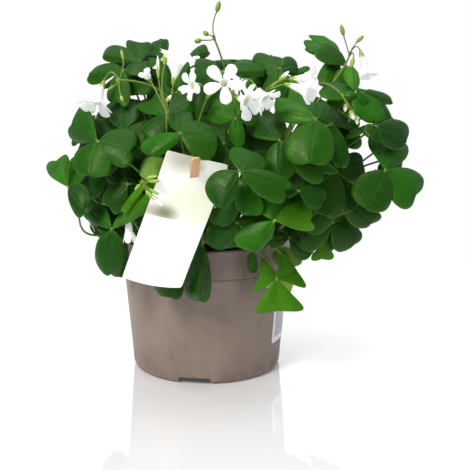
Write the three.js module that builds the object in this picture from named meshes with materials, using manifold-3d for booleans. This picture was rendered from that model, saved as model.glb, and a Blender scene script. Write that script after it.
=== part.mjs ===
// Potted shamrock plant (Oxalis triangularis, green-leaved form) in a tapered nursery pot.
// Millimetres, +Z up. The origin is the centre of the pot's underside, on its axis; -Y is the
// plant's front, where the care tag hangs.
import * as THREE from 'three';
import { mergeVertices } from 'three/addons/utils/BufferGeometryUtils.js';
import Module from 'manifold-3d';

const wasm = await Module();
wasm.setup();
const { Manifold, Mesh: SolidMesh } = wasm;

// ---------------------------------------------------------------- driving dimensions
const POT_HEIGHT = 93.4;        // to the top of the rolled rim
const POT_TAPER = 0.0853;       // radius gained per millimetre of height
const POT_FOOT_R = 51.67;       // wall line's radius at the ground
const POT_WALL = 1.2;           // moulded wall
const POT_CORNER = 4.5;         // rounded heel between wall and foot
const BAND_Z = 73.8;            // underside of the stepped rim band
const BAND_R = 59.2;
const RIM_R = 60.0;
const FLOOR_LOW = 5.0;          // underside of the raised floor
const FLOOR_TOP = 6.2;
const FOOT_IN_R = 45.0;         // inside of the foot ring
const PAD_R = 12.0;             // centre pad, level with the foot ring
const POT_SIDES = 30;
const NOTCH_AZ = [-98, 22, 142];            // drain notches through the foot ring, degrees
const NOTCH = { low: 24.8, top: 20.8, high: 5.3 };
const DRAIN = { count: 6, r: 3.5, at: 33.0 };

const SOIL_TOP = 84.0;
const GAP = 0.3;                // clearance between neighbouring pieces
const BULB = { z0: SOIL_TOP + GAP, z1: 87.4, r0: 2.9, r1: 2.2 };
const BULB_SPREAD = 1.25;       // stalks of one clump start this far from its centre
const BASE_Z = 85.0;            // stalks start here, inside the bulbs

const BLADE_T = 0.5;            // leaflet thickness
const HUB_R = 1.0;              // pulvinus where three leaflets meet the stalk
const HUB_T = 1.3;
const STALK_R = 1.0;            // circumscribed radius of a leaf stalk
const SCAPE_R = 1.1;
const PEDICEL_R = 0.7;
const PETAL_T = 0.5;
const ARCH = 0.06;              // rise of a leaflet's back, as a share of its length
const STALK_TOL = 0.33;          // how far a straight stretch may leave a stalk's curve

const TAG = { centre: [-15.65,-96.0,119.39], across: [0.89688,0.35507,-0.26368], up: [0.34166,-0.17769,0.92287], w: 38.84, h: 85.68, t: 0.5 };
const STICK = { soil: [-11.5,-35.5,84.0], top: [-1.92,-112.99,160.32], side: [0.95826,0.2518,0.13542], w: 6.0, t: 1.3, buried: 30.0 };
const LABEL = { az0: -32.0, az1: 8.0, z0: 21.3, z1: 46.0, t: 0.3 };

// Half outline of a leaflet: sideways share of the half width, share of the length; then where its
// corners and its notch lie along the length.
// 0: broad reversed heart; 1: triangular with pulled-out corners; 2: rounded, with hardly a notch.
const OUTLINE = [
  { pts: [[0.93, 0.56], [0.80, 1.0]], yc: 0.70, yn: 0.93 },
  { pts: [[0.66, 0.56], [0.93, 1.0]], yc: 0.95, yn: 0.96 },
  { pts: [[0.95, 0.56], [0.66, 0.93]], yc: 0.70, yn: 1.0 },
];

// ---------------------------------------------------------------- where the leaves grow
// One row a leaf: [clump, tone, outer leaf or not, hub xyz, leaf normal xyz, stalk handles xyz xyz,
//   leaflets: [outline, notch xyz, corner A xyz, corner B xyz, leaflet normal xyz]]
const LEAVES = [
  [0,3,1,46.7,-66,76.9,0.201,-0.945,0.259,31.4,-55.5,109.8,42.2,-49.5,87.5,[[1,48.7,-68.2,56.3,32.7,-68.2,55.7,64.1,-69.1,57.9,-0.036,-0.994,0.101],[1,60.2,-59.7,81.2,65.7,-65.5,71.4,51.7,-59,94.3,0.275,-0.868,0.414],[1,36.2,-65.9,79.5,37.6,-59.9,89.9,32.4,-67,67.9,0.066,-0.954,0.293]]],
  [0,4,1,55.1,-47.9,79.7,-0.243,0.908,-0.342,44.3,-63.2,107.8,54.1,-46.6,88,[[0,53.4,-39.2,91.9,64.8,-39.6,83.8,44.7,-43.9,84.8,0.196,-0.785,0.588],[0,46.6,-50.5,65.2,40.1,-48.1,73.5,56.9,-47.4,63.6,0.111,-0.988,0.111]]],
  [0,1,1,22.6,-110.7,152.3,-0.029,-0.819,0.574,7.6,-63.9,140.4,24.7,-68.8,164.4,[[0,12.8,-117.1,131.2,4.1,-107.8,146.6,19.7,-113.1,138.1,-0.13,-0.931,0.34],[0,29.1,-98,162.4,37.8,-103.4,154.2,17.4,-96.4,162.8,0.096,-0.648,0.755],[0,49.2,-109.9,141.1,39.3,-113.4,135.2,46,-104.1,149.6,0.221,-0.862,0.457]]],
  [0,2,1,24.6,-98.4,143.5,-0.031,-0.882,0.469,6.8,-28.9,111.8,34.9,-56,136.4,[[0,29.3,-102.3,125,20.5,-99.2,131.6,37,-98.7,131.5,0.033,-0.976,0.215],[0,38.2,-87.9,152.6,40.6,-92.1,143.7,28.4,-85.9,154.6,0.168,-0.764,0.623],[0,8.7,-87.2,142.7,16,-84.7,149.4,11.2,-92.5,134.4,-0.507,-0.687,0.521]]],
  [1,3,1,43.6,-102,121.6,0.079,-0.903,0.423,13.3,-37.9,102.4,36.9,-93.8,91.2,[[0,65.9,-93.9,119.2,62.2,-95.7,114,58.8,-89.2,131.2,0.351,-0.851,0.391],[0,31.5,-104.9,103.2,22.1,-99.7,113.6,40.5,-101.9,109.8,-0.071,-0.977,0.2],[0,45.5,-90.6,134.4,53.9,-91.1,129.7,35.8,-95.2,127.9,0.105,-0.75,0.654]]],
  [1,0,1,58.3,-95.9,138.3,0.069,-0.785,0.616,16.2,-50.5,113.5,52,-70.6,127.8,[[0,37.7,-88.6,140.2,46.3,-83.8,146.2,44.2,-94.1,133.2,-0.207,-0.749,0.629],[0,72.2,-95,130.9,64.9,-97.1,128.9,72,-88.7,139,0.305,-0.826,0.474],[0,61.5,-82.2,147.8,68.6,-85.4,142.8,52.8,-86.8,144.2,0.123,-0.585,0.802]]],
  [2,2,1,68.1,-90.7,180.5,0.058,-0.667,0.743,33.7,-44.1,114.9,52.8,-74.9,132.8,[[0,63.8,-106,156.3,50.2,-97.2,165.2,79,-97.8,163.5,0.015,-0.845,0.534],[0,44.5,-76.9,184.8,53.9,-68.8,191.5,53.1,-86.1,177.7,-0.212,-0.603,0.769],[0,73.9,-70.2,189.7,77,-77.6,184.8,68.5,-77.9,186,0.143,-0.443,0.885]]],
  [2,1,1,79.7,-70.4,175.8,0.346,-0.742,0.574,47,-72.4,138.9,53.3,-93.5,167.4,[[0,85,-77.7,150.3,77.1,-75,161.6,89.9,-70.2,159.8,0.371,-0.869,0.327],[0,85.1,-44.7,182.2,92.5,-50.7,171.8,72.3,-49.8,185.2,0.515,-0.308,0.8],[0,57.8,-60.9,188.3,69.8,-53.5,189.4,55.9,-69.3,177.2,0.127,-0.671,0.73]]],
  [3,2,1,-62.9,-79.3,166.3,-0.354,-0.612,0.707,-12.1,-74,126.9,-28.8,-83.1,143.8,[[0,-81.5,-58.7,174.8,-73.3,-53.6,185,-81.6,-56.5,163.9,-0.62,-0.705,0.345],[0,-41.9,-86.6,161.7,-49.5,-90.1,152.5,-45,-73.4,173,-0.123,-0.756,0.643],[0,-66.5,-89.7,147,-78.6,-76.5,154.4,-53.9,-88.7,152.9,-0.36,-0.792,0.494]]],
  [3,0,1,-48.2,-72.4,171.7,-0.204,-0.761,0.616,-7.9,-58.1,131.3,-28.4,-62.1,149.5,[[0,-51.8,-48.5,187.2,-39.1,-56.4,183.3,-62.6,-49.3,181.6,-0.227,-0.554,0.801],[0,-65.7,-74.4,151.3,-68.3,-64.6,161.3,-52.4,-78.8,149,-0.399,-0.813,0.424],[0,-21.3,-72.1,168.8,-29.1,-77.6,158.2,-27.2,-62.5,177.5,0.073,-0.79,0.609]]],
  [4,1,1,-56.6,-73.0,110.6,-0.34,-0.84,0.423,-27.5,-33.1,99.3,-53.7,-61.8,93.8,[[2,-59.9,-74.0,80.8,-68.0,-69.5,94.0,-50.3,-76.0,96.1,-0.351,-0.934,0.07],[0,-30.9,-95.5,132.5,-40.2,-84.0,131.8,-34.9,-90.0,123.0,-0.693,-0.717,0.075],[0,-72.5,-56.0,118.8,-63.2,-58.6,122.8,-74.3,-57.2,113.6,-0.523,-0.664,0.535]]],
  [4,0,1,-50.9,-47,99.6,-0.172,-0.975,0.139,-35.8,-32.5,95.5,-45.1,-40.3,100.3,[[0,-56.7,-41.8,72.1,-63.3,-40.2,81.9,-50.4,-43.2,82.6,-0.216,-0.967,-0.136],[0,-30.7,-48,117.5,-27.4,-47.8,103.7,-43,-42.5,121.6,-0.172,-0.975,0.139],[0,-67.5,-34,116.4,-53.9,-35.2,120.1,-71,-34.6,102.8,-0.356,-0.877,0.324]]],
  [5,2,1,-11.7,-100,173.1,-0.062,-0.704,0.707,-10.7,-38.9,119.7,-8.2,-69,143.1,[[0,-28.6,-102.9,160.6,-32.1,-94.4,168.4,-16.9,-102.3,164,-0.257,-0.804,0.536],[0,9.8,-98.3,168.2,0,-105.6,158.6,-0.4,-88.5,179.1,0.202,-0.751,0.629],[0,-13.9,-80.2,183.8,-4.7,-85.6,180.6,-19.6,-86,178.9,-0.088,-0.482,0.872]]],
  [5,1,1,-20.7,-79,180.7,-0.056,-0.64,0.766,4,-33.7,136.2,3.7,-82.7,146.9,[[0,-34.4,-81.9,171.4,-31.3,-74.6,179.2,-25.7,-86.6,166.5,-0.251,-0.757,0.604],[0,-7.6,-61.9,188,-7.2,-71,181.3,-15.9,-55.5,191.9,0.166,-0.492,0.854],[0,-31.6,-54.9,190,-25.6,-51.9,191.7,-39.2,-60.9,184.2,-0.198,-0.43,0.881]]],
  [6,1,1,113.4,-68.6,147.2,0.47,-0.671,0.574,73,-30,120.9,102.3,-46.5,132.2,[[0,119.3,-46.9,165.5,132.2,-41.5,155.3,106.6,-47.2,163,0.347,-0.66,0.667],[0,135.5,-59.7,130.7,122,-69.8,124.7,138.4,-45.7,142.2,0.586,-0.697,0.414],[2,100.7,-84.0,125.3,93.2,-77.3,139.7,116.2,-74.4,126.2,0.342,-0.849,0.402]]],
  [6,0,1,107,-68.4,174.4,0.439,-0.628,0.643,48.2,-25.2,130.2,81,-43.1,149,[[0,128.5,-53.7,162.4,115,-67,161.3,127.6,-41.2,175.2,0.662,-0.581,0.473],[0,103.3,-73.8,167.6,100,-69.6,174.5,110,-70.6,166,0.327,-0.818,0.474],[0,94.4,-54.5,170.9,106.2,-50.4,170.2,90.8,-65.4,166.1,-0.262,0.008,0.965]]],
  [6,1,1,94.1,-48.5,169.5,0.397,-0.852,0.342,45.9,-17.5,122.9,80.1,-27.7,147.8,[[0,95,-49,158.7,87.7,-50.2,162.7,101.2,-44.3,164,0.391,-0.918,0.071],[0,97.5,-32,171.5,99.4,-35.7,163.4,90,-35.2,175.5,0.762,-0.232,0.605],[0,78.3,-42.4,167.9,83.7,-38.7,174.3,82.7,-44.7,160.3,-0.367,-0.845,0.39]]],
  [7,4,1,-31.5,-93,143.9,-0.262,-0.72,0.643,-14.1,-40.3,113.3,-34.6,-67.4,127.4,[[0,-28.8,-72.2,157.6,-21.5,-81.4,152,-38.3,-77.7,150.2,-0.202,-0.522,0.829],[0,-24.1,-83.6,131.1,-32.9,-86.4,129.8,-22,-81.3,140,0.577,-0.781,-0.237],[0,-47.2,-88.0,124.5,-44.9,-88.0,131.9,-40.5,-90.0,128.2,-0.373,-0.926,0.062]]],
  [7,0,1,-44.7,-82.4,140.5,-0.18,-0.847,0.5,-15.7,-35.5,131.4,-24,-60.5,133.8,[[0,-56.6,-82.2,126.3,-59.6,-76.2,135.8,-47.9,-84,125.3,-0.342,-0.897,0.279],[0,-56.1,-67.3,150.1,-49.4,-71.6,147.6,-58.7,-72.8,141.5,-0.343,-0.678,0.65],[0,-37.6,-77.0,129.1,-43.5,-79.0,129.4,-37.0,-75.0,136.3,0.557,-0.829,-0.044]]],
  [8,3,1,100.3,-49.6,193.5,0.289,-0.544,0.788,56.2,-10.3,121.2,70.1,-24.2,161.8,[[0,122.4,-35.5,186.3,111.5,-43.2,188.1,114.2,-32.6,193.9,0.54,-0.505,0.673],[0,109.5,-59.3,176.1,93.8,-58.3,183.5,114.1,-48,184,0.354,-0.727,0.588],[0,77.2,-42.8,198.1,86.5,-34.2,199.8,79.2,-52.5,189.9,0.03,-0.486,0.873]]],
  [8,3,1,95.8,-55.6,194.4,0.296,-0.814,0.5,45.6,-17,134.2,64.5,-11,158.1,[[0,94.9,-39.3,209.4,99.1,-42.5,203.8,89.1,-46.9,203.3,0.255,-0.647,0.719],[0,89.1,-54.9,192.4,90.3,-53.3,195.1,91.5,-55.8,190.2,-0.208,-0.888,0.409],[0,102.6,-56.1,189.4,99,-57.3,188.1,102.5,-53.4,192.4,0.296,-0.814,0.5]]],
  [9,0,1,0.2,-71,101.4,-0.087,-0.992,0.087,3.8,-40.6,109.2,-1.4,-61.2,116,[[2,-1.6,-80.8,66.4,-12.6,-60.7,72.2,4.9,-62.1,70.6,-0.054,-0.961,0.272],[0,23.7,-64.5,113.1,23.1,-65,99,11.8,-62.1,120.3,0.159,-0.964,0.215],[0,-1.6,-52.3,103.3,6.9,-56.5,106.7,-5.2,-56.5,94.8,-0.692,-0.138,0.709]]],
  [9,0,1,-16.7,-73.8,89.8,-0.174,-0.985,0,-15.6,-35.3,100.2,-17.4,-55.4,102.6,[[2,-21.9,-75.5,67.2,-32.3,-63,72.8,-12.9,-66.8,68.5,-0.243,-0.933,-0.265],[0,-32.1,-63.6,109.5,-18.3,-65.2,112,-36.4,-62.1,96.1,-0.344,-0.915,0.209]]],
  [10,1,1,47.1,-88.9,167.3,0,-0.766,0.643,38.9,-35.6,137,58.7,-57.8,138.3,[[0,45.7,-97.2,148.6,39.3,-91,157.4,55.9,-93.9,151.8,-0.02,-0.913,0.407],[0,73.1,-93.9,148.8,60,-95,146.5,76.1,-86.4,155,0.19,-0.847,0.497],[0,35.9,-68.7,180.1,49.6,-68.8,178.8,28.3,-75.5,170.8,-0.121,-0.577,0.807]]],
  [10,0,1,36.8,-69.7,177.6,0.079,-0.903,0.423,30.8,-22.9,108.8,27.3,-43.1,139.9,[[0,32.6,-72.7,160.1,24.6,-69.2,167.1,45.5,-69.2,165.9,0.013,-0.986,0.165],[0,48.1,-55.6,175.1,45.8,-61.3,164.9,39.6,-53.2,183.3,0.729,-0.502,0.465],[0,23.5,-57.3,175.9,32,-53.8,183.5,26,-62.7,165.5,-0.619,-0.6,0.507]]],
  [11,1,1,-50.7,-37.7,207.4,-0.198,-0.425,0.883,-20.5,3.7,120.6,-70.7,-1.4,187.6,[[0,-75.4,-23,203.8,-68,-8.7,210.5,-68.4,-31.6,199,-0.37,-0.415,0.831],[0,-52.6,-57.7,189,-60.7,-46.4,195.2,-45.3,-55.1,191.3,-0.188,-0.658,0.729],[0,-36,-30.4,209.8,-39,-40.5,203.7,-41.9,-21.6,213.4,0.08,-0.444,0.893]]],
  [11,0,0,-61.7,-10.5,173.3,-0.587,-0.153,0.795,-35.6,-7.8,115,-47.1,-11.9,144.2,[[0,-48.7,10.1,181.5,-42.1,-2.3,182.2,-59.2,12.4,172.5,-0.511,-0.021,0.859],[0,-78.2,-6.6,155,-72.2,4.4,160.3,-72.4,-18.9,155.7,-0.748,-0.122,0.652],[0,-50.5,-32.1,173.9,-60.2,-30.6,164.9,-43.8,-21.7,178.8,-0.539,-0.255,0.803]]],
  [12,2,1,-84.3,-65.1,136,-0.579,-0.579,0.574,-84.9,-15.3,124.5,-61.6,-53.3,125.5,[[0,-95,-41.7,149.5,-88.3,-35.2,150.6,-102.6,-37.6,142.4,-0.332,-0.58,0.744],[0,-72.6,-78.3,124.3,-79.5,-74.5,121.2,-71.6,-70.1,136.1,-0.428,-0.781,0.455],[0,-78.3,-53.4,146.4,-73.8,-63.1,141.4,-84.4,-54.2,151.7,0.111,-0.692,0.714]]],
  [12,2,0,-79.7,-35.2,125.3,-0.91,-0.406,0.087,-57.7,-20.7,99.3,-70.7,-26.1,115.1,[[0,-84.7,-13.3,124.5,-80.2,-17.5,136.9,-82,-18.8,112.2,-0.972,-0.219,0.082],[0,-71.8,-43.6,106.8,-76.4,-31.1,105.5,-67,-49.5,117.8,-0.846,-0.517,-0.127],[0,-71.3,-42.6,143.4,-67.6,-49.3,132.8,-75.1,-30.1,144.2,-0.861,-0.461,0.212]]],
  [13,3,1,14.8,-66.9,195,0.062,-0.704,0.707,9.5,-26.5,116.9,13.7,-45.7,149,[[0,18.5,-75.3,179.2,9.3,-70.4,186.7,23.4,-69.4,185.5,0.106,-0.868,0.486],[0,26.3,-54.6,188,23.9,-62.2,182.4,19,-51.3,193.7,0.718,-0.321,0.618],[0,4.7,-55.8,184.5,9.9,-51.7,191.7,9.1,-63.4,180.2,-0.833,-0.36,0.421]]],
  [13,0,1,1.9,-66.1,195,-0.071,-0.816,0.574,45.7,-27.2,142.6,5,-65.5,155.3,[[0,5.7,-73.5,174.2,-4.2,-68.7,181.7,11.1,-68.9,182.4,-0.025,-0.943,0.33],[0,8.6,-55.1,203.9,13.2,-59,198.3,0.5,-54.8,202.7,0.048,-0.648,0.76],[0,-7.1,-47.4,186.7,1.6,-46.2,194.8,-5.6,-56.6,179.2,-0.842,-0.182,0.509]]],
  [13,1,1,12.3,-58.4,206.8,0,-0.469,0.883,16.4,-22.4,121.1,52.7,-18.8,180.1,[[0,38,-45,206.4,30.3,-51.4,203.5,29.3,-35.3,212.4,0.251,-0.457,0.853],[0,-5.1,-41.7,208.8,1,-32.6,214.9,-0.6,-62.1,199.6,-0.308,-0.424,0.852],[0,4.5,-73.5,183.3,-2.9,-69.4,193.3,11.8,-72,191.7,-0.083,-0.825,0.559]]],
  [14,1,1,-42.1,-20.5,212.1,-0.097,-0.362,0.927,-23,-10.4,136.9,-26.3,-20.2,174,[[0,-68,-8,215.8,-58.9,6.7,222.3,-58,-13.9,212,-0.09,-0.449,0.889],[0,-43.7,5.7,224.3,-35.5,4.4,221.6,-54.3,8.4,223.6,0.008,-0.421,0.907],[0,-41.6,-41.8,192.4,-51.5,-31.9,200.9,-33.7,-35.6,199.8,-0.095,-0.676,0.731]]],
  [14,1,1,-29.5,-13,213.3,0,-0.574,0.819,-28.8,-7.3,122.7,-35.6,-9.8,166,[[0,-30.6,12.6,227,-25.5,17.1,222.9,-37.6,13.5,221.6,0.043,-0.472,0.881],[0,-24.7,-28.2,194.3,-31.1,-20.4,202.4,-21.3,-19.3,203,0.047,-0.774,0.632],[0,-55.3,-9.5,206.6,-48.7,1,213.1,-47.8,-18.8,199.3,-0.275,-0.56,0.781]]],
  [15,1,1,49.1,-36.8,208.7,0.092,-0.522,0.848,17.8,-0.1,112.4,35.6,-54.2,160.2,[[0,31.5,-20.2,213.4,40.9,-11.2,217.8,38.9,-38,204.3,-0.17,-0.433,0.885],[0,61.3,-26.1,209,57,-34.4,205.4,55.1,-19.9,216,0.414,-0.499,0.761],[0,46,-52.5,191.8,38,-45.8,197.7,53.9,-45.8,196.4,0.057,-0.736,0.674]]],
  [15,2,1,55.7,-34.9,202.9,0.087,-0.492,0.866,28.6,-20.9,124.2,39.8,-28.9,163.2,[[0,71,-12.1,206,64.8,-23.7,203.2,65.9,-8.3,208.6,0.314,-0.333,0.889],[0,30.9,-24.3,202.8,41.8,-15.8,205.7,33.2,-35.9,195.2,-0.173,-0.399,0.9],[0,59.2,-53.3,183.5,46,-49.1,186.4,69.9,-44.7,186.5,0.128,-0.708,0.695]]],
  [16,2,1,91.5,20.5,215.4,0.242,-0.664,0.707,38,12.8,127.5,65.1,23.9,178,[[0,70.4,28.5,221.5,75.8,35.6,226.4,77.1,23.7,216,-0.033,-0.656,0.754],[0,85,42.8,228.5,93.6,34.5,221.5,74.8,41.2,227.8,0.121,-0.475,0.872],[0,82.9,6.7,195.3,78.5,12.8,203.9,92.5,13.2,200.5,0.151,-0.844,0.515]]],
  [16,1,1,97.2,8,208.8,0.324,-0.694,0.643,48.2,13.3,132.4,80.1,5.1,173.5,[[0,93,-2.5,190.3,86.5,1.8,199.6,99.8,4.4,196.8,0.258,-0.864,0.432],[0,105.5,26.1,200.4,104.4,16.9,193.3,97,27.2,208.1,0.843,-0.146,0.518],[0,80.8,12.6,222.1,89.6,19.6,221.9,78.6,6.2,213,0.324,-0.694,0.643]]],
  [17,1,1,-11.1,-22.6,213.4,0.044,-0.498,0.866,-12,-6.1,124.5,-15.3,-8.2,164.5,[[0,2,2.5,219.6,-0.4,-8.8,214.5,-3.7,8.6,222.3,0.253,-0.354,0.9],[0,-14.3,-38.3,197.3,-20.5,-31.2,203.4,-8.8,-32.1,202.2,0.02,-0.717,0.696],[0,-25,-10.9,195,-17.4,-2.9,203.3,-19,-23.1,191.8,-0.841,-0.215,0.496]]],
  [17,0,1,-17,-37.8,193.5,-0.067,-0.763,0.643,-20.2,-12.6,125.2,-24.7,-19.1,167.8,[[0,-6.5,-45.2,176.8,-18.8,-42.4,179.8,-2.2,-38.1,186.5,0.058,-0.899,0.434],[0,-14.1,-19,184.5,-6.5,-27.1,182.3,-24.7,-22.8,185.5,0.249,0.387,0.888],[0,-36.7,-32.3,188.9,-31.1,-26.1,196,-31.2,-38.3,181.6,-0.339,-0.719,0.606]]],
  [18,0,1,82.5,-72.9,147.1,0.366,-0.785,0.5,150.5,-26.1,138.5,88.3,-58,138.2,[[0,102.3,-54.2,147.2,96.1,-64.4,138.4,94.7,-51.6,156.4,0.597,-0.63,0.496],[0,60.6,-65,160.8,72.5,-57.5,162.3,58.7,-72.5,148.9,0.148,-0.732,0.665],[2,76.4,-82.4,121.0,66.1,-80.1,131.5,88.5,-74.4,124.1,0.319,-0.912,0.257]]],
  [18,0,1,75.8,-73.9,137.3,0.224,-0.837,0.5,67.6,-31.3,109,44.2,-55.2,120.9,[[2,94.3,-70.2,122.2,79.1,-75.2,121.9,97.2,-62.3,132.4,0.427,-0.849,0.31],[0,73.9,-57.5,153.1,85.8,-57.2,146.1,61.8,-62.3,148.4,0.209,-0.664,0.718],[0,56.1,-78.1,126.5,54.8,-70.5,137.9,67.2,-78.7,118.4,-0.014,-0.923,0.384]]],
  [18,0,1,86.3,-69.8,129.8,0.453,-0.785,0.423,45.8,-74.3,106.5,72.9,-56.1,134.6,[[2,107.5,-58.4,110.9,94.7,-65.6,111.9,112.2,-52.8,118.5,0.555,-0.822,0.127],[0,79.8,-53.2,150,91.1,-50,142.1,69.6,-61.1,144.4,0.402,-0.64,0.655],[0,63.7,-73.4,115.5,62.6,-68.3,128.6,75.8,-71.4,108.5,0.04,-0.983,0.181]]],
  [19,0,1,82.2,-64.7,113.6,0.402,-0.862,0.309,41.6,-34.3,102.4,57.4,-39.2,106.9,[[2,97.0,-56.3,96.8,84,-63,95.1,102.1,-49.4,105.4,0.567,-0.819,0.087],[0,81.2,-51.3,131.9,91.7,-48.3,123.3,69,-57,128.4,0.405,-0.728,0.553],[0,61.7,-69.9,105.4,61.4,-64.2,118.1,71.3,-67.7,95.6,0.159,-0.963,0.218]]],
  [19,0,1,72.1,-65.3,109.2,0.246,-0.919,0.309,50.1,-44.4,103.9,69.5,-54.7,110.1,[[0,59.5,-67,100.5,57.7,-64,107.7,69.8,-65.7,96.4,0.017,-0.986,0.166],[0,85.5,-59.6,100.4,78,-62.7,95.3,84.5,-56.2,109.2,0.481,-0.86,0.172],[0,69.2,-56.2,123.3,77.6,-54.8,119,61.5,-59.2,118.6,0.207,-0.803,0.559]]],
  [19,3,1,76.4,-55,96,0.33,-0.908,0.259,40.6,-30,97.9,62.6,-40.3,101.2,[[0,76.6,-54.8,87.4,69.4,-55.6,88.2,84.8,-50.5,88.4,0.315,-0.949,-0.016],[0,80.9,-44.6,108.7,86.1,-44.3,101,72,-47.3,108.4,0.419,-0.769,0.483]]],
  [20,1,1,-58.9,-66.2,143.1,-0.366,-0.785,0.5,-39.8,-24.1,106.4,-57.1,-45.9,112.1,[[0,-74.2,-58,134.3,-76.7,-52.7,140.6,-66.4,-64.6,129.6,-0.577,-0.764,0.288],[0,-45.9,-73.4,130.5,-55.6,-70.7,126.4,-41.8,-68.7,139.5,-0.189,-0.923,0.335],[0,-50.8,-54.7,156.5,-43.9,-60.8,150.6,-60.6,-51.6,152.8,-0.261,-0.646,0.717]]],
  [20,0,0,-47.2,-53.1,136.2,-0.269,-0.887,0.376,-32.4,-27,103,-39.9,-38.7,124.5,[[0,-31.6,-43,152.4,-25.1,-49.1,140.7,-45.3,-37.7,153.1,-0.092,-0.803,0.588],[0,-66.6,-39.4,133.4,-58.9,-36.3,145,-61.9,-45.5,121.3,-0.574,-0.737,0.357],[0,-37.2,-58.6,115.7,-50.3,-53.9,114.7,-28.2,-55.8,126,-0.173,-0.969,0.176]]],
  [20,1,0,-31.4,-56.7,160.6,-0.303,-0.736,0.605,-8.2,-24.1,103.8,-15,-50.7,126.9,[[0,-34,-35.8,177,-19.7,-41,175.2,-45.2,-37.6,166.7,-0.326,-0.606,0.726],[0,-48.1,-57.9,141,-50.7,-47.2,150.9,-34.8,-64,138.4,-0.464,-0.767,0.443],[0,-8,-65.5,156.4,-17.6,-67.9,145.8,-9,-54.7,166.1,-0.189,-0.786,0.589]]],
  [21,1,1,21.5,-84.8,117.4,-0.086,-0.981,0.174,31.1,-61.6,115.7,29.7,-59.9,114.7,[[0,8.6,-80.5,99.6,3.6,-77.7,110.4,20.3,-81.8,105,-0.251,-0.967,-0.05],[0,43.3,-81.1,113.4,35.9,-81.5,104.3,39,-78.3,124,0.189,-0.974,0.129],[0,14.3,-74.6,136.1,25.9,-75.3,134.3,7.1,-75,126.8,-0.181,-0.89,0.419]]],
  [21,1,1,19.7,-89.1,132.4,-0.084,-0.962,0.259,14.1,-48.4,122.8,44.5,-72.4,122.7,[[0,10,-87.1,116,6.9,-84.6,124.2,20.3,-87.8,119.9,-0.225,-0.974,0.019],[0,38.4,-85.8,130.2,32.8,-87,122,34,-82.6,138.6,0.193,-0.952,0.237],[0,12.1,-79.1,146.7,22,-79.6,146.1,6.6,-80.3,138.4,-0.202,-0.851,0.485]]],
  [22,2,1,20.9,-88,180.8,-0.082,-0.936,0.342,3.4,-60.4,123.2,5.6,-65.2,153.8,[[0,22.1,-89.3,163.2,16.7,-86.9,172.4,26.3,-87.6,171.3,-0.061,-0.996,0.071],[0,30.7,-76.7,182.8,30.7,-80.4,175.6,23.4,-75.9,186.2,0.535,-0.577,0.617],[0,6.2,-79.5,186.1,14,-78,190.8,6.7,-82.3,177.2,-0.323,-0.838,0.441]]],
  [22,1,1,13.7,-88.4,166,-0.079,-0.903,0.423,5.9,-42.1,111.9,11.7,-73.1,141,[[0,9,-89.9,152.5,5.9,-86.8,160.5,14.3,-89.1,155.4,-0.162,-0.973,0.166],[0,26.6,-77.6,162.9,22.8,-81.9,155.8,20.6,-75.3,169.4,0.641,-0.645,0.416],[0,4,-78,175.3,12.8,-77.7,176.5,0.8,-80.9,167.5,-0.247,-0.764,0.596]]],
  [23,0,1,31.1,-64,95.4,0.087,-0.992,0.087,15.8,-27,96.7,25,-46.3,102.9,[[0,31.9,-60.9,79.5,28,-61.6,85.6,35.1,-60.9,85.5,0.096,-0.977,-0.191],[0,37.8,-57.5,109.6,42.7,-57.3,102.1,28.9,-57.9,108.9,0.203,-0.922,0.33]]],
  [23,0,0,49.5,-38.8,109.8,0.319,-0.556,-0.767,35.3,-25.2,98.5,43.4,-28.2,113.4,[[0,61.1,-16.5,104.1,45.8,-16.9,100.2,68.4,-24.8,115.4,0.4,-0.42,-0.815],[0,58.3,-51.2,129.6,66.6,-38.9,125.9,43.4,-53.7,126.9,0.406,-0.681,-0.61],[0,25.5,-40.9,105,30.3,-49.8,116.1,31.5,-27.8,100.6,0.21,-0.57,-0.795]]],
  [24,1,0,-75.5,71,165.1,-0.612,0.627,0.483,-35.3,40.3,113.8,-50.8,58.4,151.6,[[0,-63.8,85.6,144.6,-53.7,83.5,158.1,-76.5,75.6,139.5,-0.514,0.808,0.287],[0,-89.7,50.3,155.3,-86,61.7,144,-81.5,46.8,169.1,-0.835,0.395,0.384],[0,-58.4,63.5,183.8,-69.9,52.6,180.7,-52.6,74.7,173.8,-0.476,0.577,0.664]]],
  [24,1,0,-85.7,46.4,150.8,-0.78,0.375,0.501,-41.3,25.9,105.9,-59.9,37.7,131.4,[[0,-83.6,23.7,163.5,-90.5,22.9,149.9,-73.5,34.4,167.7,-0.776,0.251,0.579],[0,-68,64,155.3,-66.9,51.7,163.5,-74.4,64.8,142,-0.654,0.522,0.547],[0,-96.9,46.6,128.6,-87.6,57.5,130.9,-96.4,33.7,135.1,-0.826,0.377,0.419]]],
  [25,0,0,134.9,-7.4,148.3,0.978,-0.21,0.018,62.8,-2,119.2,98.1,-5.7,143.2,[[0,134.8,13.4,137.1,131.4,2.6,129.3,133.4,14.1,150.8,0.996,-0.038,-0.077],[0,128.8,-6.7,170.4,130.6,5.2,164.6,125.6,-18,164,0.942,-0.208,0.264],[0,127.9,-25.4,136.6,126,-26,149.6,128.9,-14.3,129.7,0.943,-0.328,-0.058]]],
  [25,0,0,124.5,-5.7,130,0.992,-0.104,-0.074,44.7,4,121.8,95.7,10.8,100.1,[[0,119.2,-28,141.9,119.5,-16.3,149.9,116.7,-27.4,128,0.972,-0.233,-0.005],[0,117.9,-3.8,105.9,115.9,-16,111.9,118.5,7.8,113,0.959,-0.091,-0.27],[0,125.3,14.9,143.3,122.7,16.3,130.2,122.8,3.5,149.9,0.999,-0.024,-0.022]]],
  [26,2,0,97.9,80.1,147.9,0.516,0.798,0.312,57.3,56.5,112,78.6,73.3,122.1,[[0,107.1,58.5,164,91.5,65,169.2,114.1,58.7,147.9,0.623,0.62,0.478],[0,103.4,76.1,121.2,112,65.5,131.6,88.4,83.7,124,0.609,0.793,0.007],[0,72.4,87.5,152.7,76.9,89,136.6,78.5,77.1,164.2,0.321,0.877,0.357]]],
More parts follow.
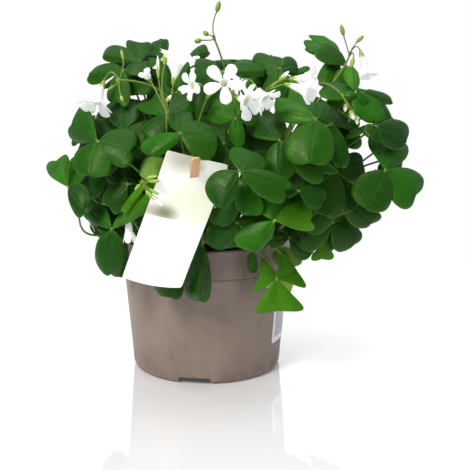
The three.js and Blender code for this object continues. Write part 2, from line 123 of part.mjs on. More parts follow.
  [26,1,0,70.5,84.8,144.5,0.432,0.842,0.323,38.2,55,108.3,58.1,73.6,124.2,[[0,86.9,67.2,156.4,72.8,69.3,163.9,89.8,69.4,140.7,0.526,0.755,0.391],[0,72.6,87.5,118.7,83.2,77.9,125.1,58.5,90.9,124.4,0.457,0.879,0.132],[0,47.8,89.5,155.2,48.4,92.4,140.1,56.5,79.5,162.9,0.352,0.862,0.363]]],
  [26,1,0,71.8,75,183.9,0.364,0.507,0.781,37.2,42.7,108.9,55.1,58,142.6,[[0,68.2,92,167.6,79.1,84.6,166.1,57.5,87.8,174.2,0.339,0.686,0.644],[0,52.4,64.9,191.3,51,75.5,184.3,62.8,57.4,190.5,0.138,0.402,0.905],[0,89.1,60.9,179.9,79.2,56.1,186.1,88.1,70.9,172.3,0.505,0.405,0.763]]],
  [27,1,0,17,101.6,148.9,-0.005,0.993,0.119,33.9,61.8,114.2,37.1,81.8,134.7,[[0,34.5,92.6,166.8,20.2,91.3,170.3,39.3,93.5,152.8,0.173,0.936,0.305],[0,24.3,96.4,124.7,34.4,94.9,134.8,10.3,95.6,127.4,0.087,0.979,-0.183],[0,-7.1,95.5,153.7,-3.3,96.1,140.1,2.1,93.3,164,-0.211,0.964,0.162]]],
  [27,0,0,20.8,83,170.5,0.176,0.708,0.684,10.9,53.7,109.1,16.1,65.5,140.3,[[0,17.6,64.3,182,6.4,70.1,177.7,29.7,65.4,176.6,0.142,0.499,0.855],[0,37.9,81.6,157.6,37.3,72.3,166.6,28,88.2,152.6,0.454,0.724,0.519],[0,3.7,90.2,160.7,14.5,92.2,154.4,1.4,81.1,169.2,-0.003,0.803,0.597]]],
  [27,2,0,51.9,84.5,120.2,0.069,0.95,-0.304,29.2,56.6,100,40.8,73.2,118.3,[[0,50.5,85.7,147.2,36.2,83.3,139.8,65.1,81.7,141.4,0.057,0.998,-0.04],[0,73.2,71.7,112.1,73.5,75.8,127.3,60.4,69.1,103.4,0.345,0.837,-0.424],[0,30.3,76.6,108.8,43.3,72,101.8,28.7,80.1,123.8,-0.115,0.905,-0.41]]],
  [28,0,0,-81.3,38.4,106.8,-0.703,0.519,-0.486,-54.8,29.1,100.3,-70.7,37.8,110.8,[[0,-59.9,51,101.4,-65.5,53.3,113.9,-62.3,39.3,94.3,-0.521,0.652,-0.55],[0,-81.9,15.6,97.6,-72.1,23.7,93.2,-88,17.5,109.6,-0.74,0.268,-0.617],[0,-89.3,40.5,129.5,-91.7,29,123.3,-79.3,48.4,126,-0.775,0.544,-0.321]]],
  [28,1,0,-67.3,66.5,119.1,-0.333,0.94,0.067,-45.1,36.1,100.2,-55.5,54,110.4,[[0,-42.8,68.5,107.5,-42.4,66.3,123.7,-54.6,63.9,97.4,-0.102,0.994,-0.045],[0,-84.4,52.8,104.2,-71.2,57.3,96.7,-85.9,50.4,119.8,-0.561,0.82,-0.113],[0,-67,59,144,-79.1,53.9,135.9,-53.2,62.9,138.2,-0.338,0.9,0.274]]],
  [29,2,0,25.5,53.3,211.5,0.095,0.268,0.959,19.6,34.8,132.6,21.8,46,176.6,[[0,-1.6,52.1,209,5.2,65.4,203.1,5.7,37.9,210.7,-0.103,0.264,0.959],[0,38,30.2,209.9,22.5,29.2,210.7,46.1,42.3,204.6,0.22,0.052,0.974],[0,37.4,73.5,200.8,45.8,60.9,201.7,22.2,74.1,200.3,0.164,0.386,0.908]]],
  [29,1,0,51.1,46.2,196.3,0.263,0.384,0.885,24.3,25.2,120.4,40,32.1,159,[[0,56.7,28.3,197.2,46.3,30,198.8,63.1,34.9,191.7,0.347,0.156,0.925],[0,59.8,55.8,183.5,63.9,46.5,185.8,49.8,58.2,185,0.423,0.564,0.709],[0,33.4,48.7,196.6,38.8,55.4,191.1,36.6,39.3,198.7,0.073,0.419,0.905]]],
  [30,2,0,103.3,41.7,106,0.702,0.47,-0.535,68.4,43.7,108.2,96,40.4,118,[[0,102.6,18.1,94.2,111,18.1,108.2,90.4,27.9,89.7,0.712,0.297,-0.637],[0,82.2,56.1,102.9,82.4,43,93.8,89.5,58.5,116.7,0.513,0.629,-0.584],[0,114.3,43,128.5,103.1,53.6,126.5,115.8,29.1,121.7,0.776,0.482,-0.407]]],
  [30,0,0,73.4,37.6,114.2,0.68,0.496,-0.54,48.9,26.6,104.2,64.6,33.9,113.4,[[0,86.6,32.5,136.7,76.3,44.8,137.7,85.6,20,126.6,0.805,0.466,-0.367],[0,67.5,16.7,100.3,77.4,14,112,57,28.1,99.3,0.643,0.291,-0.708],[0,55.4,55.3,115.4,52.7,44.4,105.1,63.8,54.1,128,0.572,0.618,-0.539]]],
  [31,1,0,119.7,37.3,181.9,0.543,0.3,0.784,60.7,20.6,122.2,97.1,29.8,150.8,[[0,98.5,55,183.8,109.8,59.2,172,95.1,39.6,189.8,0.42,0.414,0.807],[0,114.4,11.6,187.9,101.9,21.8,190.8,126.4,13.5,177,0.512,0.092,0.854],[0,138,41.8,163.5,136.7,26.4,167.7,126.7,53.2,164.4,0.629,0.323,0.707]]],
  [31,0,0,134.5,36.2,155.3,0.83,0.303,0.467,71.7,15.3,111.7,95,15.8,130.9,[[0,124.6,17.9,167.6,118,30.8,169.8,132.2,13.8,155.8,0.735,0.053,0.676],[0,138.7,28.8,133.5,137.1,18.4,142.9,133.3,42,134.2,0.973,0.198,0.119],[0,120.4,54.3,154.8,127.1,51.9,142.8,117.3,45,164.6,0.684,0.55,0.48]]],
  [32,1,0,-52.3,50.5,206.1,-0.158,0.285,0.946,-29.3,24,133.7,-40.6,30.3,177,[[0,-31.6,61.9,199.6,-29.8,47.6,203.1,-43.9,68.4,194.5,0.056,0.414,0.908],[0,-71,57.6,193.3,-59.4,66,192,-71.1,43.6,196.7,-0.414,0.392,0.821],[0,-50.5,27.5,208.4,-63,31.9,203.6,-38.2,34.1,207.1,-0.146,0.088,0.985]]],
  [32,0,0,-40.7,56.3,195.5,-0.136,0.238,0.962,-23,34.2,143.9,-18.7,40.8,175.1,[[0,-25.1,34.7,197.8,-39.5,32.2,195,-18.2,47.5,194.2,-0.027,0.087,0.996],[0,-29.3,77.3,185.5,-20.6,66.2,188.5,-43.4,75.8,182.8,-0.032,0.445,0.895],[0,-65,52.5,189.4,-59.4,64.9,185.4,-57.3,40.9,191.7,-0.271,0.219,0.937]]],
  [33,1,0,-49.5,85.8,149.1,-0.644,0.727,0.24,-33.9,55.1,105.7,-36.2,66.8,129.7,[[0,-58.3,77.4,125,-45.5,87.2,124.4,-62.5,67.9,137.3,-0.739,0.673,0.035],[0,-51.5,67.7,167.9,-59,64.2,154.7,-39.1,77.1,169.2,-0.693,0.554,0.461],[0,-27.5,99,149.1,-29.9,90.6,161.6,-33.3,96.3,135.2,-0.497,0.833,0.244]]],
  [33,0,0,-48.8,51.2,154.8,-0.733,0.668,0.131,-28.9,32.1,101.9,-33.7,37.5,128.6,[[0,-27.4,64.4,148.7,-27.9,59.7,163.8,-34.6,57.7,136.3,-0.511,0.857,0.064],[0,-54.8,35.3,136.3,-44.9,46.2,132.2,-56.9,29.5,150.4,-0.868,0.479,-0.131],[0,-47.2,39.7,176.5,-54.6,31.9,166.1,-36.6,50.1,174.3,-0.739,0.571,0.358]]],
  [34,1,0,-19.2,95.2,174.1,-0.304,0.679,0.668,-20.7,59.5,117.8,-19.7,72.9,151.6,[[0,-40,84.8,168.7,-35.4,93.5,160.2,-32.2,78.4,177,-0.472,0.609,0.637],[0,-4.2,82.2,186.1,-15.8,77.4,184.4,0.7,90.9,178.2,-0.155,0.563,0.812],[0,-10.4,109.6,159,-2.4,103.8,166.4,-21.7,105,156.5,-0.255,0.77,0.585]]],
  [34,1,0,-37.3,64.7,181.3,-0.231,0.565,0.792,-25.8,40.4,123.1,-27.7,40.4,159.4,[[0,-16,60.4,180.8,-23.2,51,185.2,-19.8,69.6,172.9,0.126,0.531,0.838],[0,-42,73.6,162.9,-30.2,74.2,166,-50,65,166.8,-0.352,0.804,0.479],[0,-47.8,47,182.9,-52.4,55.1,175.2,-36.2,46.4,186.1,-0.406,0.319,0.856]]],
  [34,1,0,-35.7,63.8,166.8,-0.282,0.778,0.562,-26.1,45,107,-23,41.3,169.3,[[0,-17,59.5,173.7,-25.5,52.4,177.7,-17.4,65.6,163.6,-0.071,0.75,0.658],[0,-36.1,70,148.1,-25.7,69.6,152.9,-45.1,63.7,151.3,-0.299,0.904,0.306],[0,-49.5,50.9,171.4,-50.9,56.1,161.6,-39.6,49.4,176.6,-0.418,0.669,0.615]]],
  [35,1,0,115.7,1.9,110.3,0.876,0.051,-0.479,69.2,6.1,107.2,104.6,1.6,115,[[0,111.6,-22.7,117.5,116.8,-13.3,129.3,103.5,-18.3,104.4,0.871,-0.266,-0.412],[0,96.6,9.4,95.6,97.9,-6,96.9,101.3,20.2,105.8,0.642,0.173,-0.747],[0,117.9,16.9,129.8,110.2,23,118.3,119.5,2.2,133.2,0.935,0.223,-0.276]]],
  [35,1,0,100.4,-9.9,122.5,0.882,-0.23,-0.411,49,1.2,100.2,79.5,-2.8,119.1,[[0,95.3,-23.8,143.1,100.3,-9.6,146.2,88,-28.5,130.4,0.873,-0.477,-0.106],[0,80.8,-13.1,108,82.8,-24,118,85.3,1.1,109.2,0.596,-0.317,-0.738],[0,100.3,13.2,129,93.2,10.5,116.5,102.5,4,140.1,0.935,0.098,-0.34]]],
  [36,2,0,113.8,-15.5,191.5,0.573,-0.026,0.819,47,-2.2,114.2,76.4,-10.1,150.3,[[0,114.9,8.4,179,123.2,-2.7,172.9,102.6,5.9,187.6,0.635,0.335,0.696],[0,88.3,-19.8,195.5,92.3,-5.7,193.7,96.1,-31.2,190.2,0.174,-0.107,0.979],[0,121.8,-33.4,175,110.1,-36.7,182.7,126,-19.9,172.1,0.715,-0.272,0.644]]],
  [36,1,0,91.9,3.3,178.7,0.562,-0.117,0.819,60.1,7.4,115.1,78.8,7.8,147.7,[[0,72.7,-11.7,182.6,70.3,2,185,82.7,-16.7,173.8,0.389,-0.269,0.881],[0,105.4,-3.2,160.1,96.3,-12.6,164.3,104.2,10.4,162.1,0.756,-0.203,0.622],[0,87.2,26.2,179.9,96.9,22.7,171.2,77.3,18.1,184,0.534,0.066,0.843]]],
  [37,2,0,4.7,88.7,131.3,0.079,0.987,0.142,1.5,47.1,101.7,2.8,72,118,[[0,2,84.6,109.5,13.2,82.8,114.2,-8.1,84.2,116.5,0.041,0.981,-0.192],[0,-12.2,80.2,141.9,-13.6,82.1,130.3,-1.5,78.7,146.8,-0.235,0.905,0.354],[0,22.7,80.2,138.6,13.4,79.4,145.5,21.7,81.4,127,0.331,0.911,0.248]]],
  [37,0,0,-4.9,92.3,149.6,-0.155,0.925,0.347,2.5,52.3,111.9,17.6,78.7,144.6,[[0,-23,89.1,131.7,-9.9,92.1,126.9,-25.5,83,144.4,-0.341,0.923,0.179],[0,-7.4,76.6,168.9,-18.3,77.5,160.2,5.6,79.7,165.1,-0.195,0.772,0.605],[0,17.9,94.1,141.2,16.5,88.1,153.3,8,94.7,131.9,0.03,0.958,0.284]]],
  [37,2,0,-7.3,33.1,157.8,-0.14,0.14,0.98,-2.9,31.5,113.3,-2.8,33,136.4,[[0,17.4,26,159.5,7.6,14.7,157.7,15.2,40.2,155.2,-0.037,0.111,0.993],[0,-12.4,56.1,149.8,1.8,52.9,150.6,-23.1,46.5,148,-0.175,0.29,0.941],[0,-24.6,16,156.4,-28.5,28.9,151.8,-11.2,11,156.8,-0.179,0.101,0.979]]],
  [38,2,0,-76.2,4,101.8,-0.634,0.491,-0.597,-53.4,1.6,99.2,-68.1,2.3,107.9,[[0,-86.6,-1.2,121.5,-85.5,-10.7,112.9,-78.7,8.9,121.8,-0.837,0.44,-0.325],[0,-58,15.9,106.7,-66.8,15.5,115.4,-56.7,7.2,97.9,-0.346,0.757,-0.555],[0,-70.3,-14,91.1,-62.3,-4.9,91,-78.7,-15.4,99.8,-0.581,0.263,-0.77]]],
  [38,0,0,-57.5,-7.8,118.8,0.631,-0.172,0.756,-43,-2,98.9,-52.9,-2.3,109.2,[[0,-41.1,10,117.7,-50.9,11.5,127.3,-37.1,-2.2,112.6,-0.466,0.383,-0.798],[0,-47.7,-29,115.7,-40.1,-18.5,112.3,-57.7,-28.5,124.7,-0.526,-0.121,-0.842],[0,-71.4,-6.8,137.2,-68.2,-18.9,133.1,-64.1,3.9,135,-0.78,0.186,-0.597]]],
  [39,1,0,-50.4,31,218.5,-0.149,0.057,0.987,-19.3,3,154,-47.4,15.5,202.4,[[0,-32.5,46.7,214.7,-29,33.6,215,-45,51,211.6,0.022,0.213,0.977],[0,-70.6,37.2,208.5,-61.2,46.4,208.7,-68.1,24.2,209,-0.408,0.137,0.903],[0,-44.9,8.9,216.5,-57,12,213.3,-35.1,17.2,216.3,-0.108,-0.118,0.987]]],
  [39,1,0,-53.9,12.5,206,-0.286,0.107,0.952,-30,14.4,132.2,-42.6,15.1,175.6,[[0,-29.9,8.6,204.5,-37.8,-2.1,203.3,-34.1,21,201.8,0.07,0.054,0.996],[0,-58.4,31.3,192.4,-46.2,29.9,196.6,-66.6,21.3,191.4,-0.399,0.47,0.787],[0,-65.2,-5.6,197.1,-69.6,5.9,194.1,-53.1,-7.5,200.6,-0.459,-0.14,0.877]]],
  [40,1,0,44.8,2.9,215.9,0.068,0.118,0.991,15.1,10.1,114.1,47.1,9.4,167.5,[[0,53.1,20.4,205.4,60.9,10.1,205.9,40.1,20.1,206.1,0.214,0.426,0.879],[0,24.7,0.4,208.9,29.5,11.9,207.3,31.4,-10.2,209.8,-0.337,0.079,0.938],[0,55.7,-14.3,210.8,43.5,-15.8,211.3,61.5,-3.6,208.6,0.237,-0.136,0.962]]],
  [40,1,0,6.1,19.6,211.6,0.025,0.099,0.995,6.1,8.6,127.8,10.5,13.8,171.8,[[0,0.2,38,206.8,11.6,35.9,205.4,-8.2,29.9,206.5,-0.022,0.248,0.969],[0,-6.9,5.4,209.3,-10.8,15.8,207.4,3.9,2.2,208.4,-0.118,-0.056,0.992],[0,24.4,15.2,209.6,17.4,6.6,209.2,21.8,25.6,207.2,0.128,0.075,0.989]]],
  [41,0,0,-68.8,-45.1,177.4,-0.535,-0.431,0.727,-38.1,-28.7,114.7,-33.8,-36,180.5,[[0,-84.8,-29.8,167,-75.9,-24.4,175.4,-82.4,-41.3,160.6,-0.704,-0.295,0.646],[0,-61.6,-62.6,163.1,-71.7,-55.6,159.1,-52.9,-58,171.5,-0.469,-0.665,0.581],[0,-51.9,-35.2,190,-49.1,-46,184.1,-61.3,-27.6,186,-0.412,-0.361,0.836]]],
  [41,0,0,-76.3,-30.1,167.3,-0.663,-0.395,0.636,-38.7,-14.8,118.2,-59.6,-22.8,146.7,[[0,-76.9,-8.5,171.4,-66.3,-14.9,176.9,-83.8,-12.1,160.4,-0.691,-0.154,0.706],[0,-82.7,-34.9,147.5,-85.5,-22.7,151.1,-73,-42.5,151.8,-0.79,-0.485,0.374],[0,-58.7,-39.8,173,-64.1,-44.7,162.5,-59.7,-27.8,177.5,-0.504,-0.498,0.706]]],
  [42,1,0,10.7,-7.3,173.1,-0.021,-0.014,1,7.9,-7.1,118.7,10.2,-8.3,144,[[0,36,4.1,169.5,35.7,-12.8,167.3,23,15.1,167.4,0.121,0.051,0.991],[0,-10.8,8.3,167.3,3.8,16.2,166.2,-13.6,-8,165.5,-0.189,0.108,0.976],[0,8.1,-33.6,170,-5.7,-25.3,167.6,23.4,-28.2,168.1,-0.031,-0.117,0.993]]],
  [42,1,0,1.6,-38,162.5,-0.189,-0.171,0.967,1,-21.8,111.7,1.7,-31.8,134.5,[[0,27.5,-29.9,159.6,24.8,-45.5,155.8,16.6,-17.9,159.1,0.134,-0.078,0.988],[0,-14,-19.2,152.4,0.6,-14.4,155.9,-18.3,-33.8,148.8,-0.447,0.108,0.888],[0,-2.6,-60.4,150.1,-14,-50.1,148.9,12.2,-57.2,152.7,-0.245,-0.433,0.868]]],
  [23,0,1,54.9,-58.0,102.6,-0.05,-0.87,0.49,18.2,-15.3,100.4,48.2,-47.0,100.6,[[2,68.9,-62.0,91.6,60.6,-59.8,89.3,68.9,-60.4,100.1,-0.201,-0.974,0.1],[2,41.3,-62.0,100.8,44.3,-59.8,106.9,46.5,-60.4,95.4,0.269,-0.958,0.103],[0,56.4,-52.0,113.2,60.6,-52.5,109.8,51.6,-53.1,111.0,0.118,-0.871,0.476]]],
  [36,1,0,97.3,14.0,177.7,0.05,-0.75,0.66,60.1,7.4,115.1,84.8,13.8,150.7,[[0,85.7,12.0,186.1,92.4,14.5,188.9,85.0,13.3,179.0,0.166,-0.986,-0.006],[0,101.7,8.0,166.3,95.1,11.5,166.6,106.5,10.3,171.4,-0.254,-0.892,0.373],[0,112.1,16.0,183.1,111.1,17.5,175.7,106.1,16.3,187.5,0.148,-0.988,-0.038]]],
];
// Rows of LEAVES whose leaflets overlap each other or their stalk near the hub.
const OVERLAPPING = [7, 21, 38, 39, 42, 65, 87];
// Where each clump and then each flower stem leaves the soil, xy.
const BASES = [
  [11.1,-32], [14.8,-38.4], [25.9,-32], [-29.6,-25.6], [-25.9,-19.2], [-7.4,-25.6], [33.3,-19.2], [-14.8,-25.6],
  [37,-12.8], [0,-25.6], [14.8,-25.6], [-25.9,-6.4], [-37,-12.8], [3.7,-19.2], [-18.5,-6.4], [14.8,-12.8],
  [33.3,6.4], [-7.4,-12.8], [29.6,-25.6], [22.2,-25.6], [-18.5,-19.2], [7.4,-38.4], [3.7,-32], [11.1,-19.2],
  [-29.6,25.6], [40.7,-6.4], [25.9,32], [7.4,38.4], [-33.3,19.2], [11.1,19.2], [33.3,19.2], [37,12.8],
  [-22.2,25.6], [-25.9,32], [-18.5,32], [40.7,6.4], [37,0], [-3.7,32], [-29.6,0], [-22.2,12.8],
  [3.7,6.4], [-29.6,-12.8], [-3.7,-6.4], [-22.2,-25.6], [-3.7,-32], [0,-38.4], [7.4,-25.6], [18.5,-32],
  [3.7,-6.4], [33.3,-6.4], [-18.5,-32], [-25.9,-32], [25.9,-19.2], [-33.3,-19.2],
];
// One row a flower stem: [fork xyz, stem handles xyz, xyz,
//   heads: [F flower or B bud, base xyz, mouth xyz, radius, openness or colour, pedicel handles]]
const STEMS = [
  [[-51,-62.9,202.1],[-4.7,-33.1,144.1],[0.3,-54.8,201.4],[["F",-60.7,-59.4,201.4,-65.1,-66.1,188.3,14.5,0.6,-54.4,-61.7,208.7,-57.7,-60.5,208.5],["B",-51,-36.9,213.7,-52.6,-35.5,220.6,1.1,1,-49.8,-55.6,205.8,-49.8,-47,209.7],["B",-53.5,-68.3,198.7,-57,-69.8,196.4,1.3,0,-51.2,-66.2,200.2,-52.1,-68,199.1],["B",-48,-79.8,193.3,-46.7,-81.5,190.1,1.2,1,-50.2,-70.3,197.6,-49.2,-75.9,194.6]]],
  [[-19.6,-93.2,184.2],[-2.1,-42.3,115.6],[-23.8,-85.2,148.1],[["F",-30.2,-76.3,202,-34.4,-78.1,208,4.8,0.3,-22.9,-89,190.1,-26.5,-83.3,196],["B",-22.3,-66.7,211.3,-22.6,-65.1,219,1.8,1,-23.6,-85.3,195.3,-24.5,-76.5,204.3],["B",-25.9,-72.5,203.1,-26.5,-69.6,217.3,1.4,2,-22.2,-88,188.8,-24.3,-81.1,195.1],["F",-16.5,-83,200.5,-13.3,-83.9,216.3,11.5,0.55,-17.7,-91.3,189.2,-16.7,-87.9,194.7],["B",-19.9,-92.4,190.5,-17.2,-91.6,194.5,1.5,2,-19.4,-94.2,186.8,-19.5,-93.9,188.9]]],
  [[3.8,-87.5,192.6],[-4.4,-48.7,108.8],[-12.7,-79.8,156],[["F",0.2,-85.9,200.1,-6.6,-92.1,199.8,10.5,0.85,4.2,-88.1,196.3,3,-87.5,198.8],["F",14.4,-85.7,200.1,13.7,-98.6,201.9,12.3,1.0,5.7,-88.5,194,9.3,-87.9,196.5]]],
  [[19.1,-78.8,195.6],[5.9,-37.5,120.9],[13.7,-78.3,137.5],[["F",20.3,-91.4,193.4,30.2,-99.1,190.6,10.8,0.8,19.1,-84.4,194.5,19.5,-88.6,193.8],["F",33.3,-87.9,197.8,40.2,-93.5,190.6,8.5,0.5,24.7,-81.4,205.4,29.4,-84.4,206.1]]],
  [[38.7,-85.2,196.5],[3.7,-62.2,156.4],[33.7,-64.4,197.7],[["B",41.6,-85.2,198.9,46.9,-84.4,202.9,1.1,0,39.2,-86.4,198.2,40.2,-86.4,198.9],["B",46.4,-83,202.3,52.4,-81.8,208.1,1.8,2,40.8,-85.6,199.3,43.4,-84.9,201.2],["F",52.5,-79.6,203.3,65.9,-83.6,204.1,9.6,0.7,42.8,-84.4,200.4,47.4,-82.5,202.7],["F",49.8,-87.1,200.7,63.4,-95,197,8.2,0.6,41.9,-87.1,198.4,45.6,-87.7,199.8]]],
  [[6.9,-20,226.9],[15.3,-6.9,116],[31.6,-13.5,167.5],[["B",8.6,-20,244.4,10.2,-18.6,251.4,2.0,0,5.1,-21.3,233,5.7,-21.3,238.8],["B",2.7,-22,229.4,-0.5,-21.5,232,1.9,0,6.2,-21.9,228.6,4.8,-22.5,229.4],["B",-1.8,-24,226.2,-6.3,-24.3,225,2.0,0,6,-22.8,226.2,3.1,-24.1,226]]],
  [[96.4,-12,216.5],[35,-21,160.8],[86.7,-24.7,190.7],[["B",92.1,-12,229.5,90.4,-10.5,236.6,1.8,0,95.2,-13.7,219.1,93.8,-13.7,223.5],["B",100.9,-14,225,105.5,-13.1,229.2,1.5,0,96.6,-14.1,218.9,98.1,-14.8,221.7],["F",103.1,-16,219.2,107.1,-21.5,202.4,8.0,0.45,98.9,-13.5,223,101.1,-14.9,223.9],["B",98.7,-15,214.6,96.7,-16.5,207.5,1.8,1,98.3,-13.7,218.9,99.1,-14.7,218.3]]],
  [[-33.3,-105.6,144.5],[-17.6,-47,126.7],[-21.1,-103.7,124.5],[["B",-30.5,-109.7,147.8,-24.1,-110.4,149.3,1.9,0,-32.2,-108.3,146,-31.3,-109.6,147.1],["B",-29.3,-110.9,146.2,-22.2,-112.8,146.8,1.5,1,-31.8,-108.7,145.5,-30.5,-110.4,146],["B",-29.4,-110.1,141.7,-22.9,-112.8,138.6,1.2,1,-31.9,-108.5,143.8,-30.6,-110,142.8],["B",-31.2,-110.3,140.5,-21.2,-114,132.4,2.4,1,-32.8,-108.5,143.4,-32.1,-110,142.1],["B",-34.9,-106.9,144.1,-38.1,-107.6,140.7,0.9,1,-33.7,-107.4,144.6,-34.2,-107.8,144.5]]],
  [[-44.3,-72.0,125.1],[-36.6,-49.0,97.2],[-46.3,-68.6,114.3],[["F",-45.9,-74.5,119.9,-45.1,-77.5,102.5,4.8,0.3,-45.8,-73.0,125.9,-45.9,-74.2,121.9]]],
  [[87,-56.2,192.6],[51.9,-24.5,126.2],[56.3,-24.3,226],[["B",88.7,-64.3,187.6,88.1,-65.3,182.7,1.8,2,87.4,-60.2,191.4,88,-62.9,189.7],["B",90.9,-67.5,183.5,93.2,-69.6,178.2,2.1,2,89,-61.3,189.6,90.3,-65.1,186.6],["B",94.7,-67.4,180.4,95.6,-68.5,175,1.5,2,90.3,-61.4,188.2,92.8,-65.1,184.1]]],
  [[-80.3,-50.8,118.2],[-61,-21.3,108.7],[-82.4,-49.9,87.4],[["B",-74.3,-66.6,126.7,-71.7,-67.1,129,1.3,1,-78.5,-57.3,121.7,-76.5,-62.5,124.6]]],
];

// ---------------------------------------------------------------- helpers
const V = (a) => new THREE.Vector3(a[0], a[1], a[2]);
const add = (a, b, s = 1) => a.clone().addScaledVector(b, s);

function solidOf(geometry) {
  const g = geometry.clone();
  g.deleteAttribute('normal');
  g.deleteAttribute('uv');
  const m = mergeVertices(g, 1e-4);
  return new Manifold(new SolidMesh({
    numProp: 3,
    vertProperties: new Float32Array(m.attributes.position.array),
    triVerts: new Uint32Array(m.index.array),
  }));
}

// Joining thin stalks leaves slivers: detail below a few hundredths is dropped, with the smallest
// tolerance that keeps the surface closed once points a micron apart are merged.
function geometryOf(solid) {
  for (const tolerance of [0.04, 0.055, 0.07, 0.03, 0.09, 0.12, 0.02, 0.01]) {
    const m = mergeVertices(bufferOf(solid.simplify(tolerance)), 1e-3);
    const faces = closedFaces(m);
    if (faces) {
      m.setIndex(faces);
      m.computeVertexNormals();
      return m;
    }
  }
  throw new Error('a joined piece is not closed');
}

function bufferOf(solid) {
  const m = solid.getMesh();
  const g = new THREE.BufferGeometry();
  const pos = new Float32Array(m.numVert * 3);
  for (let i = 0; i < m.numVert; i++) {
    for (let k = 0; k < 3; k++) pos[3 * i + k] = m.vertProperties[i * m.numProp + k];
  }
  g.setAttribute('position', new THREE.BufferAttribute(pos, 3));
  g.setIndex(Array.from(m.triVerts));
  return g;
}

// The faces with an area, if every edge is shared by exactly two of them.
function closedFaces(g) {
  const ix = g.index.array;
  const edges = new Set(), faces = [];
  for (let i = 0; i < ix.length; i += 3) {
    const t = [ix[i], ix[i + 1], ix[i + 2]];
    if (t[0] === t[1] || t[1] === t[2] || t[0] === t[2]) continue;
    faces.push(...t);
    for (let k = 0; k < 3; k++) {
      const key = `${t[k]},${t[(k + 1) % 3]}`;
      if (edges.has(key)) return null;
      edges.add(key);
    }
  }
  for (const key of edges) {
    const [a, b] = key.split(',');
    if (!edges.has(`${b},${a}`)) return null;
  }
  return faces;
}

// A closed surface kept as a list of points and faces, turned outwards at the end.
class Shell {
  constructor() { this.p = []; this.f = []; }
  pt(v) { this.p.push(v.clone()); return this.p.length - 1; }
  tri(a, b, c) { this.f.push([a, b, c]); }
  quad(a, b, c, d) { this.tri(a, b, c); this.tri(a, c, d); }
  volume() {
    let s = 0;
    for (const [a, b, c] of this.f) s += this.p[a].dot(new THREE.Vector3().crossVectors(this.p[b], this.p[c])) / 6;
    return s;
  }
  solid() {
    if (this.volume() < 0) this.f = this.f.map(([a, b, c]) => [a, c, b]);
    const vp = new Float32Array(this.p.length * 3);
    this.p.forEach((v, i) => { vp[3 * i] = v.x; vp[3 * i + 1] = v.y; vp[3 * i + 2] = v.z; });
    const tv = new Uint32Array(this.f.length * 3);
    this.f.forEach((t, i) => { tv.set(t, 3 * i); });
    return new Manifold(new SolidMesh({ numProp: 3, vertProperties: vp, triVerts: tv }));
  }
}

// Shares of a cubic curve where a stalk made of straight stretches bends: each stretch runs as far
// as it can before it leaves the curve by more than tol.
function bends(curve, tol) {
  const N = 28;
  const P = curve.getPoints(N);
  const out = [0];
  let i = 0;
  while (i < N) {
    let j = i + 1;
    while (j < N) {
      const line = new THREE.Line3(P[i], P[j + 1]);
      let worst = 0;
      for (let k = i + 1; k <= j; k++) worst = Math.max(worst, line.closestPointToPoint(P[k], true, new THREE.Vector3()).distanceTo(P[k]));
      if (worst > tol) break;
      j++;
    }
    out.push(j / N);
    i = j;
  }
  return out;
}

// Rings of a prism that follows a curve from its end (ring 0 at t = 1) to its start.
function tubeRings(shell, curve, r, sides, first, tol) {
  const ts = bends(curve, tol).reverse();
  let offs = first;
  let prev = null;
  const rings = [];
  ts.forEach((t, i) => {
    const P = curve.getPoint(t);
    const T = curve.getTangent(t);
    if (!offs) {
      const e1 = new THREE.Vector3(0.31, 0.12, 0.05).add(Math.abs(T.z) < 0.9 ? new THREE.Vector3(0, 0, 1) : new THREE.Vector3(1, 0, 0)).cross(T).normalize();
      const e2 = new THREE.Vector3().crossVectors(T, e1);
      offs = [];
      for (let k = 0; k < sides; k++) {
        const a = 2 * Math.PI * k / sides;
        offs.push(e1.clone().multiplyScalar(Math.cos(a)).addScaledVector(e2, Math.sin(a)));
      }
    }
    offs = offs.map((o) => {
      const q = o.clone().addScaledVector(T, -o.dot(T));
      return q.normalize();
    });
    if (i === 0 && prev === null && first) { prev = true; return; }
    rings.push(offs.map((o) => shell.pt(add(P, o, r))));
  });
  return rings;
}

function joinRings(shell, a, b) {
  const n = a.length;
  for (let k = 0; k < n; k++) shell.quad(a[k], a[(k + 1) % n], b[(k + 1) % n], b[k]);
}

function cap(shell, ring, flip) {
  for (let k = 1; k < ring.length - 1; k++) {
    if (flip) shell.tri(ring[0], ring[k + 1], ring[k]); else shell.tri(ring[0], ring[k], ring[k + 1]);
  }
}

function tube(curve, r, sides, tol) {
  const s = new Shell();
  const rings = tubeRings(s, curve, r, sides, null, tol);
  for (let i = 0; i < rings.length - 1; i++) joinRings(s, rings[i], rings[i + 1]);
  cap(s, rings[0], true);
  cap(s, rings[rings.length - 1], false);
  return s.solid();
}

const bezier = (a, b, c, d) => new THREE.CubicBezierCurve3(V(a), V(b), V(c), V(d));

// Start points of the stalks of one clump: side by side in the bulb, each on the side it leaves by.
function starts(base, rows) {
  if (rows.length === 1) return [[base[0], base[1]]];
  const want = rows.map((r) => {
    const p = bezier([base[0], base[1], BASE_Z], r.slice(9, 12), r.slice(12, 15), r.slice(3, 6)).getPoint(0.45);
    return Math.atan2(p.y - base[1], p.x - base[0]);
  });
  const m = rows.length;
  let best = null;
  const perms = (list) => (list.length < 2 ? [list] : list.flatMap((v, i) => perms([...list.slice(0, i), ...list.slice(i + 1)]).map((q) => [v, ...q])));
  const all = perms([...Array(m).keys()]);
  for (let turn = 0; turn < 24; turn++) {
    const t0 = 2 * Math.PI * turn / 24;
    for (const q of all) {
      let cost = 0;
      q.forEach((slot, i) => { cost += 1 - Math.cos(t0 + 2 * Math.PI * slot / m - want[i]); });
      if (!best || cost < best.cost - 1e-9) best = { cost, at: q.map((slot) => t0 + 2 * Math.PI * slot / m) };
    }
  }
  return best.at.map((a) => [base[0] + BULB_SPREAD * Math.cos(a), base[1] + BULB_SPREAD * Math.sin(a)]);
}

